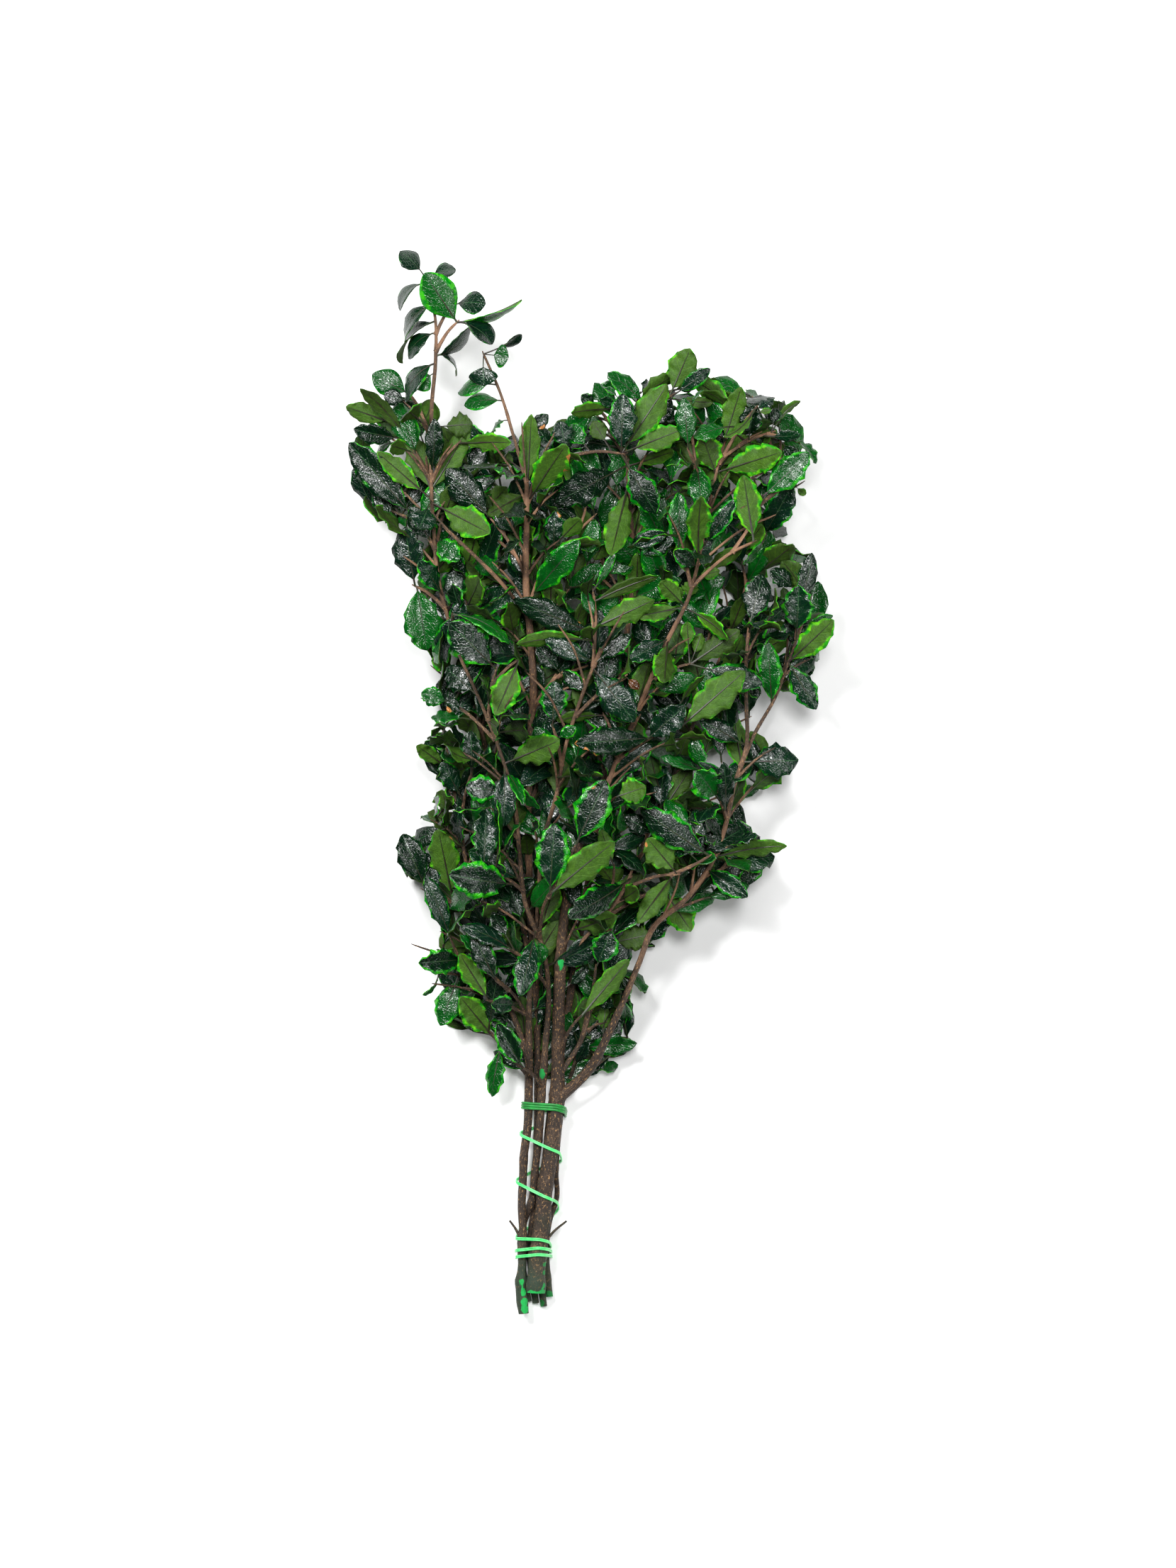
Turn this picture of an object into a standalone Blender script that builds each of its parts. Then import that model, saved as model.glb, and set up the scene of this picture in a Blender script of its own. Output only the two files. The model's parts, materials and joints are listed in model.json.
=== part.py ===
"""A bunch of cut pittosporum lying on a table: six leafy stems held by two elastic ties.

Metres, +Z up. The cut ends point to -Y, the leafy heads to +Y, and the stems lie on the table at Z = 0.
The hand-laid routes below are in millimetres, as a florist would measure them on the table.
"""

import math
import random
from dataclasses import dataclass, field

import bmesh
import bpy
import numpy as np
from mathutils import Vector
from mathutils.bvhtree import BVHTree

MM = 0.001

# Leaf, in millimetres
LEAF_LENGTH = 37.0
LEAF_WIDTH = 17.5
LEAF_THICKNESS = 0.7
LEAF_SPACING = 5.2
MARGIN_WAVE = 1.5
BLADE_SECTIONS = (0.20, 0.52, 0.82)
SMALL_BLADE_SECTIONS = (0.30, 0.72)
SMALL_BLADE = 31.0
WAVES_PER_LEAF = 4.2
GOLDEN_ANGLE = math.radians(137.5)

# Wood, in millimetres
TWIG_RADIUS = (1.15, 0.8)
STEM_POINT_SPACING = 32.0
LIMB_POINT_SPACING = 26.0
WOOD_GAP = 0.5
TABLE_DIP = 0.5
LYING_STRETCH = 9.0
TIED_STRETCH = (-300.0, -188.0)
ON_TABLE = 0.4
HEIGHT_COUNTS = np.array([1.0, 1.0, 0.6])
FOOT_SUNK = 2.0
SNAP_REACH = 12.0

# Ties, in millimetres
TIE_GAP = 0.62
UPPER_TIE_RADIUS = 0.72
SPIRAL_TIE_RADIUS = 0.8
TIE_SAMPLES_PER_TURN = 48
TIE_SLACK = 0.4

BUNCH_SEED = 20


@dataclass
class Shoot:
    """One piece of wood: a stem, a limb or a twig, as a tapered route through control points."""

    node: str
    parent: int | None
    anchor: tuple[int, float]
    points: np.ndarray
    radii: np.ndarray
    leaves: int = 0
    spread: float = 1.0
    seed: int = 0


@dataclass
class Leaf:
    """One leaf: where its midrib starts, which way it runs and faces, and how its blade is bent."""

    node: str
    shoot: int
    base: Vector
    along: Vector
    face: Vector
    length: float
    width: float
    arch: float
    wave_phase: float
    wave: float
    stalk: float = 0.12
    bvh: BVHTree | None = None
    low: Vector = field(default_factory=Vector)
    high: Vector = field(default_factory=Vector)


# The six stems, from the sawn end up. Each has a route of (x, y, z), and its radii evenly spaced along it.
STEMS = {
    "centre_stem": (
        [(-34, -312, 14), (-33.1, -296, 14.2), (-31.9, -282, 14.4), (-29.6, -264, 14.4), (-28.2, -248, 14.3),
         (-25.3, -230, 14), (-23.2, -214, 14), (-21.6, -200, 14), (-20.6, -188, 14.8), (-20.2, -172, 17.5),
         (-20, -149, 23), (-19.2, -120, 31), (-18.6, -104, 35.5), (-17, -88, 40), (-13, -62, 46), (-5, -30, 52),
         (10, 0, 57), (26, 38, 62), (38, 68, 66), (50, 95, 68), (62, 120, 69), (68, 150, 69),
         (74, 180, 67), (80, 206, 62)],
        (5.4, 5.0, 4.8, 4.8, 4.9, 3.9, 3.6, 3.4, 3.2, 3.0, 2.6, 2.0, 1.7, 1.6, 1.5, 1.5, 1.2, 1.0, 1.0, 0.9, 0.9),
    ),
    "left_stem": (
        [(-41.3, -325, 10.5), (-43.0, -306, 10.8), (-41.6, -284, 11), (-41.9, -256, 11), (-41.4, -230, 11),
         (-38.6, -206, 11.3), (-38.2, -175, 14), (-38, -139, 22), (-36.5, -114, 30), (-35, -92, 37),
         (-32, -62, 46), (-29, -31, 54), (-23, -13, 58), (-19, 0, 62), (-17, 16, 66), (-12, 35, 71),
         (-6, 52, 76), (0, 66, 80), (6, 82, 84)],
        (3.0, 2.5, 2.6, 2.6, 2.3, 1.2, 1.1, 1.3, 1.2, 1.1, 1.0),
    ),
    "middle_stem": (
        [(-38.5, -318, 4.2), (-42.4, -290, 4.8), (-41.6, -276, 4.9), (-37.8, -263, 8.2), (-35.8, -248, 9.8),
         (-34.0, -234, 10.6), (-31.0, -204, 14), (-29.5, -178, 18), (-27.2, -150, 25), (-25.9, -124, 31), (-29, -102, 39),
         (-35, -84, 46), (-42, -66, 51), (-43.5, -42, 56), (-45, -18, 61), (-52, 9, 67), (-59, 30, 72),
         (-66, 47, 76), (-72, 60, 79), (-80, 78, 82)],
        (2.3, 2.3, 2.3, 2.3, 1.9, 1.3, 1.35, 1.3, 1.1, 1.0, 0.9),
    ),
    "back_stem": (
        [(-33.5, -319, 2.4), (-37.5, -290, 4.5), (-37.0, -276, 4.5), (-34.2, -262, 4.5), (-33.8, -230, 4.6),
         (-33, -200, 5),
         (-33, -160, 9), (-35, -110, 17), (-38, -60, 27), (-38, -10, 38), (-37, 28, 46), (-35, 66, 55),
         (-38, 100, 63), (-40, 130, 69), (-39, 155, 73), (-39, 182, 76)],
        (2.1, 1.9, 1.9, 2.2, 2.3, 2.3, 2.2, 2.1, 2.1, 2.2, 1.3),
    ),
    "crown_stem": (
        [(-29.5, -321, 2.4), (-33.1, -290, 4.5), (-32.4, -276, 4.5), (-29.6, -262, 4.5), (-28, -230, 4.6),
         (-25, -200, 5),
         (-16, -150, 8), (-8, -100, 12), (0, -50, 17), (8, 0, 22), (16, 50, 29), (23, 100, 37),
         (26, 133, 43), (24, 165, 49), (21.5, 199, 55), (22, 222, 57)],
        (2.1, 1.9, 1.9, 2.2, 2.3, 2.2, 2.0, 1.8, 1.6, 1.2, 0.9),
    ),
    "thin_stem": (
        [(-25.6, -315, 5), (-27.3, -300, 4.8), (-28.9, -288, 4.4), (-28.2, -275, 4.4), (-25.2, -263, 4.6),
         (-19.2, -247, 7), (-23, -232, 4.6), (-17.8, -216, 7.5), (-19, -202, 5), (-11, -175, 6), (-4, -150, 7), (5, -110, 10),
         (18, -70, 14), (35, -30, 19), (52, 10, 25), (68, 50, 31), (84, 90, 37), (98, 130, 42), (110, 165, 46),
         (118, 192, 46)],
        (2.2, 1.6, 1.3, 1.3, 1.3, 1.3, 1.2, 1.1, 1.0, 0.9, 0.8),
    ),
}

# Bare limbs that show between the leaves: stem they leave, route, and radii evenly spaced along it.
LIMBS = {
    "right_limb": (
        "centre_stem",
        [(-19, -194, 14), (-12, -187, 16), (-4.8, -180, 19), (1.7, -170, 22.5), (7, -160, 26), (12, -150, 29),
         (16.6, -140, 31.5), (20.7, -130, 34), (24, -120, 36.5), (28.8, -110, 39), (33.6, -100, 41), (36.6, -90, 42.5),
         (43, -82, 43.5), (58, -70, 45), (70, -54, 47), (80, -34, 49), (83, -14, 50), (90, 8, 52),
         (95, 27, 54), (94, 52, 57), (94, 74, 60), (96, 98, 62)],
        (3.4, 2.6, 1.9, 1.8, 1.6, 1.5, 1.4, 1.3, 1.1, 0.9),
    ),
    "side_limb": ("right_limb", [(91, 10, 52), (104, 40, 50), (114, 56, 50), (120, 74, 52), (128, 96, 54)], (1.2, 0.8)),
    "low_limb": ("centre_stem", [(-18, -180, 16), (-13.5, -171, 18), (-7.2, -160, 20), (-3, -145, 23), (1, -132, 25)],
                 (1.8, 1.1)),
    "knot_limb": ("centre_stem", [(-18.5, -110, 34), (-12, -101.5, 38), (-4, -94, 42), (6, -86, 46), (16, -70, 50),
                                  (25, -56, 53)], (1.4, 0.9)),
    "tall_limb": (
        "back_stem",
        [(-34, -125, 14), (-40, -95, 17), (-50, -50, 22), (-60, 0, 29), (-70, 45, 37), (-81, 83, 45),
         (-91, 113, 51), (-94, 135, 55), (-97, 178, 60), (-97, 223, 62), (-95, 247, 62), (-94, 275, 61),
         (-97, 295, 60), (-101, 308, 60)],
        (1.9, 1.7, 1.5, 1.3, 1.2, 1.2, 1.2, 1.2, 1.1, 0.7),
    ),
    "pruned_limb": ("back_stem", [(-38, 100, 63), (-48, 114, 70), (-59, 126, 75), (-76, 143, 77), (-90, 156, 76)],
                    (1.2, 1.0)),
    "skirt_limb": (
        "left_stem",
        [(-38, -168, 14), (-45, -148, 17), (-55, -128, 20), (-65, -98, 25), (-74, -62, 30), (-80, -25, 35),
         (-86, 10, 40)],
        (1.8, 1.0),
    ),
    "slim_limb": ("back_stem", [(-39, 182, 76), (-44, 200, 76), (-52, 226, 72), (-57, 242, 70), (-66, 262, 68)],
                  (1.1, 0.8)),
    "low_twig": ("left_stem", [(-38.5, -180, 14), (-43, -174, 15), (-48, -168.5, 16), (-55, -161.5, 18),
                               (-61, -154, 20)], (0.9, 0.75)),
}

# Twigs that hang below the stems, as the place of each tip. Those on the table carry the bunch.
UNDER_TIPS = {
    "crown_stem": [(20, 20, 20), (-14, 78, ON_TABLE), (44, 44, 8), (6, 110, 24), (44, 150, 26)],
    "thin_stem": [(30, -60, 14), (14, -104, 12), (92, 110, ON_TABLE), (78, 34, 8), (112, 150, 26)],
    "back_stem": [(-24, 20, 22), (-24, 100, 38)],
    "tall_limb": [(-78, 24, 9), (-84, 92, ON_TABLE), (-84, 180, 42)],
    "skirt_limb": [(-62, -92, 14), (-92, -40, 14)],
    "middle_stem": [(-48, -60, 28)],
}
BARE_STUBS = {"left_stem": (-50, -268, 9.5), "centre_stem": (-15, -268, 14)}

# How far along the bundle each tie has come, after so many turns round it from below: first up its left side
UPPER_TIE_TURNS = ((0.0, -197.8), (0.25, -195.0), (0.5, -196.2), (0.75, -201.3), (1.25, -197.0), (1.5, -198.2),
                   (1.75, -203.3), (2.25, -199.0), (2.5, -200.2), (2.75, -205.3), (2.95, -204.0))
SPIRAL_TIE_TURNS = ((0.0, -211.0), (0.25, -214.5), (0.75, -231.0), (1.25, -243.5), (1.75, -261.0), (2.25, -278.8),
                    (2.5, -279.0), (2.75, -284.0), (3.25, -287.0), (3.5, -284.2), (3.75, -287.2), (4.25, -291.0),
                    (4.5, -288.2), (4.9, -290.4))

# The upper leaves, as they lie: foot (x, y), tip (x, y), height, width, turn about the midrib (0 shows the upper
# side, 180 the underside) and how far the midrib arches, in radians.
UPPER_LEAVES = [
    (-100, 311, -116, 323, 62, 14, 40, 0.7), (-97, 309, -82, 311.5, 62, 12, -45, 1.1),
    (-81, 280, -101, 309, 72, 23, 0, 0.3), (-80, 281, -42, 293, 68, 15, 76, 0.5),
    (-80, 283, -60, 266, 62, 15, -50, 1.2), (-83, 292, -64, 291, 60, 14, -35, 0.8),
    (-98, 304, -116, 287, 57, 11, 60, 1.9), (-97, 290, -113, 268, 55, 13, 55, 1.6),
    (-95.5, 280, -115, 256, 50, 14, 60, 1.5), (-95, 273, -111, 258, 54, 13, 50, 1.6),
    (-94, 259, -73, 277, 62, 13, 65, 1.2), (-94, 260, -82, 247, 60, 10, -75, 2.3),
    (-95.5, 255, -113, 231, 58, 15, 48, 1.6), (-96, 249, -107, 240, 62, 12, 15, 1),
    (-111, 238, -133, 249, 52, 14, 0, 0.6), (-123, 221, -149, 229, 50, 12, 175, 0.7),
    (-114, 207, -140, 239, 60, 11, 165, 0.8), (-112, 228, -126, 236, 56, 9, 0, 0.8),
    (-97, 234, -103, 217, 62, 13, 175, 1.2), (-118, 206, -144, 215, 64, 13, -15, 0.6),
    (-111, 166, -147, 207, 56, 21, 0, 0.25), (-104, 172, -130, 201, 60, 13, 178, 0.4),
    (-98, 177, -111, 214, 68, 17, 180, 0.4), (-97, 178, -74, 217, 70, 15, 180, 0.5),
    (-97, 190, -95, 221, 66, 12, 25, 0.8), (-98, 188, -102, 218, 64, 8, 60, 0.5),
    (-89, 172, -104, 154, 74, 18, 0, 1), (-90, 170, -61, 151, 78, 19, 180, 0.3),
    (-62, 162, -88, 191, 64, 20, 0, 0.4), (-41, 177, -63, 163, 62, 13, 178, 0.4),
    (-48, 186, -60, 203, 66, 9, 150, 0.3), (-109, 121, -113, 156, 50, 20, -12, 0.5),
    (-97, 147, -110, 168, 60, 14, 0, 0.7), (-93, 112, -104, 135, 64, 14, 15, 0.4),
    (-97, 148, -80, 135, 68, 15, 0, 0.7), (-106, 119, -100, 81, 46, 23, 0, 0.7),
    (-84, 103, -49, 84, 82, 11, -52, 1.1), (-60, 70, -86, 97, 78, 25, 5, 0.6),
    (-87, 50, -103, 55, 64, 12, 0, 0.6), (-66, 43, -97, 40, 62, 11, 45, 0.4),
    (-72, 52, -88, 70, 72, 17, 0, 0.5), (-75, 44, -88, 49, 62, 10, 0, 0.6),
    (-86, 13, -106, 23, 54, 10, 170, 0.3), (-70, -15, -91, 13, 52, 14, 15, 0.5),
    (-77, 8, -86, 37, 56, 9, 50, 0.6), (-72, 8, -73, 32, 58, 13, 0, 0.6), (-66, 3, -72, 38, 54, 11, 178, 0.3),
    (-55, -8, -76, -2, 72, 17, 0, 0.9), (-54, 9, -53, -26, 70, 15, 0, 0.8), (-52, 6, -41, -13, 70, 9, -35, 0.7),
    (-67, -52, -64, -15, 74, 18, 5, 0.6), (-54, -50, -57, -10, 80, 9, 80, 0.4),
    (-79, -40, -80, -14, 46, 11, -45, 1), (-87, -78, -93, -28, 50, 18, 178, 0.3),
    (-103, -62, -115, -31, 42, 18, 0, 0.7), (-98, -62, -116, -47, 36, 8, 170, 0.4),
    (-86, -94, -101, -56, 48, 13, 15, 0.4), (-46, -66, -86, -55, 76, 23, -8, 0.8),
    (-48, -101, -79, -87, 62, 13, 35, 0.9), (-58, -120, -72, -91, 60, 14, 0, 0.6),
    (-69, -108, -80, -92, 58, 8, 50, 0.7), (-45, -93, -60, -79, 58, 11, 15, 0.5),
    (-38, -92, -43, -129, 60, 16, 0, 0.6), (-36, -126, -31, -97, 50, 10, 0, 0.5),
    (-40, -137, -61, -134, 50, 12, -10, 0.7), (-43, -173, -57, -146, 44, 14, 0, 0.5),
    (-57, -161, -61, -192, 14, 12, 15, 0.5), (-60, -156, -80, -130, 36, 17, 180, 0.3),
    (-80, -115, -92, -148, 34, 17, 0, 0.6), (-70, -142, -78, -148, 24, 7, 0, 0.5),
    (-79, -108, -105, -109, 42, 17, 0, 0.7), (-95, -115, -103, -129, 34, 6, -75, 1.3),
    (-79, -120, -94, -101, 46, 7, 65, 0.5), (-64, -132, -80, -104, 46, 14, 178, 0.5),
    (-41, 178, -36, 223, 84, 13, 178, 0.3), (-34, 208, -26, 223, 78, 9, 0, 0.7),
    (-34, 168, -15, 204, 88, 22, 180, 0.25), (-14, 202, -19, 219, 80, 14, 10, 0.8),
    (1, 196, -13, 217, 74, 12, 0, 0.6), (13, 226, -12, 224, 80, 11, 150, 0.4), (3, 229, -6, 235, 74, 8, 0, 0.8),
    (17, 234, 8, 239, 72, 6, 50, 1.2), (18, 229, 5, 232, 72, 7, 0, 0.6), (32, 233, 10, 249, 70, 13, 15, 0.6),
    (20, 199, 19, 235, 90, 17, 0, 0.8), (13, 192, 1, 219, 78, 11, 180, 0.4),
    (24, 198, 46, 241, 84, 18, 180, 0.3), (45, 237, 60, 263, 74, 18, 180, 0.3),
    (52, 234, 72, 251, 66, 11, 8, 0.4), (52, 237, 41, 218, 74, 11, 0, 0.7), (51, 229, 74, 231, 64, 8, 165, 0.5),
    (61, 225, 68, 238, 74, 5, -70, 1.2), (58, 203, 56, 233, 84, 13, 0, 0.7),
    (25, 196, 55, 214, 80, 15, 180, 0.4), (26, 192, 50, 201, 74, 9, 178, 0.5),
    (24, 194, 39, 163, 82, 18, 0, 0.7), (20, 180, 12, 138, 74, 16, 180, 0.4),
    (14, 193, -22, 170, 72, 20, 0, 0.4), (52, 140, 53, 176, 78, 14, 5, 0.7),
    (63, 136, 66, 173, 86, 17, 180, 0.3), (74, 187, 67, 211, 76, 18, 180, 0.5),
    (66, 196, 67, 167, 84, 15, 0, 0.9), (75, 192, 82, 179, 80, 5, 150, 0.5),
    (77, 208, 91, 240, 72, 14, 180, 0.5), (82, 221, 62, 209, 80, 12, 30, 1),
    (101, 229, 80, 209, 78, 9, -140, 1), (88, 228, 110, 233, 66, 8, -25, 0.6),
    (97, 205, 98, 229, 72, 14, 0, 0.7), (100, 225, 109, 226, 62, 5, 150, 0.5),
    (108, 206, 112, 228, 62, 9, 15, 0.5), (112, 214, 127, 232, 62, 7, -125, 1),
    (106, 206, 127, 211, 66, 8, 25, 0.5), (122, 208, 136, 194, 62, 9, -55, 1.4),
    (112, 204, 123, 198, 58, 9, 0, 0.5), (80, 189, 115, 200, 88, 18, 180, 0.3),
    (104, 175, 132, 200, 76, 18, 0, 0.5), (124, 182, 130, 175, 68, 5, 170, 0.5),
    (106, 150, 122, 181, 64, 17, 0, 0.5), (100, 147, 92, 186, 84, 17, 180, 0.4),
    (71, 141, 88, 172, 80, 11, 0, 0.5), (94, 144, 70, 131, 70, 10, 178, 0.4),
    (101, 151, 92, 133, 62, 7, -40, 0.8), (64, 131, 50, 141, 74, 12, 0, 0.6),
    (65, 124, 78, 129, 62, 8, 178, 0.5), (60, 111, 61, 123, 58, 10, 178, 0.5),
    (59, 106, 50, 119, 60, 10, 178, 0.5), (61, 104, 83, 87, 78, 12, -140, 0.9),
    (57, 82, 58, 98, 68, 9, 178, 0.6), (62, 78, 67, 91, 64, 8, 178, 0.6), (82, 90, 93, 114, 60, 10, 178, 0.4),
    (62, 73, 90, 93, 70, 14, 180, 0.3), (97, 97, 104, 127, 58, 18, 0, 0.5),
    (124, 119, 109, 130, 54, 12, 15, 0.9), (133, 100, 134, 140, 52, 12, 5, 0.5),
    (117, 88, 126, 120, 66, 19, 0, 0.6), (120, 95, 147, 102, 56, 7, 35, 0.4),
    (121, 73, 147, 99, 60, 18, 180, 0.3), (120, 74, 137, 45, 48, 15, 0, 0.5),
    (110, 49, 107, 86, 62, 15, 0, 0.6), (68, 67, 104, 60, 66, 17, 0, 0.6), (56, 35, 93, 68, 74, 20, 180, 0.3),
    (54, 48, 69, 66, 66, 7, -130, 0.8), (91, 23, 66, 39, 62, 13, 0, 0.6), (95, 11, 126, 14, 52, 21, 0, 0.7),
    (82, -17, 80, 13, 62, 12, 30, 0.9), (74, -15, 64, 8, 74, 20, 0, 0.7), (84, -2, 65, 13, 68, 7, 20, 0.7),
    (67, 8, 42, 16, 70, 8, 30, 0.6), (78, -34, 68, -18, 58, 7, 20, 1), (73, -43, 30, -16, 78, 20, 0, 0.5),
    (71, -57, 53, -36, 72, 14, 0, 0.6), (54, -55, 34, -33, 74, 18, 180, 0.3),
    (76, -46, 119, -38, 54, 12, -145, 0.6), (70, -52, 95, -69, 56, 13, 0, 0.7),
    (45, -63, 61, -90, 38, 18, 178, 0.4), (51, -51, 28, -85, 60, 13, 180, 0.6),
    (44, -82, 32, -71, 44, 8, 0, 0.5), (14, -97, 36, -92, 40, 16, 178, 0.4), (3, -110, 12, -90, 52, 17, 0, 0.7),
    (-24, -65, 14, -35, 84, 20, 180, 0.3), (14, -49, 6, -28, 74, 9, 178, 0.5),
    (25, -51, -14, -81, 70, 19, 0, 0.5), (40, -30, 20, -20, 62, 12, 0, 0.7), (-8, -35, 9, 2, 86, 22, 0, 0.6),
    (15, -8, 33, -2, 82, 17, 178, 0.5), (35, 28, -10, 24, 84, 17, 0, 0.5), (33, 19, 57, 47, 74, 17, 0, 0.6),
    (-49, 12, -19, 26, 82, 18, 180, 0.3), (-22, 27, -9, 34, 72, 8, 0, 0.6),
    (-20, -10, -18, 16, 56, 14, 178, 0.4), (-29, -68, -22, -24, 84, 21, 0, 0.6),
    (-40, -49, -40, -31, 44, 11, 178, 0.5), (-51, 6, -31, -15, 68, 8, 35, 0.8),
    (-1, 91, -47, 111, 84, 16, 0, 0.5), (-2, 87, -45, 84, 88, 11, 145, 0.8), (1, 73, -28, 87, 80, 12, 0, 0.6),
    (-17, 68, -33, 83, 66, 12, 0, 0.5), (-24, 36, -22, 62, 76, 17, 0, 0.5), (7, 43, -21, 38, 70, 9, 140, 0.6),
    (-42, 76, -58, 41, 82, 17, 180, 0.4), (-57, 71, -56, 44, 76, 11, 178, 0.4),
    (-36, 114, -7, 147, 84, 17, 0, 0.6), (-22, 142, -22, 165, 74, 13, 0, 0.6),
    (1, 110, 41, 126, 72, 10, -150, 0.5), (3, 95, 38, 111, 82, 15, 180, 0.4), (0, 97, -5, 117, 76, 8, 10, 0.5),
    (1, 118, 15, 141, 70, 6, 20, 0.4), (57, 106, 28, 101, 82, 11, 178, 0.4),
    (57, 107, 42, 122, 80, 13, 178, 0.4), (6, 80, 24, 99, 84, 7, -60, 0.5), (5, 72, 24, 90, 82, 11, 0, 0.5),
    (48, 87, 22, 74, 78, 12, 0, 0.5), (48, 86, 44, 61, 74, 17, 178, 0.5), (3, 69, 26, 37, 84, 20, 0, 0.6),
    (22, 66, 29, 57, 78, 6, 0, 0.8), (-2, 55, -17, 68, 68, 10, 0, 0.6), (46, -12, 61, 10, 56, 12, 178, 0.5),
    (-6, -141, 23, -107, 50, 13, 180, 0.4), (-13, -127, -2, -112, 30, 8, 20, 0.9),
    (20, -128, 7, -122, 26, 7, 0, 0.5), (21, -127, 16, -113, 24, 5, 60, 0.5),
    (19, -137, 5, -132, 24, 9, 0, 0.5), (20, -129, 21, -146, 20, 10, 0, 0.6),
    (1, -155, 9, -136, 34, 10, 178, 0.5), (-4, -163, 28, -159, 16, 13, 0, 0.5),
    (-8, -186, 11, -167, 9, 10, 0, 0.4), (-8, -176, -2, -158, 13, 8, 0, 0.5),
    (-18, -156, -13, -140, 12, 7, 0, 0.5), (-30, -155, -35, -128, 14, 12, 0, 0.5),
    (-60, 266, -65, 241, 72, 18, 8, 1), (-60, 266, -50, 258, 74, 12, 0, 0.5),
    (-57, 264, -42, 272, 72, 9, 75, 0.3), (-60, 240, -81, 237, 66, 11, 40, 1.3),
    (-54, 231, -77, 229, 68, 11, 40, 0.9), (-50, 219, -60, 211, 68, 9, 65, 1.9),
    (-90, 216, -72, 218, 64, 15, 170, 0.4), (-79, 208, -48, 206, 66, 14, -155, 0.5),
]


def smooth_route(points, spacing):
    """Points at about this spacing along a Catmull-Rom curve through the given ones."""
    p = np.array(points, float)
    p = np.vstack([2 * p[0] - p[1], p, 2 * p[-1] - p[-2]])
    t = np.linspace(0, 1, 12, endpoint=False)[:, None]
    dense = []
    for a, b, c, d in zip(p, p[1:], p[2:], p[3:]):
        dense.append(0.5 * (2 * b + (c - a) * t + (2 * a - 5 * b + 4 * c - d) * t**2 + (3 * b - a - 3 * c + d) * t**3))
    dense = np.vstack([*dense, p[-2][None]])
    reach = np.concatenate([[0], np.cumsum(np.linalg.norm(np.diff(dense, axis=0), axis=1))])
    count = max(2, round(reach[-1] / spacing) + 1)
    wanted = np.linspace(0, reach[-1], count)
    return np.stack([np.interp(wanted, reach, dense[:, k]) for k in range(3)], axis=1)


def twig_route(parent, tip, lowest=TIED_STRETCH[1]):
    """Where a twig leaves its parent, no lower than a given y, and its three points, for a tip that lies ahead."""
    best = None
    for i in range(len(parent) - 1):
        for w in (0.2, 0.6):
            start = parent[i] * (1 - w) + parent[i + 1] * w
            heading = parent[i + 1] - parent[i]
            heading /= np.linalg.norm(heading)
            reach = np.linalg.norm(tip - start)
            angle = math.degrees(math.acos(np.clip((tip - start) @ heading / reach, -1, 1)))
            score = abs(angle - 34) + 0.9 * max(0, reach - 40) + 1.5 * max(0, 12 - reach) + 0.25 * reach
            score += 0 if start[1] > lowest else 1e3
            if best is None or score < best[0]:
                best = (score, (i, w), start, heading, reach)
    score, anchor, start, heading, reach = best
    middle = start + 0.5 * (tip - start) + heading * reach * 0.09
    return score, anchor, np.array([start, middle, tip])


def lying_end(points):
    """Where a twig that has reached the table ends, after it lies along the table for a stretch."""
    ahead = (points[-1] - points[-2]) * (1, 1, 0)
    return points[-1] + ahead / np.linalg.norm(ahead) * LYING_STRETCH


def tapered(radii, count):
    """Radius at each of this many points, from radii evenly spaced along the wood."""
    return np.interp(np.linspace(0, 1, count), np.linspace(0, 1, len(radii)), radii)


def anchor_of(parent, foot):
    """Segment of the parent, and share along it, that comes nearest to a limb's foot."""
    low, run = parent[:-1], np.diff(parent, axis=0)
    share = np.clip(((foot - low) * run).sum(1) / (run**2).sum(1), 0, 1)
    nearest = int(np.argmin(np.linalg.norm(low + run * share[:, None] - foot, axis=1)))
    return nearest, float(share[nearest])


def lay_out_wood():
    """Every stem, limb and twig, before they are eased apart."""
    shoots, index = [], {}
    for name, (route, radius) in STEMS.items():
        points = smooth_route(route, STEM_POINT_SPACING / 2)
        tied = points[:, 1] < TIED_STRETCH[1]
        kept = tied | (np.arange(len(points)) % 2 == 0)
        kept[-2:] = (False, True)
        index[name] = len(shoots)
        shoots.append(Shoot(name, None, (0, 0.0), points[kept], tapered(radius, len(points))[kept]))
    for name, (parent, route, radius) in LIMBS.items():
        points = smooth_route(route, LIMB_POINT_SPACING)
        above = shoots[index[parent]]
        index[name] = len(shoots)
        anchor = anchor_of(above.points, points[0])
        shoots.append(Shoot(above.node, index[parent], anchor, points, tapered(radius, len(points))))
    for parent, tips in UNDER_TIPS.items():
        for tip in tips:
            above = shoots[index[parent]]
            _, anchor, points = twig_route(above.points, np.array(tip, float))
            if tip[2] == ON_TABLE:
                points = np.vstack([points, lying_end(points)])
            radii = np.linspace(*TWIG_RADIUS, len(points))
            shoots.append(Shoot(above.node, index[parent], anchor, points, radii, 2))
    for parent, tip in BARE_STUBS.items():
        above = shoots[index[parent]]
        _, anchor, points = twig_route(above.points, np.array(tip, float), -math.inf)
        shoots.append(Shoot(above.node, index[parent], anchor, points, np.linspace(0.9, 0.7, 3)))
    ease_apart(shoots)
    carry_upper_leaves(shoots)
    ease_apart(shoots)
    for number, shoot in enumerate(shoots):
        shoot.seed = BUNCH_SEED * 1000 + number
    return shoots


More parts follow.
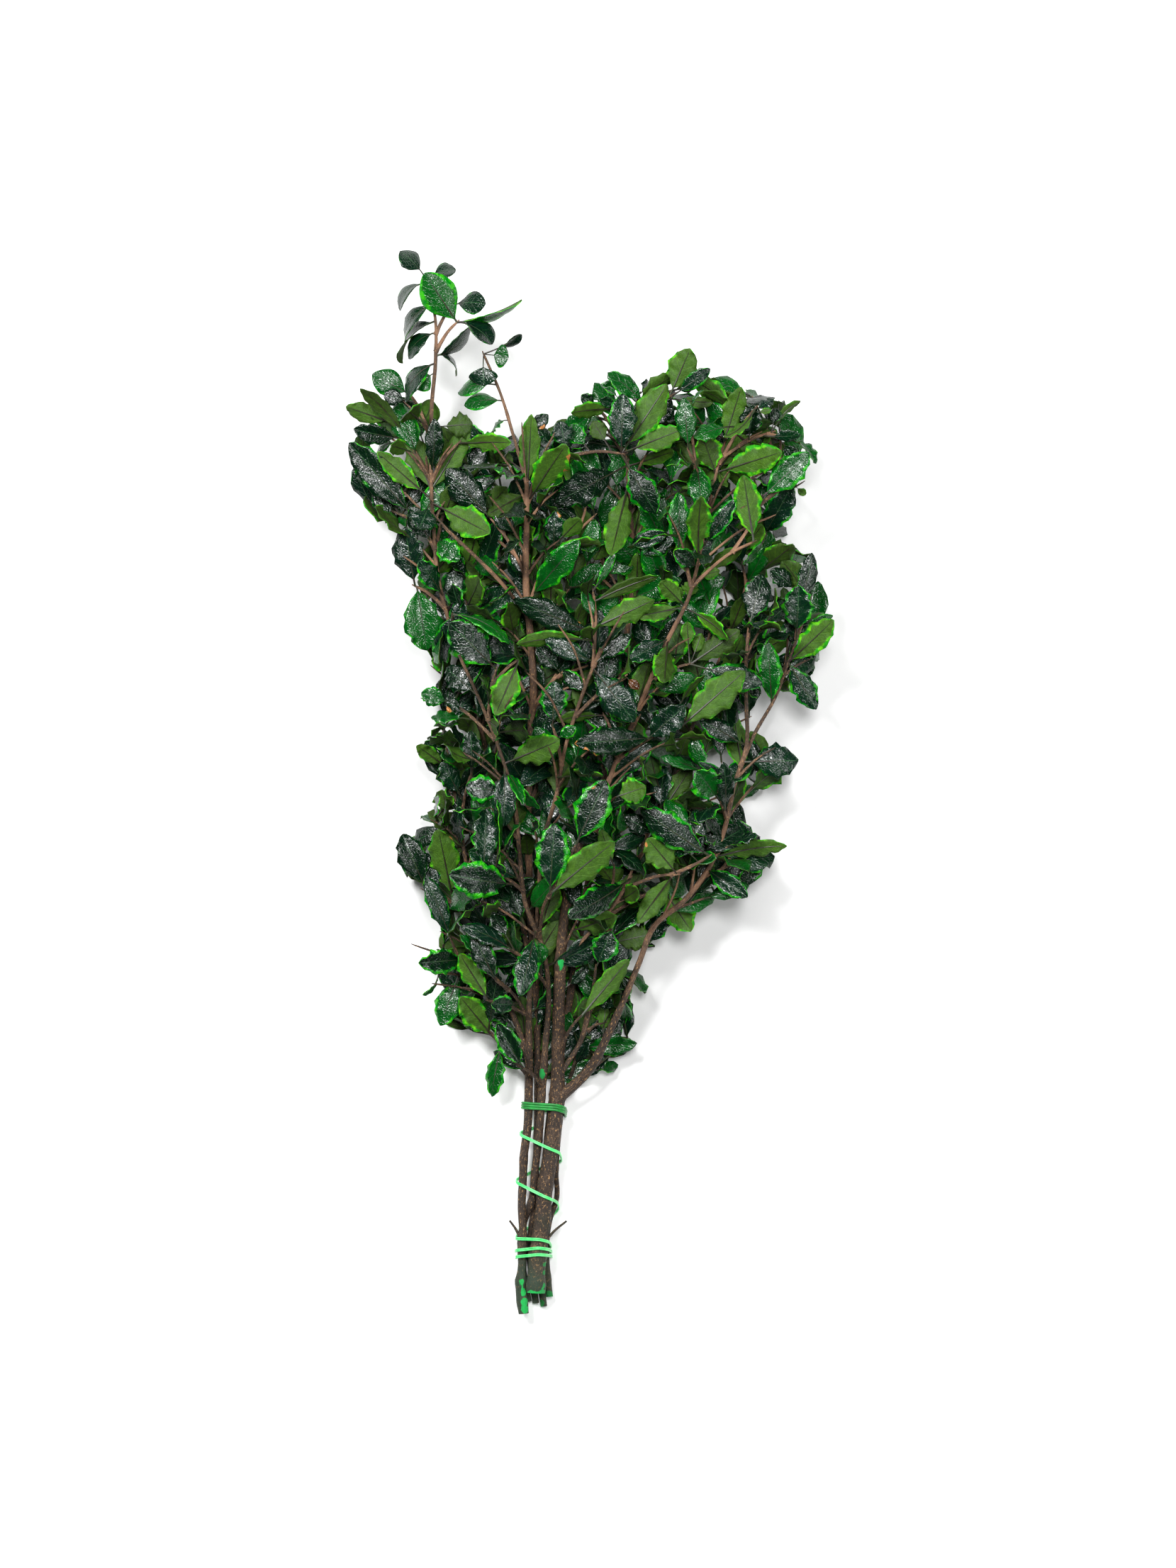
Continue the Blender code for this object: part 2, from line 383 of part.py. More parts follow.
def nearest_place(shoot, feet):
    """Where on a shoot each foot comes nearest, and how near; height counts for less."""
    low, run = shoot.points[:-1], np.diff(shoot.points, axis=0)
    from_low = (feet[:, None] - low[None]) * HEIGHT_COUNTS
    share = np.clip((from_low * run * HEIGHT_COUNTS).sum(2) / ((run * HEIGHT_COUNTS) ** 2).sum(1), 0, 1)
    share[:, -1] = np.minimum(share[:, -1], 1 - FOOT_SUNK / np.linalg.norm(run[-1]))
    places = low + run * share[:, :, None]
    reach = np.linalg.norm((places - feet[:, None]) * HEIGHT_COUNTS, axis=2)
    reach = np.where(places[:, :, 1] > TIED_STRETCH[1], reach, 1e3)
    n = np.argmin(reach, axis=1)
    every = np.arange(len(feet))
    return places[every, n], reach[every, n]


def leaf_feet():
    """The foot of each upper leaf, a little under its blade."""
    return np.array([(x, y, height - 4.0) for x, y, _, _, height, _, _, _ in UPPER_LEAVES])


def carry_upper_leaves(shoots):
    """Adds a twig for each group of upper leaves that no wood comes near, the farthest first."""
    feet = leaf_feet()
    reaches = np.min([nearest_place(shoot, feet)[1] for shoot in shoots], axis=0)
    while reaches.max() > SNAP_REACH:
        tip = feet[int(np.argmax(reaches))]
        options = [(*twig_route(s.points, tip), number) for number, s in enumerate(shoots) if len(s.points) > 2]
        _, anchor, points, parent = min(options, key=lambda option: option[0])
        shoots.append(Shoot(shoots[parent].node, parent, anchor, points, np.linspace(*TWIG_RADIUS, 3)))
        reaches = np.minimum(reaches, nearest_place(shoots[-1], feet)[1])


def tie_to_parents(shoots):
    """Puts the foot of each limb and twig on the axis of the wood that bears it."""
    for shoot in shoots:
        if shoot.parent is not None:
            i, w = shoot.anchor
            above = shoots[shoot.parent].points
            shoot.points[0] = above[i] * (1 - w) + above[i + 1] * w


def closest_on_segments(p1, q1, p2, q2):
    """Where two sets of segments come nearest, as shares along each."""
    d1, d2, r = q1 - p1, q2 - p2, p1 - p2
    a, e = np.maximum((d1 * d1).sum(1), 1e-9), np.maximum((d2 * d2).sum(1), 1e-9)
    b, c, f = (d1 * d2).sum(1), (d1 * r).sum(1), (d2 * r).sum(1)
    s = np.clip((b * f - c * e) / np.maximum(a * e - b * b, 1e-9), 0, 1)
    for _ in range(3):
        t = np.clip((b * s + f) / e, 0, 1)
        s = np.clip((b * t - c) / a, 0, 1)
    return s, t


def ease_apart(shoots, rounds=90):
    """Moves the wood of different stems apart to WOOD_GAP, and off the table."""
    where = [(k, i) for k, s in enumerate(shoots) for i in range(len(s.points) - 1)]
    owner = np.array([k for k, _ in where])
    node = np.array([shoots[k].node for k in owner])
    one, two = np.triu_indices(len(where), 1)
    apart = node[one] != node[two]
    one, two = one[apart], two[apart]
    worst = 0.0
    for _ in range(rounds):
        tie_to_parents(shoots)
        low = np.array([shoots[k].points[i] for k, i in where])
        high = np.array([shoots[k].points[i + 1] for k, i in where])
        r_low = np.array([shoots[k].radii[i] for k, i in where])
        r_high = np.array([shoots[k].radii[i + 1] for k, i in where])
        s, t = closest_on_segments(low[one], high[one], low[two], high[two])
        on_one = low[one] + (high[one] - low[one]) * s[:, None]
        on_two = low[two] + (high[two] - low[two]) * t[:, None]
        between = on_one - on_two
        distance = np.maximum(np.linalg.norm(between, axis=1), 1e-6)
        wanted = r_low[one] * (1 - s) + r_high[one] * s + r_low[two] * (1 - t) + r_high[two] * t + WOOD_GAP
        short = wanted - distance
        close = np.flatnonzero(short > 0)
        worst = float(short[close].max()) if len(close) else 0.0
        if worst < 0.05:
            break
        for n in close:
            push = between[n] / distance[n] * short[n] * 0.55
            for sign, item, share in ((1, one[n], s[n]), (-1, two[n], t[n])):
                k, i = where[item]
                points = shoots[k].points
                points[i] += sign * push * (1 - share)
                points[i + 1] += sign * push * share
        for shoot in shoots:
            tied = (shoot.points[:, 1] > TIED_STRETCH[0]) & (shoot.points[:, 1] < TIED_STRETCH[1])
            lift = np.where(tied, 2 * SPIRAL_TIE_RADIUS + TIE_GAP + 0.3, -TABLE_DIP)
            shoot.points[:, 2] = np.maximum(shoot.points[:, 2], shoot.radii + lift)
    tie_to_parents(shoots)
    return worst


def outline_share(blade):
    """Half-width along a blade, as a share of its widest: drawn in at the foot and blunt at the tip."""
    blade = min(1.0, max(0.0, blade))
    return max(0.06, math.sin(math.pi * blade**1.1) ** (0.8 - 0.3 * blade))


def midrib(leaf, t):
    """Point, upward normal and sideways direction at a share t of the arched midrib."""
    bend = leaf.arch if abs(leaf.arch) > 1e-4 else 1e-4
    turn = bend * t
    run = leaf.length * math.sin(turn) / bend
    drop = leaf.length * (1 - math.cos(turn)) / bend
    point = leaf.base + leaf.along * run - leaf.face * drop
    normal = leaf.along * math.sin(turn) + leaf.face * math.cos(turn)
    return point, normal, leaf.along.cross(leaf.face)


def margin_lift(leaf, t, side):
    """How far the waved margin stands above the flat blade."""
    return leaf.wave * math.sin(2 * math.pi * WAVES_PER_LEAF * t + leaf.wave_phase + (0.0 if side > 0 else 2.1))


def blade_mesh(leaf, grow=0.0):
    """Corners and triangles of the coarse blade: root edge, waved sections, tip edge, split alike on both faces."""
    corners = []
    half = LEAF_THICKNESS / 2 + grow
    sections = []
    for share in BLADE_SECTIONS if leaf.length > SMALL_BLADE else SMALL_BLADE_SECTIONS:
        t = leaf.stalk + (1 - leaf.stalk) * share
        point, normal, side = midrib(leaf, t)
        reach = leaf.width / 2 * outline_share(share) + grow
        ring = []
        for sign in (-1, 1):
            edge = point + side * (sign * reach) + normal * margin_lift(leaf, t, sign)
            ring.append((edge + normal * half, edge - normal * half))
        sections.append(ring)
    start = min(0.5 * leaf.stalk + 0.05, 3.2 / leaf.length) if grow else 0.0
    root, root_normal, _ = midrib(leaf, start)
    tip, tip_normal, _ = midrib(leaf, 1.0)
    corners += [root + root_normal * half, root - root_normal * half]
    for (left_top, left_low), (right_top, right_low) in sections:
        corners += [left_top, right_top, right_low, left_low]
    corners += [tip + tip_normal * half, tip - tip_normal * half]
    faces = [(0, 3, 2), (1, 5, 4), (0, 2, 5), (0, 5, 1), (0, 1, 4), (0, 4, 3)]
    for n in range(len(sections) - 1):
        lt, rt, rb, lb = range(2 + 4 * n, 6 + 4 * n)
        lt2, rt2, rb2, lb2 = range(6 + 4 * n, 10 + 4 * n)
        faces += [(lt, rt, rt2), (lt, rt2, lt2), (lb, rb2, rb), (lb, lb2, rb2)]
        faces += [(rt, rb, rb2), (rt, rb2, rt2), (lt, lt2, lb2), (lt, lb2, lb)]
    lt, rt, rb, lb = range(len(corners) - 6, len(corners) - 2)
    top, low = len(corners) - 2, len(corners) - 1
    faces += [(lt, rt, top), (rb, lb, low), (rt, rb, low), (rt, low, top), (lt, top, low), (lt, low, lb)]
    return corners, faces


def place_on_twig(shoot, back):
    """Point and heading at a distance back from a shoot's tip."""
    points = shoot.points[::-1]
    for a, b in zip(points, points[1:]):
        step = np.linalg.norm(b - a)
        if back <= step:
            return a + (b - a) * back / step, (a - b) / step
        back -= step
    return points[-1], (points[-2] - points[-1]) / np.linalg.norm(points[-2] - points[-1])


def draw_leaf(shoot, number, draw, effort):
    """A try at leaf number of a shoot: the rule's place, with wider seeded changes the more tries have failed."""
    back = 1.6 + number * LEAF_SPACING * shoot.spread
    place, heading = place_on_twig(shoot, back)
    heading = Vector(heading)
    across = heading.cross(Vector((0.3, 0.1, 1.0))).normalized()
    other = across.cross(heading)
    ease = 0.12 + 0.05 * effort
    turn = shoot.seed * 1.7 + number * GOLDEN_ANGLE + draw.uniform(-1, 1) * (0.25 + 0.12 * effort)
    outward = across * math.cos(turn) + other * math.sin(turn)
    spread = math.radians(min(74, 26 + 8.5 * number) + draw.uniform(-9, 9) * (1 + ease * 4))
    along = (heading * math.cos(spread) + outward * math.sin(spread)).normalized()
    face = (heading - along * heading.dot(along)).normalized()
    roll = draw.gauss(0, 0.34 + ease)
    face = (face * math.cos(roll) + along.cross(face) * math.sin(roll)).normalized()
    size = draw.uniform(0.84, 1.10) * min(1.0, 0.80 + 0.06 * number) * 0.985**effort
    return Leaf(
        node=shoot.node,
        shoot=shoot.seed,
        base=Vector(place),
        along=along,
        face=face,
        length=LEAF_LENGTH * size,
        width=LEAF_WIDTH * size * draw.uniform(0.88, 1.10),
        arch=draw.uniform(0.15, 1.15),
        wave_phase=draw.uniform(0, 6.28),
        wave=MARGIN_WAVE * draw.uniform(0.5, 1.2),
    )


def tube_mesh(points, radii, sides=4):
    """Plain prism round a route, used only to test what leaves may not cross."""
    corners, faces = [], []
    for i, (point, radius) in enumerate(zip(points, radii)):
        ahead = points[min(i + 1, len(points) - 1)] - points[max(i - 1, 0)]
        heading = Vector(ahead).normalized()
        across = heading.cross(Vector((0.0, 0.0, 1.0))).normalized()
        other = across.cross(heading)
        for k in range(sides):
            turn = 2 * math.pi * (k + 0.5) / sides
            corners.append(Vector(point) + (across * math.cos(turn) + other * math.sin(turn)) * radius * 1.25)
    for i in range(len(points) - 1):
        for k in range(sides):
            a, b = i * sides + k, i * sides + (k + 1) % sides
            faces += [(a, b, b + sides), (a, b + sides, a + sides)]
    return corners, faces


def box_of(corners):
    """Lowest and highest corner of some points."""
    low = Vector([min(c[k] for c in corners) for k in range(3)])
    high = Vector([max(c[k] for c in corners) for k in range(3)])
    return low, high


class Clearance:
    """What stands in the way of a new leaf: the wood, and the leaves placed so far."""

    def __init__(self, shoots):
        self.boxes, self.trees, self.owners = [], [], []
        for shoot in shoots:
            for i in range(len(shoot.points) - 1):
                corners, faces = tube_mesh(shoot.points[i : i + 2], shoot.radii[i : i + 2])
                self.add(corners, faces, shoot.node)

    def add(self, corners, faces, owner):
        """Adds one solid to what is in the way."""
        low, high = box_of(corners)
        self.boxes.append((*low, *high))
        self.trees.append(BVHTree.FromPolygons(corners, faces))
        self.owners.append(owner)

    def is_clear(self, leaf, own_counts=True):
        """Whether a slightly grown blade crosses nothing, or nothing of another stem, and stays above the table."""
        corners, faces = blade_mesh(leaf, grow=0.3)
        low, high = box_of(corners)
        if low.z < 0.05:
            return False
        boxes = np.array(self.boxes)
        near = np.flatnonzero(
            (boxes[:, :3] < np.array(high)).all(axis=1) & (boxes[:, 3:] > np.array(low)).all(axis=1)
        )
        if not own_counts:
            near = [n for n in near if self.owners[n] != leaf.node]
        tree = BVHTree.FromPolygons(corners, faces)
        return not any(tree.overlap(self.trees[n]) for n in near)


def lay_leaf(shoot, place, entry, draw, effort):
    """An upper leaf from its foot to its tip, raised or lowered and turned a little more the more tries have failed."""
    x0, y0, x1, y1, height, width, turn, arch = entry
    step = (effort + 1) // 2 * (1 if effort % 2 else -1)
    tip = Vector((x1, y1, height + 1.9 * step))
    base = Vector(place) + Vector([draw.uniform(-0.3, 0.3) for _ in range(3)])
    chord = tip - base
    reach = chord.length
    chord.normalize()
    up = (Vector((0.0, 0.0, 1.0)) - chord * chord.z).normalized()
    roll = math.radians(turn + draw.uniform(-1, 1) * min(2.5 * effort, 24))
    normal = up * math.cos(roll) + chord.cross(up) * math.sin(roll)
    bend = max(0.15, arch + draw.uniform(-0.02, 0.02) * effort)
    half = bend / 2
    return Leaf(
        node=shoot.node,
        shoot=shoot.seed,
        base=base,
        along=chord * math.cos(half) + normal * math.sin(half),
        face=normal * math.cos(half) - chord * math.sin(half),
        length=reach * half / math.sin(half),
        width=width * (1 - 0.006 * effort),
        arch=bend,
        wave_phase=draw.uniform(0, 6.28),
        wave=MARGIN_WAVE * draw.uniform(0.6, 1.1),
        stalk=min(0.45, ((base.xy - Vector((x0, y0))).length + 2.0) / reach),
    )


def lay_upper_leaves(shoots, clearance, tries=22):
    """The upper leaves, the highest first, each where it crosses nothing or only its own stem's leaves."""
    leaves = []
    feet = leaf_feet()
    found = [nearest_place(shoot, feet) for shoot in shoots]
    bearers = np.argmin([reach for _, reach in found], axis=0)
    for n in sorted(range(len(feet)), key=lambda n: -UPPER_LEAVES[n][4]):
        place = found[bearers[n]][0][n]
        for own_counts in (True, False):
            draw = random.Random(BUNCH_SEED * 50 + n)
            drafts = (lay_leaf(shoots[bearers[n]], place, UPPER_LEAVES[n], draw, effort) for effort in range(tries))
            clear = next((draft for draft in drafts if clearance.is_clear(draft, own_counts)), None)
            if clear:
                clearance.add(*blade_mesh(clear), clear.node)
                leaves.append(clear)
                break
    return leaves


def grow_leaves(shoots, clearance, tries=26):
    """Leaves by rule round the ends of the twigs that hang below, each where it crosses nothing."""
    leaves = []
    for shoot in shoots:
        draw = random.Random(shoot.seed * 7)
        for number in (0, 3)[: shoot.leaves]:
            for effort in range(tries):
                leaf = draw_leaf(shoot, number, draw, effort)
                if clearance.is_clear(leaf):
                    clearance.add(*blade_mesh(leaf), leaf.node)
                    leaves.append(leaf)
                    break
    return leaves


def bundle_point(shoots, y, turn, out):
    """Point of a cord pulled tight round the stems in the plane at y, seen from their middle at an angle."""
    away = np.array([math.cos(turn), math.sin(turn)])
    best = None
    for shoot in shoots:
        if shoot.parent is None:
            x = np.interp(y, shoot.points[:, 1], shoot.points[:, 0])
            z = np.interp(y, shoot.points[:, 1], shoot.points[:, 2])
            radius = np.interp(y, shoot.points[:, 1], shoot.radii) + out
            reach = np.array([x, z]) @ away + radius
            if best is None or reach > best[0]:
                best = (reach, np.array([x, z]) + away * radius)
    return np.array([best[1][0], y, best[1][1]])


def clear_of_wood(route, radius, shoots):
    """Pushes a tie's route outward wherever it stands nearer than TIE_GAP to a stem."""
    low = np.vstack([s.points[:-1] for s in shoots])
    high = np.vstack([s.points[1:] for s in shoots])
    r_low = np.concatenate([s.radii[:-1] for s in shoots])
    r_high = np.concatenate([s.radii[1:] for s in shoots])
    count = len(low)
    for _ in range(40):
        moved = False
        for i in range(len(route) - 1):
            a, b = np.repeat(route[i][None], count, 0), np.repeat(route[i + 1][None], count, 0)
            s, t = closest_on_segments(a, b, low, high)
            between = a + (b - a) * s[:, None] - low - (high - low) * t[:, None]
            distance = np.linalg.norm(between, axis=1)
            short = r_low * (1 - t) + r_high * t + radius + TIE_GAP - distance
            n = int(np.argmax(short))
            if short[n] > 0.02:
                push = between[n] * (1, 0, 1)
                push *= short[n] / max(np.linalg.norm(push), 1e-6)
                route[i] += push * (1 - s[n])
                route[i + 1] += push * s[n]
                moved = True
        if not moved:
            break
    return route


def without_straight_points(route):
    """The points of a dense route where it bends, leaving out those within TIE_SLACK of a straight run."""
    kept, start = [0], 0
    for end in range(2, len(route)):
        run = route[end] - route[start]
        between = route[start + 1 : end] - route[start]
        along = np.clip(between @ run / (run @ run), 0, 1)
        if np.linalg.norm(between - along[:, None] * run, axis=1).max() > TIE_SLACK:
            start = end - 1
            kept.append(start)
    return route[kept + [len(route) - 1]]


def tie_route(shoots, keys, radius):
    """A tie wound round the bundle, with the heights between its keys shared out along the cord's own length."""
    turns, heights = np.array(keys).T
    out = TIE_GAP + radius
    steps = np.arange(round(turns[-1] * TIE_SAMPLES_PER_TURN) + 1) / TIE_SAMPLES_PER_TURN
    rough = np.array([bundle_point(shoots, np.interp(n, turns, heights), turn_angle(n), out) for n in steps])
    walked = np.concatenate([[0], np.cumsum(np.hypot(*np.diff(rough[:, [0, 2]], axis=0).T))])
    heights = np.interp(walked, np.interp(turns, steps, walked), heights)
    route = np.array([bundle_point(shoots, y, turn_angle(n), out) for y, n in zip(heights, steps)])
    route = without_straight_points(clear_of_wood(route, radius, shoots))
    return clear_of_wood(route, radius, shoots)


def turn_angle(turns):
    """Angle seen from the middle of the bundle after a number of turns from below, up its left side."""
    return -math.pi / 2 - 2 * math.pi * turns


def material(name, colour, roughness):
    """A plain Principled finish."""
    made = bpy.data.materials.new(name)
    made.use_nodes = True
    shader = made.node_tree.nodes["Principled BSDF"]
    shader.inputs["Base Color"].default_value = (*colour, 1.0)
    shader.inputs["Roughness"].default_value = roughness
    shader.inputs["Metallic"].default_value = 0.0
    return made


def tube_object(name, points, radii, bevel_resolution, collection):
    """A round solid along a route, as a mesh, from a curve with a bevel and filled caps."""
    curve = bpy.data.curves.new(name, "CURVE")
    curve.dimensions = "3D"
    curve.bevel_depth = 1.0 * MM
    curve.bevel_resolution = bevel_resolution
    curve.use_fill_caps = True
    curve.twist_mode = "Z_UP"
    spline = curve.splines.new("POLY")
    spline.points.add(len(points) - 1)
    for at, point, radius in zip(spline.points, points, radii):
        at.co = (*(point * MM), 1.0)
        at.radius = radius
    guide = bpy.data.objects.new(name + "_guide", curve)
    collection.objects.link(guide)
    bpy.context.view_layer.update()
    mesh = bpy.data.meshes.new_from_object(guide.evaluated_get(bpy.context.evaluated_depsgraph_get()))
    bpy.data.objects.remove(guide)
    weld = bmesh.new()
    weld.from_mesh(mesh)
    bmesh.ops.remove_doubles(weld, verts=weld.verts, dist=0.00001)
    bmesh.ops.recalc_face_normals(weld, faces=weld.faces)
    weld.to_mesh(mesh)
    weld.free()
    made = bpy.data.objects.new(name, mesh)
    collection.objects.link(made)
    return made


def leaf_object(name, leaf, collection):
    """One coarse blade as an object."""
    corners, faces = blade_mesh(leaf)
    mesh = bpy.data.meshes.new(name)
    mesh.from_pydata([c * MM for c in corners], [], faces)
    made = bpy.data.objects.new(name, mesh)
    collection.objects.link(made)
    return made


def join_all(base, extras, solver):
    """Unites a collection of repeats with the base object, and removes the collection's objects."""
    union = base.modifiers.new("repeats", "BOOLEAN")
    union.operation = "UNION"
    union.operand_type = "COLLECTION"
    union.collection = extras
    union.solver = solver
    apply_modifiers(base)
    for item in list(extras.objects):
        bpy.data.objects.remove(item)
    bpy.data.collections.remove(extras)


def apply_modifiers(thing):
    """Bakes an object's modifiers into its mesh."""
    bpy.context.view_layer.update()
    graph = bpy.context.evaluated_depsgraph_get()
    mesh = bpy.data.meshes.new_from_object(thing.evaluated_get(graph))
    thing.modifiers.clear()
    thing.data = mesh


def rest_cut(thing, table):
    """Flattens the bark where the stems lie on the table."""
    cut = thing.modifiers.new("rest", "BOOLEAN")
    cut.operation = "DIFFERENCE"
    cut.object = table
    cut.solver = "EXACT"
    apply_modifiers(thing)


def table_cutter(collection):
    """A slab whose top is the table, which trims what dips under it."""
    slab = bmesh.new()
    bmesh.ops.create_cube(slab, size=1.0)
    bmesh.ops.scale(slab, vec=(0.5, 0.9, 0.02), verts=slab.verts)
    bmesh.ops.translate(slab, vec=(0.0, 0.0, -0.01), verts=slab.verts)
    mesh = bpy.data.meshes.new("table_cutter")
    slab.to_mesh(mesh)
    slab.free()
    cutter = bpy.data.objects.new("table_cutter", mesh)
    cutter.hide_render = True
    cutter.display_type = "WIRE"
    collection.objects.link(cutter)
    return cutter


def new_collection(name):
    """A collection in the scene."""
    made = bpy.data.collections.new(name)
    bpy.context.scene.collection.children.link(made)
    return made


def finish(thing, finish_material):
    """Gives a node its material and smooth shading with sharp creases."""
    thing.data.materials.clear()
    thing.data.materials.append(finish_material)
    thing.data.shade_smooth()
    thing.data.set_sharp_from_angle(angle=math.radians(40))


def build():
    """Builds every node of the bunch, then puts the origin under its middle."""
    for item in list(bpy.data.objects):
        bpy.data.objects.remove(item)
    bunch = new_collection("pittosporum_bunch")
    cutters = new_collection("cutters")
    leafy = material("leafy_stem", (0.022, 0.085, 0.020), 0.45)
    green_cord = material("tie_cord", (0.02, 0.42, 0.10), 0.5)
    mint_cord = material("spiral_cord", (0.10, 0.66, 0.22), 0.5)
    shoots = lay_out_wood()
    clearance = Clearance(shoots)
    upper = tie_route(shoots, UPPER_TIE_TURNS, UPPER_TIE_RADIUS)
    spiral = tie_route(shoots, SPIRAL_TIE_TURNS, SPIRAL_TIE_RADIUS)
    for route, radius in ((upper, UPPER_TIE_RADIUS), (spiral, SPIRAL_TIE_RADIUS)):
        clearance.add(*tube_mesh(route, np.full(len(route), radius)), "tie")
    leaves = lay_upper_leaves(shoots, clearance) + grow_leaves(shoots, clearance)
    table = table_cutter(cutters)
    for name in STEMS:
        repeats = new_collection(name + "_repeats")
        base = None
        for number, shoot in enumerate(s for s in shoots if s.node == name):
            is_stem = shoot.parent is None
            home = bunch if is_stem else repeats
            detail = 2 if shoot.radii[0] > 5 else 1 if len(shoot.points) > 3 else 0
            piece = tube_object(name if is_stem else f"{name}_wood_{number}", shoot.points, shoot.radii, detail, home)
            base = piece if is_stem else base
        for number, leaf in enumerate(x for x in leaves if x.node == name):
            leaf_object(f"{name}_leaf_{number}", leaf, repeats)
        join_all(base, repeats, "MANIFOLD")
        rest_cut(base, table)
        finish(base, leafy)
    for name, route, radius, cord in (
        ("upper_tie", upper, UPPER_TIE_RADIUS, green_cord),
        ("spiral_tie", spiral, SPIRAL_TIE_RADIUS, mint_cord),
    ):
        tie = tube_object(name, route, np.full(len(route), radius), 1, bunch)
        finish(tie, cord)
    points = np.array([v.co for thing in bunch.objects for v in thing.data.vertices])
    low, high = points.min(axis=0), points.max(axis=0)
    shift = Vector((-(low[0] + high[0]) / 2, -(low[1] + high[1]) / 2, 0.0))
    for thing in bunch.objects:
        thing.location = shift
    return shoots, leaves


build()
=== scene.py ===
"""Looks of a bunch of cut pittosporum that lies on a table, seen from straight above.

The frame's solids give the form: six leafy stems and two elastic ties. Here each stem is replaced by its bark
and by its leaves, and each tie by its cords. The stems and the upper leaves follow the same routes as the
solids do, so the tables below are in millimetres on the table, and one shift brings them into the frame.
"""

import json
import logging
import math
import random
from collections.abc import Callable
from dataclasses import dataclass, field
from enum import Enum

import bmesh
import bpy
import numpy as np
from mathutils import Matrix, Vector
from mathutils.bvhtree import BVHTree

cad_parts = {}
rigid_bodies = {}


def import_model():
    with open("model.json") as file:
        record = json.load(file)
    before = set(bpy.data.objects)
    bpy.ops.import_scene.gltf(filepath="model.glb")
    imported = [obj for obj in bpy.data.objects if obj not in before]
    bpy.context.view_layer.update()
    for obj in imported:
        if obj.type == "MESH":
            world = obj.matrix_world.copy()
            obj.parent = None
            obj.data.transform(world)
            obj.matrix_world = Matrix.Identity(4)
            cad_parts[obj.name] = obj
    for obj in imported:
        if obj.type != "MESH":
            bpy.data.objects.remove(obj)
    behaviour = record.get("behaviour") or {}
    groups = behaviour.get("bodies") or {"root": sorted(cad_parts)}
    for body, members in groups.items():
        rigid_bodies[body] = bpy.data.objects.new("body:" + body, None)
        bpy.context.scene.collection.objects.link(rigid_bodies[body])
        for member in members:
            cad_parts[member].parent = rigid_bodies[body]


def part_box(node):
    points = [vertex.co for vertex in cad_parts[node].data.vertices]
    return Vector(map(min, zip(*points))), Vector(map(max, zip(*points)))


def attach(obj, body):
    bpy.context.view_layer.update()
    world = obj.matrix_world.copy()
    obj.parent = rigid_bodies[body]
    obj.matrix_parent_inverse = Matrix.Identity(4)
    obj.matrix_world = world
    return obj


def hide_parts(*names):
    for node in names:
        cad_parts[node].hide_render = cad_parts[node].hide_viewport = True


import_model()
log = logging.getLogger("pittosporum_bunch")

MM = 0.001
BUNCH_SEED = 20
GOLDEN_ANGLE = math.radians(137.5)

# Leaf, in millimetres
LEAF_LENGTH = 37.0
LEAF_WIDTH = 17.5
SOLID_THICKNESS = 0.7
LEAF_SPACING = 5.2
MARGIN_WAVE = 1.5
FAR_MARGIN_PHASE = 2.1
PHASES = (0, 6.28)
BLADE_SECTIONS = (0.20, 0.52, 0.82)
SMALL_BLADE_SECTIONS = (0.30, 0.72)
SMALL_BLADE = 31.0
WAVES_PER_LEAF = 4.2

# Wood, in millimetres
TWIG_RADIUS = (1.15, 0.8)
FINE_TWIG_RADIUS = (0.85, 0.5)
STUB_RADIUS = (0.9, 0.7)
STEM_POINT_SPACING = 32.0
LIMB_POINT_SPACING = 26.0
WOOD_GAP = 0.5
TABLE_DIP = 0.5
LYING_STRETCH = 9.0
TIED_STRETCH = (-300.0, -188.0)
ON_TABLE = 0.4
HEIGHT_COUNTS = (1.0, 1.0, 0.6)
FOOT_SUNK = 2.0
FOOT_DROP = 4.0
SNAP_REACH = 12.0
TABLE_CLEARANCE = 0.05
SEAM = 0.002

# A penalty or distance that rules a place out, and the overlaps left when wood and ties are eased apart
OUT_OF_REACH = 1e3
WOOD_EASED_TO = 0.05
TIE_EASED_TO = 0.02

# Ties, in millimetres
TIE_GAP = 0.62
UPPER_TIE_RADIUS = 0.72
UPPER_TIE_TURNS = ((0.0, -197.8), (0.25, -195.0), (0.5, -196.2), (0.75, -201.3), (1.25, -197.0),
                   (1.5, -198.2), (1.75, -203.3), (2.25, -199.0), (2.5, -200.2), (2.75, -205.3),
                   (2.95, -204.0))
SPIRAL_TIE_RADIUS = 0.8
TIE_SAMPLES_PER_TURN = 48
TIE_SLACK = 0.4
SPIRAL_TIE_TURNS = ((0.0, -211.0), (0.25, -214.5), (0.75, -231.0), (1.25, -243.5), (1.75, -261.0),
                    (2.25, -278.8), (2.5, -279.0), (2.75, -284.0), (3.25, -287.0), (3.5, -284.2),
                    (3.75, -287.2), (4.25, -291.0), (4.5, -288.2), (4.9, -290.4))

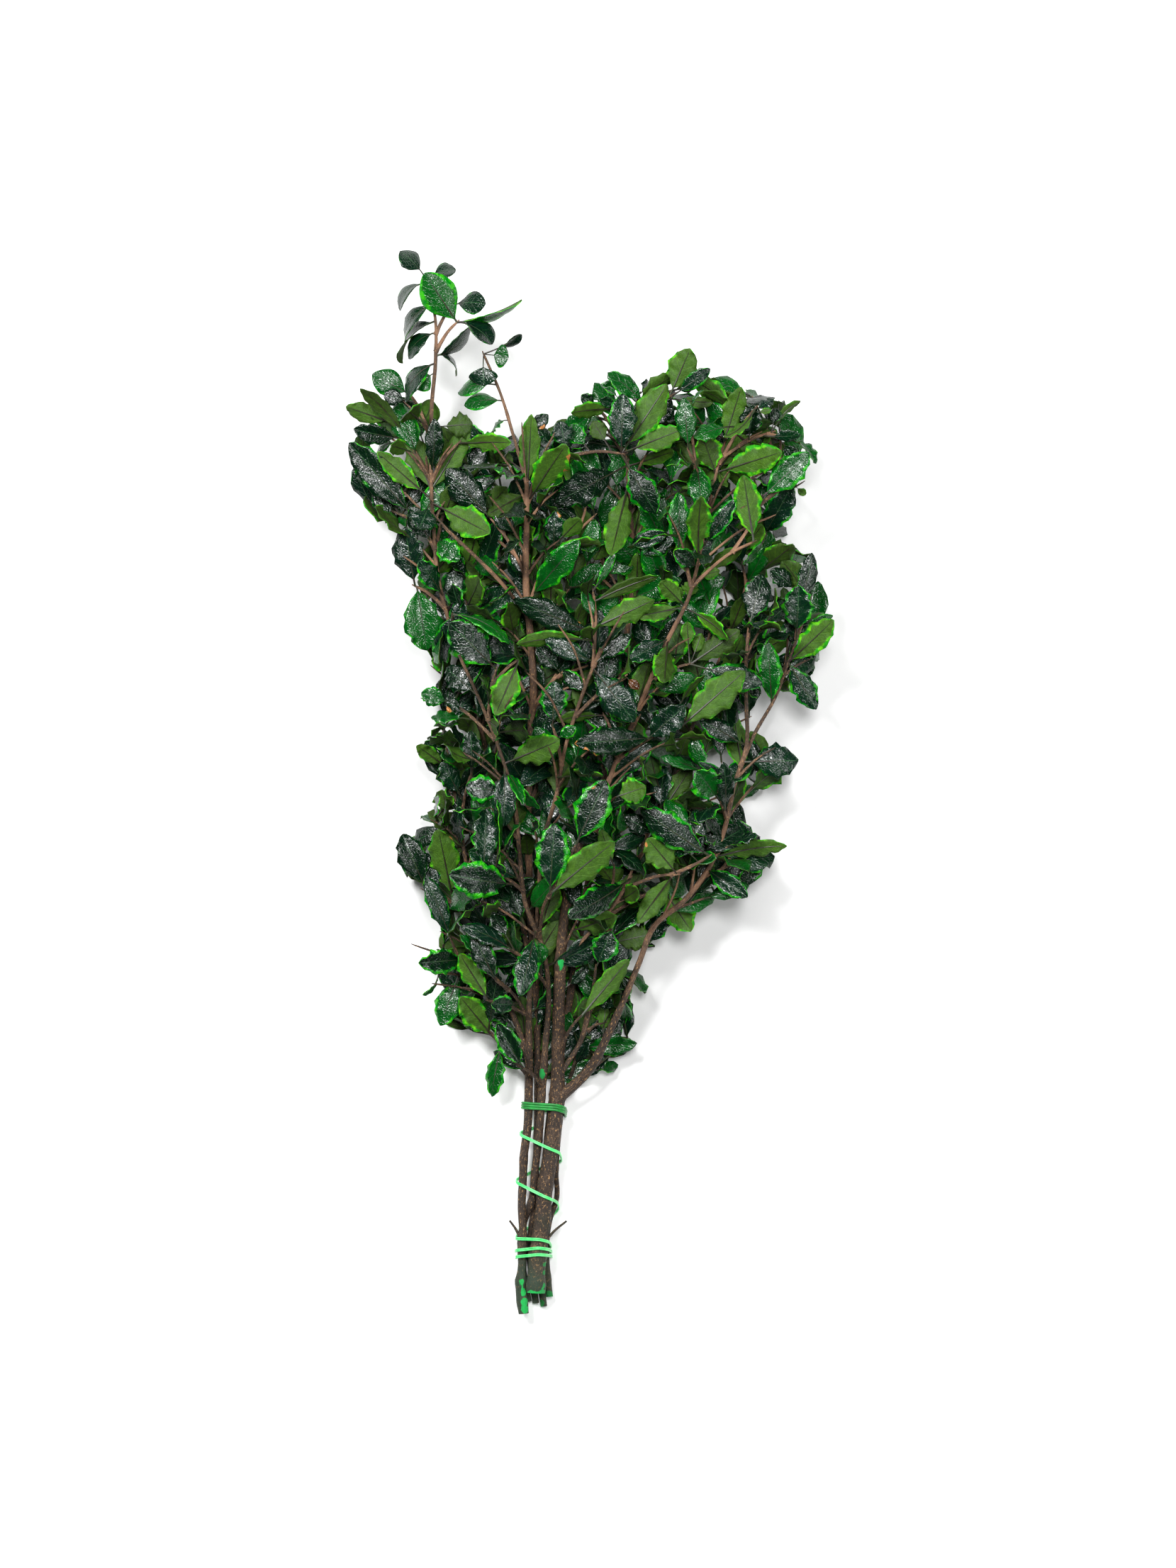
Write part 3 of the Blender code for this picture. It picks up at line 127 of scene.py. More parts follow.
# The six stems, from the cut end up: route of (x, y, z), and radii evenly spaced along it
STEMS = {
    "centre_stem": (
        [(-34, -312, 14), (-33.1, -296, 14.2), (-31.9, -282, 14.4), (-29.6, -264, 14.4),
         (-28.2, -248, 14.3), (-25.3, -230, 14), (-23.2, -214, 14), (-21.6, -200, 14),
         (-20.6, -188, 14.8), (-20.2, -172, 17.5), (-20, -149, 23), (-19.2, -120, 31),
         (-18.6, -104, 35.5), (-17, -88, 40), (-13, -62, 46), (-5, -30, 52), (10, 0, 57), (26, 38, 62),
         (38, 68, 66), (50, 95, 68), (62, 120, 69), (68, 150, 69), (74, 180, 67), (80, 206, 62)],
        (5.4, 5.0, 4.8, 4.8, 4.9, 3.9, 3.6, 3.4, 3.2, 3.0, 2.6, 2.0, 1.7, 1.6, 1.5, 1.5, 1.2, 1.0, 1.0,
         0.9, 0.9),
    ),
    "left_stem": (
        [(-41.3, -325, 10.5), (-43.0, -306, 10.8), (-41.6, -284, 11), (-41.9, -256, 11), (-41.4, -230, 11),
         (-38.6, -206, 11.3), (-38.2, -175, 14), (-38, -139, 22), (-36.5, -114, 30), (-35, -92, 37),
         (-32, -62, 46), (-29, -31, 54), (-23, -13, 58), (-19, 0, 62), (-17, 16, 66), (-12, 35, 71),
         (-6, 52, 76), (0, 66, 80), (6, 82, 84)],
        (3.0, 2.5, 2.6, 2.6, 2.3, 1.2, 1.1, 1.3, 1.2, 1.1, 1.0),
    ),
    "middle_stem": (
        [(-38.5, -318, 4.2), (-42.4, -290, 4.8), (-41.6, -276, 4.9), (-37.8, -263, 8.2), (-35.8, -248, 9.8),
         (-34.0, -234, 10.6), (-31.0, -204, 14), (-29.5, -178, 18), (-27.2, -150, 25), (-25.9, -124, 31),
         (-29, -102, 39), (-35, -84, 46), (-42, -66, 51), (-43.5, -42, 56), (-45, -18, 61), (-52, 9, 67),
         (-59, 30, 72), (-66, 47, 76), (-72, 60, 79), (-80, 78, 82)],
        (2.3, 2.3, 2.3, 2.3, 1.9, 1.3, 1.35, 1.3, 1.1, 1.0, 0.9),
    ),
    "back_stem": (
        [(-33.5, -319, 2.4), (-37.5, -290, 4.5), (-37.0, -276, 4.5), (-34.2, -262, 4.5), (-33.8, -230, 4.6),
         (-33, -200, 5), (-33, -160, 9), (-35, -110, 17), (-38, -60, 27), (-38, -10, 38), (-37, 28, 46),
         (-35, 66, 55), (-38, 100, 63), (-40, 130, 69), (-39, 155, 73), (-39, 182, 76)],
        (2.1, 1.9, 1.9, 2.2, 2.3, 2.3, 2.2, 2.1, 2.1, 2.2, 1.3),
    ),
    "crown_stem": (
        [(-29.5, -321, 2.4), (-33.1, -290, 4.5), (-32.4, -276, 4.5), (-29.6, -262, 4.5), (-28, -230, 4.6),
         (-25, -200, 5),
         (-16, -150, 8), (-8, -100, 12), (0, -50, 17), (8, 0, 22), (16, 50, 29), (23, 100, 37),
         (26, 133, 43), (24, 165, 49), (21.5, 199, 55), (22, 222, 57)],
        (2.1, 1.9, 1.9, 2.2, 2.3, 2.2, 2.0, 1.8, 1.6, 1.2, 0.9),
    ),
    "thin_stem": (
        [(-25.6, -315, 5), (-27.3, -300, 4.8), (-28.9, -288, 4.4), (-28.2, -275, 4.4), (-25.2, -263, 4.6),
         (-19.2, -247, 7), (-23, -232, 4.6), (-17.8, -216, 7.5), (-19, -202, 5), (-11, -175, 6),
         (-4, -150, 7), (5, -110, 10), (18, -70, 14), (35, -30, 19), (52, 10, 25), (68, 50, 31),
         (84, 90, 37), (98, 130, 42), (110, 165, 46), (118, 192, 46)],
        (2.2, 1.6, 1.3, 1.3, 1.3, 1.3, 1.2, 1.1, 1.0, 0.9, 0.8),
    ),
}

# Bare limbs: the wood they leave, route, and radii evenly spaced along it
LIMBS = {
    "right_limb": (
        "centre_stem",
        [(-19, -194, 14), (-12, -187, 16), (-4.8, -180, 19), (1.7, -170, 22.5), (7, -160, 26),
         (12, -150, 29), (16.6, -140, 31.5), (20.7, -130, 34), (24, -120, 36.5), (28.8, -110, 39),
         (33.6, -100, 41), (36.6, -90, 42.5), (43, -82, 43.5), (58, -70, 45), (70, -54, 47),
         (80, -34, 49), (83, -14, 50), (90, 8, 52), (95, 27, 54), (94, 52, 57), (94, 74, 60), (96, 98, 62)],
        (3.4, 2.6, 1.9, 1.8, 1.6, 1.5, 1.4, 1.3, 1.1, 0.9),
    ),
    "side_limb": ("right_limb", [(91, 10, 52), (104, 40, 50), (114, 56, 50), (120, 74, 52),
                                 (128, 96, 54)], (1.2, 0.8)),
    "low_limb": ("centre_stem", [(-18, -180, 16), (-13.5, -171, 18), (-7.2, -160, 20), (-3, -145, 23),
                                 (1, -132, 25)],
                 (1.8, 1.1)),
    "knot_limb": ("centre_stem", [(-18.5, -110, 34), (-12, -101.5, 38), (-4, -94, 42), (6, -86, 46),
                                  (16, -70, 50), (25, -56, 53)], (1.4, 0.9)),
    "tall_limb": (
        "back_stem",
        [(-34, -125, 14), (-40, -95, 17), (-50, -50, 22), (-60, 0, 29), (-70, 45, 37), (-81, 83, 45),
         (-91, 113, 51), (-94, 135, 55), (-97, 178, 60), (-97, 223, 62), (-95, 247, 62), (-94, 275, 61),
         (-97, 295, 60), (-101, 308, 60)],
        (1.9, 1.7, 1.5, 1.3, 1.2, 1.2, 1.2, 1.2, 1.1, 0.7),
    ),
    "pruned_limb": ("back_stem", [(-38, 100, 63), (-48, 114, 70), (-59, 126, 75), (-76, 143, 77),
                                  (-90, 156, 76)],
                    (1.2, 1.0)),
    "skirt_limb": (
        "left_stem",
        [(-38, -168, 14), (-45, -148, 17), (-55, -128, 20), (-65, -98, 25), (-74, -62, 30), (-80, -25, 35),
         (-86, 10, 40)],
        (1.8, 1.0),
    ),
    "slim_limb": ("back_stem", [(-39, 182, 76), (-44, 200, 76), (-52, 226, 72), (-57, 242, 70),
                                (-66, 262, 68)],
                  (1.1, 0.8)),
    "low_twig": ("left_stem", [(-38.5, -180, 14), (-43, -174, 15), (-48, -168.5, 16), (-55, -161.5, 18),
                               (-61, -154, 20)], (0.9, 0.75)),
}

# Tips of the twigs below the stems, and of the two dead stubs at the ties
UNDER_TIPS = {
    "crown_stem": [(20, 20, 20), (-14, 78, ON_TABLE), (44, 44, 8), (6, 110, 24), (44, 150, 26)],
    "thin_stem": [(30, -60, 14), (14, -104, 12), (92, 110, ON_TABLE), (78, 34, 8), (112, 150, 26)],
    "back_stem": [(-24, 20, 22), (-24, 100, 38)],
    "tall_limb": [(-78, 24, 9), (-84, 92, ON_TABLE), (-84, 180, 42)],
    "skirt_limb": [(-62, -92, 14), (-92, -40, 14)],
    "middle_stem": [(-48, -60, 28)],
}
BARE_STUBS = {"left_stem": (-50, -268, 9.5), "centre_stem": (-15, -268, 14)}

# Tips of the finer twigs, whose leaves fill the bunch below the upper ones
FILL_TIPS = {
    "centre_stem": [(60, 228, 68), (88, 230, 58), (104, 214, 54), (84, 190, 86), (108, 190, 72),
                    (60, 198, 88), (46, 164, 86), (94, 168, 80), (67, 142, 90), (52, 27, 70),
                    (112, 163, 64), (24, 10, 74), (45, 62, 78), (40, -5, 64), (14, -36, 66), (60, 88, 84),
                    (30, 42, 78), (-2, -74, 58)],
    "right_limb": [(84, -38, 54), (112, 22, 58), (54, -54, 54), (108, 100, 70), (62, -28, 58), (72, 2, 54),
                   (99, 118, 56)],
    "side_limb": [(134, 114, 54), (134, 76, 48), (120, 96, 40)],
    "low_limb": [(12, -122, 30), (10, -146, 24)],
    "knot_limb": [(28, -44, 56), (34, -68, 50)],
    "crown_stem": [(6, 214, 68), (30, 238, 60), (50, 240, 46), (2, 186, 60), (40, 208, 66), (14, 152, 66),
                   (50, 184, 42), (70, 214, 38), (-10, 42, 32), (20, 20, 28), (42, 72, 36), (36, -20, 26),
                   (-6, 96, 42), (46, 120, 42)],
    "thin_stem": [(130, 184, 48), (114, 226, 38), (98, 236, 44), (114, 140, 42), (86, 62, 34),
                  (62, -14, 26), (30, -60, 20), (106, 64, 34), (80, 122, 36), (14, -104, 16),
                  (24, -132, 16)],
    "back_stem": [(-60, 206, 80), (-42, 218, 86), (-22, 212, 84), (-62, 174, 84), (-20, 178, 68),
                  (-18, 148, 78), (-60, 134, 80), (-12, 120, 60), (-56, 98, 62)],
    "pruned_limb": [(-98, 166, 80)],
    "tall_limb": [(-128, 214, 52), (-114, 232, 60), (-132, 188, 46), (-110, 202, 70), (-84, 206, 72),
                  (-122, 158, 46), (-114, 138, 58), (-84, 178, 56), (-70, 122, 46), (-108, 112, 48),
                  (-98, 72, 36), (-104, 52, 40)],
    "left_stem": [(-40, 68, 84), (1, 22, 76), (-20, 96, 88), (22, 64, 90), (-26, 22, 86), (-8, -10, 80),
                  (-36, -22, 72), (20, 104, 90), (-2, 112, 84)],
    "skirt_limb": [(-118, -46, 34), (-104, -64, 42), (-110, -98, 28), (-92, -90, 46), (-97, -122, 36),
                   (-78, -124, 44), (-100, 12, 38), (-92, 42, 48), (-98, -22, 42), (-70, -52, 46),
                   (-62, -92, 34)],
    "low_twig": [(-76, -134, 26)],
    "middle_stem": [(-60, 54, 82), (-47, 54, 84), (-72, 20, 80), (-62, -14, 74), (-54, -40, 70),
                    (-70, -70, 58), (-52, -100, 50), (-90, 24, 66), (-80, -26, 60)],
}

# The upper leaves as they lie: foot (x, y), tip (x, y), height, width, turn about the midrib (0 shows the
# upper side, 180 the underside), how far the midrib arches in radians, the first letter of the tone, and how
# bright the margin is
UPPER_LEAVES = [
    (-100, 311, -116, 323, 62, 14, 40, 0.7, "G", 0), (-97, 309, -82, 311.5, 62, 12, -45, 1.1, "G", 0),
    (-81, 280, -101, 309, 72, 23, 0, 0.3, "L", 3), (-80, 281, -42, 293, 68, 15, 76, 0.5, "L", 3),
    (-80, 283, -60, 266, 62, 15, -50, 1.2, "O", 0), (-83, 292, -64, 291, 60, 14, -35, 0.8, "G", 0),
    (-98, 304, -116, 287, 57, 11, 60, 1.9, "G", 0), (-97, 290, -113, 268, 55, 13, 55, 1.6, "G", 0),
    (-95.5, 280, -115, 256, 50, 14, 60, 1.5, "O", 0), (-95, 273, -111, 258, 54, 13, 50, 1.6, "G", 0),
    (-94, 259, -73, 277, 62, 13, 65, 1.2, "G", 0), (-94, 260, -82, 247, 60, 10, -75, 2.3, "O", 0),
    (-95.5, 255, -113, 231, 58, 15, 48, 1.6, "G", 1), (-96, 249, -107, 240, 62, 12, 15, 1.0, "M", 1),
    (-111, 238, -133, 249, 52, 14, 0, 0.6, "M", 0), (-123, 221, -149, 229, 50, 12, 175, 0.7, "L", 0),
    (-114, 207, -140, 239, 60, 11, 165, 0.8, "O", 0), (-112, 228, -126, 236, 56, 9, 0, 0.8, "D", 0),
    (-97, 234, -103, 217, 62, 13, 175, 1.2, "L", 0), (-118, 206, -144, 215, 64, 13, -15, 0.6, "D", 0),
    (-111, 166, -147, 207, 56, 21, 0, 0.25, "D", 1), (-104, 172, -130, 201, 60, 13, 178, 0.4, "L", 2),
    (-98, 177, -111, 214, 68, 17, 180, 0.4, "L", 0), (-97, 178, -74, 217, 70, 15, 180, 0.5, "L", 0),
    (-97, 190, -95, 221, 66, 12, 25, 0.8, "D", 0), (-98, 188, -102, 218, 64, 8, 60, 0.5, "O", 0),
    (-89, 172, -104, 154, 74, 18, 0, 1.0, "G", 1), (-90, 170, -61, 151, 78, 19, 180, 0.3, "L", 2),
    (-62, 162, -88, 191, 64, 20, 0, 0.4, "D", 0), (-41, 177, -63, 163, 62, 13, 178, 0.4, "O", 0),
    (-48, 186, -60, 203, 66, 9, 150, 0.3, "O", 0), (-109, 121, -113, 156, 50, 20, -12, 0.5, "O", 0),
    (-97, 147, -110, 168, 60, 14, 0, 0.7, "D", 0), (-93, 112, -104, 135, 64, 14, 15, 0.4, "G", 2),
    (-97, 148, -80, 135, 68, 15, 0, 0.7, "M", 3), (-106, 119, -100, 81, 46, 23, 0, 0.7, "L", 1),
    (-84, 103, -49, 84, 82, 11, -52, 1.1, "L", 2), (-60, 70, -86, 97, 78, 25, 5, 0.6, "D", 2),
    (-87, 50, -103, 55, 64, 12, 0, 0.6, "M", 2), (-66, 43, -97, 40, 62, 11, 45, 0.4, "M", 2),
    (-72, 52, -88, 70, 72, 17, 0, 0.5, "D", 0), (-75, 44, -88, 49, 62, 10, 0, 0.6, "D", 0),
    (-86, 13, -106, 23, 54, 10, 170, 0.3, "L", 1), (-70, -15, -91, 13, 52, 14, 15, 0.5, "G", 1),
    (-77, 8, -86, 37, 56, 9, 50, 0.6, "O", 0), (-72, 8, -73, 32, 58, 13, 0, 0.6, "D", 1),
    (-66, 3, -72, 38, 54, 11, 178, 0.3, "O", 0), (-55, -8, -76, -2, 72, 17, 0, 0.9, "D", 3),
    (-54, 9, -53, -26, 70, 15, 0, 0.8, "G", 0), (-52, 6, -41, -13, 70, 9, -35, 0.7, "M", 3),
    (-67, -52, -64, -15, 74, 18, 5, 0.6, "G", 1), (-54, -50, -57, -10, 80, 9, 80, 0.4, "L", 3),
    (-79, -40, -80, -14, 46, 11, -45, 1.0, "O", 1), (-87, -78, -93, -28, 50, 18, 178, 0.3, "L", 1),
    (-103, -62, -115, -31, 42, 18, 0, 0.7, "D", 0), (-98, -62, -116, -47, 36, 8, 170, 0.4, "L", 2),
    (-86, -94, -101, -56, 48, 13, 15, 0.4, "G", 1), (-46, -66, -86, -55, 76, 23, -8, 0.8, "D", 3),
    (-48, -101, -79, -87, 62, 13, 35, 0.9, "O", 0), (-58, -120, -72, -91, 60, 14, 0, 0.6, "D", 1),
    (-69, -108, -80, -92, 58, 8, 50, 0.7, "M", 2), (-45, -93, -60, -79, 58, 11, 15, 0.5, "D", 1),
    (-38, -92, -43, -129, 60, 16, 0, 0.6, "G", 2), (-36, -126, -31, -97, 50, 10, 0, 0.5, "M", 2),
    (-40, -137, -61, -134, 50, 12, -10, 0.7, "G", 2), (-43, -173, -57, -146, 44, 14, 0, 0.5, "D", 2),
    (-57, -161, -61, -192, 14, 12, 15, 0.5, "M", 3), (-60, -156, -80, -130, 36, 17, 180, 0.3, "L", 3),
    (-80, -115, -92, -148, 34, 17, 0, 0.6, "M", 3), (-70, -142, -78, -148, 24, 7, 0, 0.5, "D", 0),
    (-79, -108, -105, -109, 42, 17, 0, 0.7, "D", 3), (-95, -115, -103, -129, 34, 6, -75, 1.3, "M", 1),
    (-79, -120, -94, -101, 46, 7, 65, 0.5, "L", 2), (-64, -132, -80, -104, 46, 14, 178, 0.5, "L", 3),
    (-41, 178, -36, 223, 84, 13, 178, 0.3, "L", 1), (-34, 208, -26, 223, 78, 9, 0, 0.7, "D", 0),
    (-34, 168, -15, 204, 88, 22, 180, 0.25, "L", 2), (-14, 202, -19, 219, 80, 14, 10, 0.8, "G", 1),
    (1, 196, -13, 217, 74, 12, 0, 0.6, "M", 1), (13, 226, -12, 224, 80, 11, 150, 0.4, "L", 2),
    (3, 229, -6, 235, 74, 8, 0, 0.8, "D", 0), (17, 234, 8, 239, 72, 6, 50, 1.2, "M", 1),
    (18, 229, 5, 232, 72, 7, 0, 0.6, "G", 0), (32, 233, 10, 249, 70, 13, 15, 0.6, "M", 1),
    (20, 199, 19, 235, 90, 17, 0, 0.8, "G", 1), (13, 192, 1, 219, 78, 11, 180, 0.4, "O", 0),
    (24, 198, 46, 241, 84, 18, 180, 0.3, "L", 2), (45, 237, 60, 263, 74, 18, 180, 0.3, "L", 1),
    (52, 234, 72, 251, 66, 11, 8, 0.4, "G", 2), (52, 237, 41, 218, 74, 11, 0, 0.7, "D", 0),
    (51, 229, 74, 231, 64, 8, 165, 0.5, "O", 1), (61, 225, 68, 238, 74, 5, -70, 1.2, "L", 0),
    (58, 203, 56, 233, 84, 13, 0, 0.7, "M", 0), (25, 196, 55, 214, 80, 15, 180, 0.4, "L", 2),
    (26, 192, 50, 201, 74, 9, 178, 0.5, "L", 1), (24, 194, 39, 163, 82, 18, 0, 0.7, "D", 2),
    (20, 180, 12, 138, 74, 16, 180, 0.4, "L", 1), (14, 193, -22, 170, 72, 20, 0, 0.4, "D", 0),
    (52, 140, 53, 176, 78, 14, 5, 0.7, "M", 3), (63, 136, 66, 173, 86, 17, 180, 0.3, "L", 3),
    (74, 187, 67, 211, 76, 18, 180, 0.5, "O", 3), (66, 196, 67, 167, 84, 15, 0, 0.9, "M", 2),
    (75, 192, 82, 179, 80, 5, 150, 0.5, "L", 0), (77, 208, 91, 240, 72, 14, 180, 0.5, "L", 1),
    (82, 221, 62, 209, 80, 12, 30, 1.0, "L", 1), (101, 229, 80, 209, 78, 9, -140, 1.0, "L", 1),
    (88, 228, 110, 233, 66, 8, -25, 0.6, "G", 1), (97, 205, 98, 229, 72, 14, 0, 0.7, "D", 0),
    (100, 225, 109, 226, 62, 5, 150, 0.5, "L", 2), (108, 206, 112, 228, 62, 9, 15, 0.5, "D", 1),
    (112, 214, 127, 232, 62, 7, -125, 1.0, "L", 1), (106, 206, 127, 211, 66, 8, 25, 0.5, "G", 0),
    (122, 208, 136, 194, 62, 9, -55, 1.4, "M", 1), (112, 204, 123, 198, 58, 9, 0, 0.5, "D", 0),
    (80, 189, 115, 200, 88, 18, 180, 0.3, "L", 3), (104, 175, 132, 200, 76, 18, 0, 0.5, "M", 3),
    (124, 182, 130, 175, 68, 5, 170, 0.5, "L", 1), (106, 150, 122, 181, 64, 17, 0, 0.5, "G", 1),
    (100, 147, 92, 186, 84, 17, 180, 0.4, "L", 3), (71, 141, 88, 172, 80, 11, 0, 0.5, "G", 3),
    (94, 144, 70, 131, 70, 10, 178, 0.4, "O", 1), (101, 151, 92, 133, 62, 7, -40, 0.8, "M", 3),
    (64, 131, 50, 141, 74, 12, 0, 0.6, "D", 2), (65, 124, 78, 129, 62, 8, 178, 0.5, "L", 2),
    (60, 111, 61, 123, 58, 10, 178, 0.5, "L", 0), (59, 106, 50, 119, 60, 10, 178, 0.5, "L", 1),
    (61, 104, 83, 87, 78, 12, -140, 0.9, "L", 3), (57, 82, 58, 98, 68, 9, 178, 0.6, "L", 2),
    (62, 78, 67, 91, 64, 8, 178, 0.6, "L", 1), (82, 90, 93, 114, 60, 10, 178, 0.4, "O", 0),
    (62, 73, 90, 93, 70, 14, 180, 0.3, "O", 0), (97, 97, 104, 127, 58, 18, 0, 0.5, "D", 1),
    (124, 119, 109, 130, 54, 12, 15, 0.9, "D", 0), (133, 100, 134, 140, 52, 12, 5, 0.5, "D", 0),
    (117, 88, 126, 120, 66, 19, 0, 0.6, "G", 2), (120, 95, 147, 102, 56, 7, 35, 0.4, "M", 3),
    (121, 73, 147, 99, 60, 18, 180, 0.3, "L", 3), (120, 74, 137, 45, 48, 15, 0, 0.5, "G", 2),
    (110, 49, 107, 86, 62, 15, 0, 0.6, "M", 3), (68, 67, 104, 60, 66, 17, 0, 0.6, "G", 2),
    (56, 35, 93, 68, 74, 20, 180, 0.3, "L", 1), (54, 48, 69, 66, 66, 7, -130, 0.8, "L", 1),
    (91, 23, 66, 39, 62, 13, 0, 0.6, "D", 1), (95, 11, 126, 14, 52, 21, 0, 0.7, "G", 0),
    (82, -17, 80, 13, 62, 12, 30, 0.9, "D", 0), (74, -15, 64, 8, 74, 20, 0, 0.7, "M", 3),
    (84, -2, 65, 13, 68, 7, 20, 0.7, "O", 2), (67, 8, 42, 16, 70, 8, 30, 0.6, "M", 0),
    (78, -34, 68, -18, 58, 7, 20, 1.0, "D", 0), (73, -43, 30, -16, 78, 20, 0, 0.5, "D", 2),
    (71, -57, 53, -36, 72, 14, 0, 0.6, "G", 1), (54, -55, 34, -33, 74, 18, 180, 0.3, "L", 1),
    (76, -46, 119, -38, 54, 12, -145, 0.6, "L", 1), (70, -52, 95, -69, 56, 13, 0, 0.7, "G", 2),
    (45, -63, 61, -90, 38, 18, 178, 0.4, "L", 3), (51, -51, 28, -85, 60, 13, 180, 0.6, "L", 0),
    (44, -82, 32, -71, 44, 8, 0, 0.5, "M", 1), (14, -97, 36, -92, 40, 16, 178, 0.4, "O", 0),
    (3, -110, 12, -90, 52, 17, 0, 0.7, "G", 3), (-24, -65, 14, -35, 84, 20, 180, 0.3, "L", 1),
    (14, -49, 6, -28, 74, 9, 178, 0.5, "L", 1), (25, -51, -14, -81, 70, 19, 0, 0.5, "D", 2),
    (40, -30, 20, -20, 62, 12, 0, 0.7, "D", 0), (-8, -35, 9, 2, 86, 22, 0, 0.6, "D", 3),
    (15, -8, 33, -2, 82, 17, 178, 0.5, "L", 2), (35, 28, -10, 24, 84, 17, 0, 0.5, "D", 0),
    (33, 19, 57, 47, 74, 17, 0, 0.6, "G", 0), (-49, 12, -19, 26, 82, 18, 180, 0.3, "L", 2),
    (-22, 27, -9, 34, 72, 8, 0, 0.6, "M", 3), (-20, -10, -18, 16, 56, 14, 178, 0.4, "O", 0),
    (-29, -68, -22, -24, 84, 21, 0, 0.6, "G", 3), (-40, -49, -40, -31, 44, 11, 178, 0.5, "O", 0),
    (-51, 6, -31, -15, 68, 8, 35, 0.8, "M", 2), (-1, 91, -47, 111, 84, 16, 0, 0.5, "D", 0),
    (-2, 87, -45, 84, 88, 11, 145, 0.8, "L", 2), (1, 73, -28, 87, 80, 12, 0, 0.6, "G", 0),
    (-17, 68, -33, 83, 66, 12, 0, 0.5, "D", 0), (-24, 36, -22, 62, 76, 17, 0, 0.5, "G", 2),
    (7, 43, -21, 38, 70, 9, 140, 0.6, "L", 0), (-42, 76, -58, 41, 82, 17, 180, 0.4, "L", 3),
    (-57, 71, -56, 44, 76, 11, 178, 0.4, "L", 3), (-36, 114, -7, 147, 84, 17, 0, 0.6, "M", 2),
    (-22, 142, -22, 165, 74, 13, 0, 0.6, "G", 2), (1, 110, 41, 126, 72, 10, -150, 0.5, "O", 1),
    (3, 95, 38, 111, 82, 15, 180, 0.4, "L", 1), (0, 97, -5, 117, 76, 8, 10, 0.5, "M", 1),
    (1, 118, 15, 141, 70, 6, 20, 0.4, "M", 3), (57, 106, 28, 101, 82, 11, 178, 0.4, "L", 2),
    (57, 107, 42, 122, 80, 13, 178, 0.4, "L", 2), (6, 80, 24, 99, 84, 7, -60, 0.5, "G", 0),
    (5, 72, 24, 90, 82, 11, 0, 0.5, "D", 1), (48, 87, 22, 74, 78, 12, 0, 0.5, "G", 1),
    (48, 86, 44, 61, 74, 17, 178, 0.5, "O", 2), (3, 69, 26, 37, 84, 20, 0, 0.6, "G", 0),
    (22, 66, 29, 57, 78, 6, 0, 0.8, "B", 0), (-2, 55, -17, 68, 68, 10, 0, 0.6, "D", 1),
    (46, -12, 61, 10, 56, 12, 178, 0.5, "O", 0), (-6, -141, 23, -107, 50, 13, 180, 0.4, "L", 1),
    (-13, -127, -2, -112, 30, 8, 20, 0.9, "D", 0), (20, -128, 7, -122, 26, 7, 0, 0.5, "M", 2),
    (21, -127, 16, -113, 24, 5, 60, 0.5, "G", 0), (19, -137, 5, -132, 24, 9, 0, 0.5, "D", 0),
    (20, -129, 21, -146, 20, 10, 0, 0.6, "M", 2), (1, -155, 9, -136, 34, 10, 178, 0.5, "L", 0),
    (-4, -163, 28, -159, 16, 13, 0, 0.5, "M", 0), (-8, -186, 11, -167, 9, 10, 0, 0.4, "O", 0),
    (-8, -176, -2, -158, 13, 8, 0, 0.5, "G", 0), (-18, -156, -13, -140, 12, 7, 0, 0.5, "M", 2),
    (-30, -155, -35, -128, 14, 12, 0, 0.5, "O", 0), (-60, 266, -65, 241, 72, 18, 8, 1.0, "G", 0),
    (-60, 266, -50, 258, 74, 12, 0, 0.5, "M", 1), (-57, 264, -42, 272, 72, 9, 75, 0.3, "O", 0),
    (-60, 240, -81, 237, 66, 11, 40, 1.3, "M", 2), (-54, 231, -77, 229, 68, 11, 40, 0.9, "M", 2),
    (-50, 219, -60, 211, 68, 9, 65, 1.9, "M", 1), (-90, 216, -72, 218, 64, 15, 170, 0.4, "O", 0),
    (-79, 208, -48, 206, 66, 14, -155, 0.5, "L", 2),
]

# Bright green paint on the wood: the piece, (x, y) and radius
PAINT_SPOTS = [
    ("left_stem", -42.5, -305.5, 1.8), ("left_stem", -41.6, -311, 1.9), ("left_stem", -41, -317, 2.2),
    ("left_stem", -40.6, -322, 2.6), ("centre_stem", -37, -312.5, 2.6), ("centre_stem", -32.5, -313, 2.6),
    ("centre_stem", -29.5, -312, 2.4), ("centre_stem", -28.8, -306, 1.4), ("centre_stem", -28.6, -300, 1.4),
    ("centre_stem", -28.4, -294, 1.2), ("thin_stem", -25.5, -314, 2.6), ("centre_stem", -18.4, -109.5, 2.2),
    ("centre_stem", -18.6, -113, 1.0), ("middle_stem", -30, -178.5, 2.0), ("middle_stem", -30, -175, 1.4),
    ("middle_stem", -30, -182, 1.2), ("crown_stem", -31, -319, 2.4), ("back_stem", -27, -319, 2.6),
    ("middle_stem", -33, -317, 2.2),
]

# Knobs on the stems: the stem, y, how much thicker it is there and over how long a stretch
KNOBS = [
    ("left_stem", -305, 0.42, 3.4), ("left_stem", -318, 0.20, 4.0), ("centre_stem", -109, 0.22, 5.0),
    ("middle_stem", -178, 0.16, 4.0), ("centre_stem", -186, 0.10, 5.0),
]

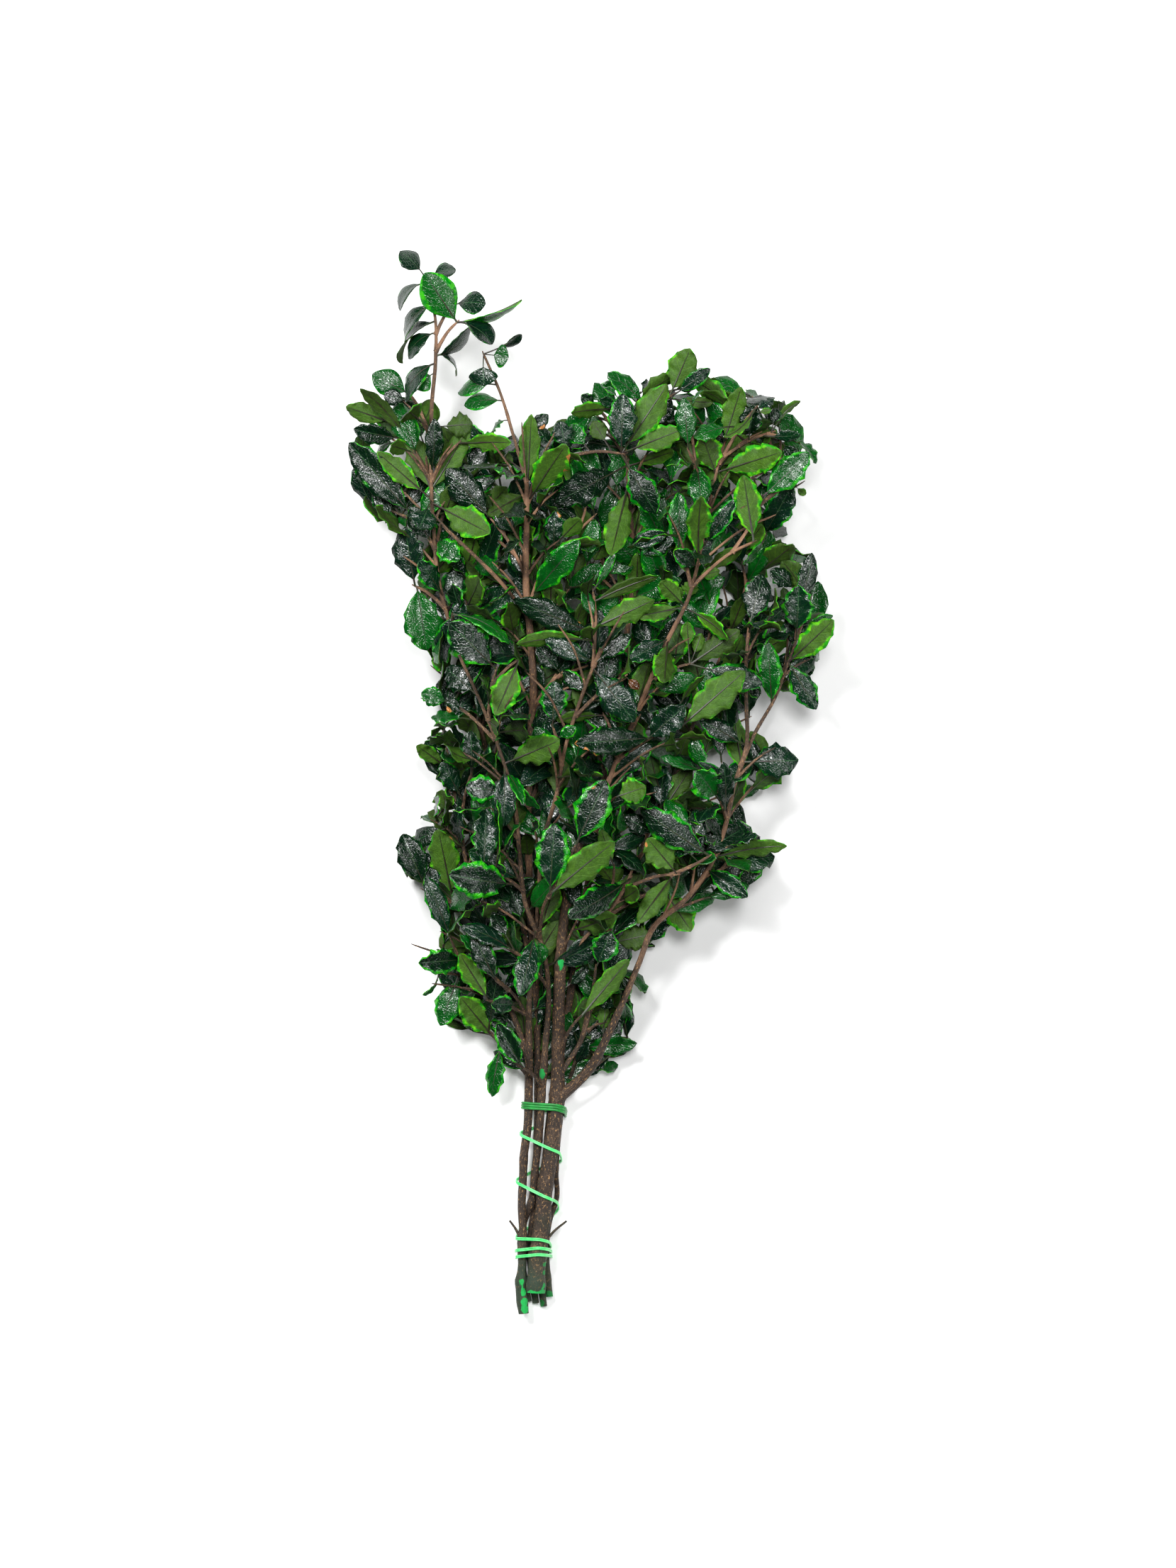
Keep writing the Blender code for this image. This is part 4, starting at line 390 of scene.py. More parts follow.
# Outline of the foliage on the table, which the finer leaves stay inside
FOLIAGE_OUTLINE = [
    (-30, -184), (-52, -172), (-66, -192), (-60, -158), (-84, -150), (-96, -146), (-90, -122), (-106, -118),
    (-92, -92), (-92, -70), (-118, -52), (-106, -22), (-92, -4), (-106, 24), (-90, 40), (-100, 52),
    (-90, 70), (-104, 82), (-104, 116), (-118, 150), (-146, 176), (-144, 226), (-124, 236), (-104, 234),
    (-92, 216), (-74, 220), (-52, 208), (-40, 216), (-12, 226), (4, 246), (44, 246), (58, 262),
    (74, 250), (96, 240), (120, 234), (134, 208), (126, 176), (104, 150), (134, 142), (146, 106), (138, 72),
    (134, 46), (106, 62), (96, 34), (126, 12), (84, -16), (118, -40), (94, -66), (56, -84), (42, -96),
    (22, -112), (26, -142), (26, -162), (10, -182),
]

# Places inside the outline where the table shows through: (x, y) and radius
PALE_GAPS = [
    (-6, 199, 4), (-5, 168, 4), (3, 170, 4), (-52, 127, 5), (-57, 143, 4), (8, 140, 4), (13, 130, 4),
    (-5, 125, 4), (-7, 107, 3), (45, 50, 4), (8, 43, 3), (42, -3, 4), (54, -3, 3), (72, 18, 5),
    (84, 16, 5), (96, 40, 4), (105, 40, 4), (72, 108, 4), (82, 116, 5), (90, 124, 4), (92, 85, 4),
    (30, -80, 4), (-56, -122, 3), (-48, -128, 4), (-25, -172, 3), (-14, -162, 3), (-10, -129, 4),
]

# Dry spots on the margins of the upper leaves: (x, y) and radius
DRY_SPOTS = [
    (-30, 216, 3.0), (-34, 207, 2.5), (-13, 196, 3.0), (-20, 179, 2.5), (-15, 188, 3.0), (-20, 110, 2.5),
    (-6, 98, 2.5), (-18, 80, 2.5), (3, -3, 3.0), (-10, 24, 3.5), (-3, 20, 3.0), (4, 17, 2.5),
    (-19, 163, 3.0), (34, -37, 2.5), (-86, 45, 3.0), (-84, -34, 3.0), (45, 70, 4.0),
]


class Tone(Enum):
    """Colour family of a leaf, as its place on the colour ramps of both sides."""

    DARK = 0.04
    GREY = 0.34
    MID = 0.72
    OLIVE = 0.26
    LIGHT = 0.80
    BROWN = 1.0


TONE_OF_LETTER = {tone.name[0]: tone for tone in Tone}
FILL_TONES = (Tone.DARK, Tone.OLIVE, Tone.MID, Tone.DARK, Tone.OLIVE, Tone.MID)


@dataclass
class Shoot:
    """One piece of wood: a stem, a limb or a twig, as a tapered route through control points.

    Attributes:
        node: the stem that it belongs to.
        parent: number of the wood that it leaves, or None for a stem.
        anchor: segment of the parent and share along it where it leaves.
        points: control points in millimetres.
        radii: radius at each point in millimetres.
        leaves: whether leaves grow by rule at its end.
        seed: seed of its draws.
        is_stub: whether it ends blunt, as a dead stub does.
    """

    node: str
    parent: int | None
    anchor: tuple[int, float]
    points: np.ndarray
    radii: np.ndarray
    leaves: int = 0
    seed: int = 0
    is_stub: bool = False


@dataclass
class Leaf:
    """One leaf.

    Attributes:
        node: the stem that bears it.
        base: where its midrib starts, in millimetres.
        along: the way its midrib sets out.
        face: the way its upper side faces there.
        length: length of its midrib.
        width: its widest.
        arch: how far its midrib bends, in radians.
        wave_phase: where the waves of its margins start.
        wave: height of those waves.
        stalk: the share of its midrib that is bare.
        tone: its colour family.
        rim: how bright its margin is, from 0 to 1.
        is_upper: whether it is one of the upper leaves.
        seed: seed of its draws.
    """

    node: str
    base: Vector
    along: Vector
    face: Vector
    length: float
    width: float
    arch: float
    wave_phase: float
    wave: float
    stalk: float = 0.12
    tone: Tone = Tone.DARK
    rim: float = 0.0
    is_upper: bool = False
    seed: int = 0


def smooth_route(points: np.ndarray | list, spacing: float) -> np.ndarray:
    """Finds points along a Catmull-Rom curve.

    Args:
        points: the points that the curve goes through.
        spacing: distance between the points found, about.

    Returns:
        The points found, from end to end.
    """
    p = np.array(points, float)
    p = np.vstack([2 * p[0] - p[1], p, 2 * p[-1] - p[-2]])
    t = np.linspace(0, 1, 12, endpoint=False)[:, None]
    dense = []
    for a, b, c, d in zip(p, p[1:], p[2:], p[3:]):
        square = (2 * a - 5 * b + 4 * c - d) * t**2
        cube = (3 * b - a - 3 * c + d) * t**3
        dense.append(0.5 * (2 * b + (c - a) * t + square + cube))
    dense = np.vstack([*dense, p[-2][None]])
    reach = np.concatenate([[0], np.cumsum(np.linalg.norm(np.diff(dense, axis=0), axis=1))])
    count = max(2, round(reach[-1] / spacing) + 1)
    wanted = np.linspace(0, reach[-1], count)
    return np.stack([np.interp(wanted, reach, dense[:, k]) for k in range(3)], axis=1)


def tapered(radii: tuple, count: int) -> np.ndarray:
    """Radius at each of this many points, from radii evenly spaced along the wood."""
    return np.interp(np.linspace(0, 1, count), np.linspace(0, 1, len(radii)), radii)


def closest_on_segments(p1: np.ndarray, q1: np.ndarray, p2: np.ndarray, q2: np.ndarray) -> tuple:
    """Finds where two sets of segments come nearest.

    Args:
        p1: starts of the first segments.
        q1: ends of the first segments.
        p2: starts of the second segments.
        q2: ends of the second segments.

    Returns:
        The share along each first segment, and along each second one.
    """
    d1, d2, r = q1 - p1, q2 - p2, p1 - p2
    a, e = np.maximum((d1 * d1).sum(1), 1e-9), np.maximum((d2 * d2).sum(1), 1e-9)
    b, c, f = (d1 * d2).sum(1), (d1 * r).sum(1), (d2 * r).sum(1)
    s = np.clip((b * f - c * e) / np.maximum(a * e - b * b, 1e-9), 0, 1)
    for _ in range(3):
        t = np.clip((b * s + f) / e, 0, 1)
        s = np.clip((b * t - c) / a, 0, 1)
    return s, t


def outline_share(blade: float) -> float:
    """Half-width of a blade at a share of its length, as a share of its widest."""
    blade = min(1.0, max(0.0, blade))
    return max(0.06, math.sin(math.pi * blade**1.1) ** (0.8 - 0.3 * blade))


def blade_mesh(leaf: Leaf, grow: float = 0.0) -> tuple[list, list]:
    """Makes the coarse solid blade that stands for a leaf when leaves are kept clear of each other.

    Args:
        leaf: the leaf.
        grow: how much larger than the leaf it is all round.

    Returns:
        Its corners and its triangles.
    """
    half = SOLID_THICKNESS / 2 + grow
    sections = []
    for share in BLADE_SECTIONS if leaf.length > SMALL_BLADE else SMALL_BLADE_SECTIONS:
        t = leaf.stalk + (1 - leaf.stalk) * share
        point, normal, side = midrib(leaf, t)
        reach = leaf.width / 2 * outline_share(share) + grow
        ring = []
        for sign in (-1, 1):
            phase = leaf.wave_phase + (0.0 if sign > 0 else FAR_MARGIN_PHASE)
            lift = leaf.wave * math.sin(2 * math.pi * WAVES_PER_LEAF * t + phase)
            edge = point + side * (sign * reach) + normal * lift
            ring.append((edge + normal * half, edge - normal * half))
        sections.append(ring)
    start = min(0.5 * leaf.stalk + 0.05, 3.2 / leaf.length) if grow else 0.0
    root, root_normal, _ = midrib(leaf, start)
    tip, tip_normal, _ = midrib(leaf, 1.0)
    corners = [root + root_normal * half, root - root_normal * half]
    for (left_top, left_low), (right_top, right_low) in sections:
        corners += [left_top, right_top, right_low, left_low]
    corners += [tip + tip_normal * half, tip - tip_normal * half]
    faces = [(0, 3, 2), (1, 5, 4), (0, 2, 5), (0, 5, 1), (0, 1, 4), (0, 4, 3)]
    for n in range(len(sections) - 1):
        lt, rt, rb, lb = range(2 + 4 * n, 6 + 4 * n)
        lt2, rt2, rb2, lb2 = range(6 + 4 * n, 10 + 4 * n)
        faces += [(lt, rt, rt2), (lt, rt2, lt2), (lb, rb2, rb), (lb, lb2, rb2)]
        faces += [(rt, rb, rb2), (rt, rb2, rt2), (lt, lt2, lb2), (lt, lb2, lb)]
    lt, rt, rb, lb = range(len(corners) - 6, len(corners) - 2)
    top, low = len(corners) - 2, len(corners) - 1
    faces += [(lt, rt, top), (rb, lb, low), (rt, rb, low), (rt, low, top), (lt, top, low), (lt, low, lb)]
    return corners, faces


def midrib(leaf: Leaf, t: float) -> tuple[Vector, Vector, Vector]:
    """Point, upward normal and sideways direction at a share t of the arched midrib."""
    bend = leaf.arch if abs(leaf.arch) > 1e-4 else 1e-4
    turn = bend * t
    run = leaf.length * math.sin(turn) / bend
    drop = leaf.length * (1 - math.cos(turn)) / bend
    point = leaf.base + leaf.along * run - leaf.face * drop
    normal = leaf.along * math.sin(turn) + leaf.face * math.cos(turn)
    return point, normal, leaf.along.cross(leaf.face)


def tube_mesh(points: np.ndarray, radii: np.ndarray, sides: int = 4) -> tuple[list, list]:
    """Makes a plain prism round a route, used only to test what leaves may not cross.

    Args:
        points: the route.
        radii: the radius at each point.
        sides: the prism's sides.

    Returns:
        Its corners and its triangles.
    """
    corners, faces = [], []
    for i, (point, radius) in enumerate(zip(points, radii)):
        ahead = points[min(i + 1, len(points) - 1)] - points[max(i - 1, 0)]
        heading = Vector(ahead).normalized()
        across = heading.cross(Vector((0.0, 0.0, 1.0))).normalized()
        other = across.cross(heading)
        for k in range(sides):
            turn = 2 * math.pi * (k + 0.5) / sides
            corners.append(Vector(point) + (across * math.cos(turn) + other * math.sin(turn)) * radius * 1.25)
    for i in range(len(points) - 1):
        for k in range(sides):
            a, b = i * sides + k, i * sides + (k + 1) % sides
            faces += [(a, b, b + sides), (a, b + sides, a + sides)]
    return corners, faces


class Wood:
    """Where every stem, limb and twig lies."""

    def __init__(self) -> None:
        """Lays out the wood, easing stems that would touch apart."""
        self.shoots: list[Shoot] = []
        self.index: dict[str, int] = {}
        self.lay_out()

    def lay_out(self) -> None:
        """Adds the stems, the limbs and the twigs, and eases them apart."""
        for name, (route, radius) in STEMS.items():
            points = smooth_route(route, STEM_POINT_SPACING / 2)
            kept = (points[:, 1] < TIED_STRETCH[1]) | (np.arange(len(points)) % 2 == 0)
            kept[-2:] = (False, True)
            self.index[name] = len(self.shoots)
            self.shoots.append(Shoot(name, None, (0, 0.0), points[kept], tapered(radius, len(points))[kept]))
        for name, (parent, route, radius) in LIMBS.items():
            points = smooth_route(route, LIMB_POINT_SPACING)
            above = self.shoots[self.index[parent]]
            anchor = self.anchor_of(above.points, points[0])
            radii = tapered(radius, len(points))
            self.shoots.append(Shoot(above.node, self.index[parent], anchor, points, radii))
            self.index[name] = len(self.shoots) - 1
        for parent, tips in UNDER_TIPS.items():
            for tip in tips:
                above = self.shoots[self.index[parent]]
                _, anchor, points = self.twig_route(above.points, np.array(tip, float))
                if tip[2] == ON_TABLE:
                    points = np.vstack([points, self.lying_end(points)])
                radii = np.linspace(*TWIG_RADIUS, len(points))
                self.shoots.append(Shoot(above.node, self.index[parent], anchor, points, radii, 2))
        for parent, tip in BARE_STUBS.items():
            above = self.shoots[self.index[parent]]
            _, anchor, points = self.twig_route(above.points, np.array(tip, float), -math.inf)
            radii = np.linspace(*STUB_RADIUS, 3)
            self.shoots.append(Shoot(above.node, self.index[parent], anchor, points, radii, is_stub=True))
        self.ease_apart()
        self.carry(leaf_feet(UPPER_LEAVES))
        self.ease_apart()
        for number, shoot in enumerate(self.shoots):
            shoot.seed = BUNCH_SEED * 1000 + number

    @staticmethod
    def anchor_of(parent: np.ndarray, foot: np.ndarray) -> tuple[int, float]:
        """Segment of the parent, and share along it, that comes nearest to a limb's foot."""
        low, run = parent[:-1], np.diff(parent, axis=0)
        share = np.clip(((foot - low) * run).sum(1) / (run**2).sum(1), 0, 1)
        nearest = int(np.argmin(np.linalg.norm(low + run * share[:, None] - foot, axis=1)))
        return nearest, float(share[nearest])

    @staticmethod
    def twig_route(parent: np.ndarray, tip: np.ndarray, lowest: float = TIED_STRETCH[1]) -> tuple:
        """Finds where a twig best leaves its parent for a tip that lies ahead of that place.

        Args:
            parent: the parent's points.
            tip: the twig's tip.
            lowest: the lowest y at which it may leave.

        Returns:
            How bad the best place is, the place, and the twig's three control points.
        """
        best = None
        for i in range(len(parent) - 1):
            for w in (0.2, 0.6):
                start = parent[i] * (1 - w) + parent[i + 1] * w
                heading = parent[i + 1] - parent[i]
                heading /= np.linalg.norm(heading)
                reach = np.linalg.norm(tip - start)
                angle = math.degrees(math.acos(np.clip((tip - start) @ heading / reach, -1, 1)))
                score = abs(angle - 34) + 0.9 * max(0, reach - 40) + 1.5 * max(0, 12 - reach) + 0.25 * reach
                score += 0 if start[1] > lowest else OUT_OF_REACH
                if best is None or score < best[0]:
                    best = (score, (i, w), start, heading, reach)
        score, anchor, start, heading, reach = best
        middle = start + 0.5 * (tip - start) + heading * reach * 0.09
        return score, anchor, np.array([start, middle, tip])

    @staticmethod
    def lying_end(points: np.ndarray) -> np.ndarray:
        """Where a twig that has reached the table ends, after it lies along the table for a stretch."""
        ahead = (points[-1] - points[-2]) * (1, 1, 0)
        return points[-1] + ahead / np.linalg.norm(ahead) * LYING_STRETCH

    @staticmethod
    def nearest_place(shoot: Shoot, feet: np.ndarray) -> tuple[np.ndarray, np.ndarray]:
        """Finds where on a shoot each foot comes nearest; height counts for less.

        Args:
            shoot: the shoot.
            feet: places of the leaves' feet.

        Returns:
            The nearest places, and how near they are.
        """
        low, run = shoot.points[:-1], np.diff(shoot.points, axis=0)
        from_low = (feet[:, None] - low[None]) * HEIGHT_COUNTS
        share = np.clip((from_low * run * HEIGHT_COUNTS).sum(2) / ((run * HEIGHT_COUNTS) ** 2).sum(1), 0, 1)
        share[:, -1] = np.minimum(share[:, -1], 1 - FOOT_SUNK / np.linalg.norm(run[-1]))
        places = low + run * share[:, :, None]
        reach = np.linalg.norm((places - feet[:, None]) * HEIGHT_COUNTS, axis=2)
        reach = np.where(places[:, :, 1] > TIED_STRETCH[1], reach, OUT_OF_REACH)
        n = np.argmin(reach, axis=1)
        every = np.arange(len(feet))
        return places[every, n], reach[every, n]

    def carry(self, feet: np.ndarray, radii: tuple = TWIG_RADIUS) -> None:
        """Adds a twig for each group of leaves that no wood comes near, the farthest first.

        Args:
            feet: the leaves' feet.
            radii: the twigs' radius at both ends.
        """
        reaches = np.min([self.nearest_place(shoot, feet)[1] for shoot in self.shoots], axis=0)
        while reaches.max() > SNAP_REACH:
            tip = feet[int(np.argmax(reaches))]
            options = [
                (*self.twig_route(s.points, tip), number)
                for number, s in enumerate(self.shoots)
                if len(s.points) > 2
            ]
            _, anchor, points, parent = min(options, key=lambda option: option[0])
            node = self.shoots[parent].node
            self.shoots.append(Shoot(node, parent, anchor, points, np.linspace(*radii, 3)))
            reaches = np.minimum(reaches, self.nearest_place(self.shoots[-1], feet)[1])

    def tie_to_parents(self) -> None:
        """Puts the foot of each limb and twig on the axis of the wood that bears it."""
        for shoot in self.shoots:
            if shoot.parent is not None:
                i, w = shoot.anchor
                above = self.shoots[shoot.parent].points
                shoot.points[0] = above[i] * (1 - w) + above[i + 1] * w

    def ease_apart(self, rounds: int = 90) -> None:
        """Moves the wood of different stems apart until it is clear of each other and above the table."""
        where = [(k, i) for k, s in enumerate(self.shoots) for i in range(len(s.points) - 1)]
        node = np.array([self.shoots[k].node for k, _ in where])
        one, two = np.triu_indices(len(where), 1)
        apart = node[one] != node[two]
        one, two = one[apart], two[apart]
        for _ in range(rounds):
            self.tie_to_parents()
            low = np.array([self.shoots[k].points[i] for k, i in where])
            high = np.array([self.shoots[k].points[i + 1] for k, i in where])
            r_low = np.array([self.shoots[k].radii[i] for k, i in where])
            r_high = np.array([self.shoots[k].radii[i + 1] for k, i in where])
            s, t = closest_on_segments(low[one], high[one], low[two], high[two])
            on_one = low[one] + (high[one] - low[one]) * s[:, None]
            on_two = low[two] + (high[two] - low[two]) * t[:, None]
            between = on_one - on_two
            distance = np.maximum(np.linalg.norm(between, axis=1), 1e-6)
            wanted = (
                r_low[one] * (1 - s) + r_high[one] * s
                + r_low[two] * (1 - t) + r_high[two] * t + WOOD_GAP
            )
            short = wanted - distance
            close = np.flatnonzero(short > 0)
            worst = float(short[close].max()) if len(close) else 0.0
            if worst < WOOD_EASED_TO:
                break
            for n in close:
                push = between[n] / distance[n] * short[n] * 0.55
                for sign, item, share in ((1, one[n], s[n]), (-1, two[n], t[n])):
                    k, i = where[item]
                    points = self.shoots[k].points
                    points[i] += sign * push * (1 - share)
                    points[i + 1] += sign * push * share
            for shoot in self.shoots:
                tied = (shoot.points[:, 1] > TIED_STRETCH[0]) & (shoot.points[:, 1] < TIED_STRETCH[1])
                lift = np.where(tied, 2 * SPIRAL_TIE_RADIUS + TIE_GAP + 0.3, -TABLE_DIP)
                shoot.points[:, 2] = np.maximum(shoot.points[:, 2], shoot.radii + lift)
        self.tie_to_parents()

    def add_fill_twigs(self) -> list[Shoot]:
        """Adds the finer twigs, and returns them."""
        added = []
        for parent, tips in FILL_TIPS.items():
            for tip in tips:
                above = self.shoots[self.index[parent]]
                _, anchor, points = self.twig_route(above.points, np.array(tip, float))
                radii = np.linspace(*FINE_TWIG_RADIUS, 3)
                shoot = Shoot(above.node, self.index[parent], anchor, points, radii, FILL_LEAVES)
                shoot.seed = BUNCH_SEED * 3000 + len(added)
                added.append(shoot)
        self.shoots += added
        return added


def leaf_feet(rows: list[tuple]) -> np.ndarray:
    """The foot of each leaf of rows like those of UPPER_LEAVES, a little under its blade."""
    return np.array([(row[0], row[1], row[4] - FOOT_DROP) for row in rows])


class TieRoutes:
    """Routes of the two ties round the bundle."""

    def __init__(self, shoots: list[Shoot]) -> None:
        """Keeps the wood that the ties go round."""
        self.shoots = shoots

    def bundle_point(self, y: float, turn: float, out: float) -> np.ndarray:
        """Finds a point of a cord pulled tight round the stems in one plane.

        Args:
            y: the plane.
            turn: angle of the point seen from the middle of the bundle.
            out: how far outside the wood the cord's axis is.

        Returns:
            The point.
        """
        away = np.array([math.cos(turn), math.sin(turn)])
        best = None
        for shoot in self.shoots:
            if shoot.parent is None:
                x = np.interp(y, shoot.points[:, 1], shoot.points[:, 0])
                z = np.interp(y, shoot.points[:, 1], shoot.points[:, 2])
                radius = np.interp(y, shoot.points[:, 1], shoot.radii) + out
                reach = np.array([x, z]) @ away + radius
                if best is None or reach > best[0]:
                    best = (reach, np.array([x, z]) + away * radius)
        return np.array([best[1][0], y, best[1][1]])

    def clear_of_wood(self, route: np.ndarray, radius: float) -> np.ndarray:
        """Pushes a tie's route outward wherever it stands too near a stem.

        Args:
            route: the route, which is changed.
            radius: the tie's radius.

        Returns:
            The route, clear of the wood.
        """
        low = np.vstack([s.points[:-1] for s in self.shoots])
        high = np.vstack([s.points[1:] for s in self.shoots])
        r_low = np.concatenate([s.radii[:-1] for s in self.shoots])
        r_high = np.concatenate([s.radii[1:] for s in self.shoots])
        count = len(low)
        for _ in range(40):
            moved = False
            for i in range(len(route) - 1):
                a, b = np.repeat(route[i][None], count, 0), np.repeat(route[i + 1][None], count, 0)
                s, t = closest_on_segments(a, b, low, high)
                between = a + (b - a) * s[:, None] - low - (high - low) * t[:, None]
                distance = np.linalg.norm(between, axis=1)
                short = r_low * (1 - t) + r_high * t + radius + TIE_GAP - distance
                n = int(np.argmax(short))
                if short[n] > TIE_EASED_TO:
                    push = between[n] * (1, 0, 1)
                    push *= short[n] / max(np.linalg.norm(push), 1e-6)
                    route[i] += push * (1 - s[n])
                    route[i + 1] += push * s[n]
                    moved = True
            if not moved:
                break
        return route

    @staticmethod
    def without_straight_points(route: np.ndarray) -> np.ndarray:
        """Leaves out the points of a dense route that are within TIE_SLACK of a straight run."""
        kept, start = [0], 0
        for end in range(2, len(route)):
            run = route[end] - route[start]
            between = route[start + 1 : end] - route[start]
            along = np.clip(between @ run / (run @ run), 0, 1)
            if np.linalg.norm(between - along[:, None] * run, axis=1).max() > TIE_SLACK:
                start = end - 1
                kept.append(start)
        return route[kept + [len(route) - 1]]

    def wound(self, keys: tuple, radius: float) -> np.ndarray:
        """Winds a tie round the bundle, its heights between the keys shared out along the cord's length.

        Args:
            keys: rows of how many turns and the height y there.
            radius: the tie's radius.

        Returns:
            A dense route, clear of the wood.
        """
        turns, heights = np.array(keys).T
        out = TIE_GAP + radius
        steps = np.arange(round(turns[-1] * TIE_SAMPLES_PER_TURN) + 1) / TIE_SAMPLES_PER_TURN
        rough = [self.bundle_point(np.interp(n, turns, heights), self.turn_angle(n), out) for n in steps]
        rough = np.array(rough)
        walked = np.concatenate([[0], np.cumsum(np.hypot(*np.diff(rough[:, [0, 2]], axis=0).T))])
        heights = np.interp(walked, np.interp(turns, steps, walked), heights)
        route = [self.bundle_point(y, self.turn_angle(n), out) for y, n in zip(heights, steps)]
        return self.clear_of_wood(np.array(route), radius)

    def solid(self, keys: tuple, radius: float) -> np.ndarray:
        """The route of a tie's solid, with its straight runs left plain."""
        return self.clear_of_wood(self.without_straight_points(self.wound(keys, radius)), radius)

    @staticmethod
    def turn_angle(turns: float) -> float:
        """Angle seen from the middle of the bundle after a number of turns from below, up its left side."""
        return -math.pi / 2 - 2 * math.pi * turns


class Clearance:
    """What stands in the way of a new leaf: the wood, and the leaves placed so far."""

    def __init__(self, shoots: list[Shoot]) -> None:
        """Adds the wood."""
        self.boxes = np.empty((0, 6))
        self.trees: list[BVHTree] = []
        self.owners: list[str] = []
        for shoot in shoots:
            self.add_wood(shoot)

    def add_wood(self, shoot: Shoot) -> None:
        """Adds each stretch of a shoot to what is in the way."""
        for i in range(len(shoot.points) - 1):
            self.add(*tube_mesh(shoot.points[i : i + 2], shoot.radii[i : i + 2]), shoot.node)

    @staticmethod
    def box_of(corners: list) -> tuple[Vector, Vector]:
        """Lowest and highest corner of some points."""
        low = Vector([min(c[k] for c in corners) for k in range(3)])
        high = Vector([max(c[k] for c in corners) for k in range(3)])
        return low, high

    def add(self, corners: list, faces: list, owner: str) -> None:
        """Adds one solid to what is in the way."""
        low, high = self.box_of(corners)
        self.boxes = np.vstack([self.boxes, (*low, *high)])
        self.trees.append(BVHTree.FromPolygons(corners, faces))
        self.owners.append(owner)

    def is_clear(self, leaf: Leaf, own_counts: bool = True) -> bool:
        """Tests a slightly grown blade.

        Args:
            leaf: the leaf.
            own_counts: whether it may not cross its own stem's leaves either.

        Returns:
            Whether it crosses nothing and stays above the table.
        """
        corners, faces = blade_mesh(leaf, grow=0.3)
        low, high = self.box_of(corners)
        if low.z < TABLE_CLEARANCE:
            return False
        below, above = self.boxes[:, :3] < np.array(high), self.boxes[:, 3:] > np.array(low)
        near = np.flatnonzero(below.all(axis=1) & above.all(axis=1))
        if not own_counts:
            near = [n for n in near if self.owners[n] != leaf.node]
        tree = BVHTree.FromPolygons(corners, faces)
        return not any(tree.overlap(self.trees[n]) for n in near)


# Upper leaves: what each failed try changes, in millimetres of height, degrees of turn, radians of arch and
# share of the width, and the limits of these; how far a foot strays, and how much of the midrib is bare
TRY_RISE = 1.9
TRY_TURN, MOST_TURN = 2.5, 24
TRY_ARCH, LEAST_ARCH = 0.02, 0.15
TRY_NARROWING = 0.006
FOOT_STRAY = 0.3
STALK_MORE, MOST_STALK = 2.0, 0.45
UPPER_WAVES = (0.6, 1.1)

# Leaves of a twig: the first one's distance from its tip, how far they spread from it in degrees (the first,
# each further one, at most, and by a draw), and what sizes, widths, arches and waves are drawn from
FIRST_LEAF = 1.6
SPREAD, SPREAD_MORE, SPREAD_MOST, SPREAD_DRAW = 26, 8.5, 74, 9
SIZES, SIZE_AT_TIP, SIZE_MORE = (0.84, 1.10), 0.80, 0.06
WIDTHS = (0.88, 1.10)
ARCHES = (0.15, 1.15)
TWIG_WAVES = (0.5, 1.2)
TRY_SHRINK = 0.985

# Low leaves on the first twigs: their numbers from the tip down, and the tries at each
LOW_LEAVES = (0, 3)
LOW_TRIES = 26

# Finer leaves: how many on a twig, the tries at each, the rounds and passes over the bare places, how far below
# the upper ones they lie and how far apart they point, where the crown starts, the tones there and elsewhere
# (those elsewhere are dark leaf tones, chosen mostly dark as painted shade of the leaves that lie deep in the
# bunch), what sizes, widths and arches are drawn from, which part of a leaf covers the bare place, which side
# is up and how it is turned, how bright the margins are, the place that the leaves fan out from, the margin of
# the gaps, and the size of the cells that tell bare places
FILL_LEAVES = 6
FILL_TRIES = 14
FILL_LAY_TRIES = 7
FILL_ROUNDS = 2
FILL_PASSES = 3
FILL_DROP = (7.0, 26.0)
FILL_TRY_DROP, FILL_LOWEST = 1.8, 4.0
FILL_SPREAD = 1.1
CROWN_FROM_X, CROWN_FROM_Y = -10.0, 100.0
CROWN_FILL, DEEP_FILL_PAINTED_SHADE = "MOLMOLM", "DDDGOOM"
FILL_SIZES, FILL_WIDTHS, FILL_ARCHES = (0.72, 1.0), (0.40, 0.50), (0.2, 1.0)
FILL_MIDDLES = (0.35, 0.75)
FILL_SIDES, FILL_TURN = (0, 0, 180), 30
FILL_RIMS = (0, 0, 1, 2)
FAN_FOOT = (-25.0, -330.0)
GAP_MARGIN = 0.3
COVER_CELL = 2.5


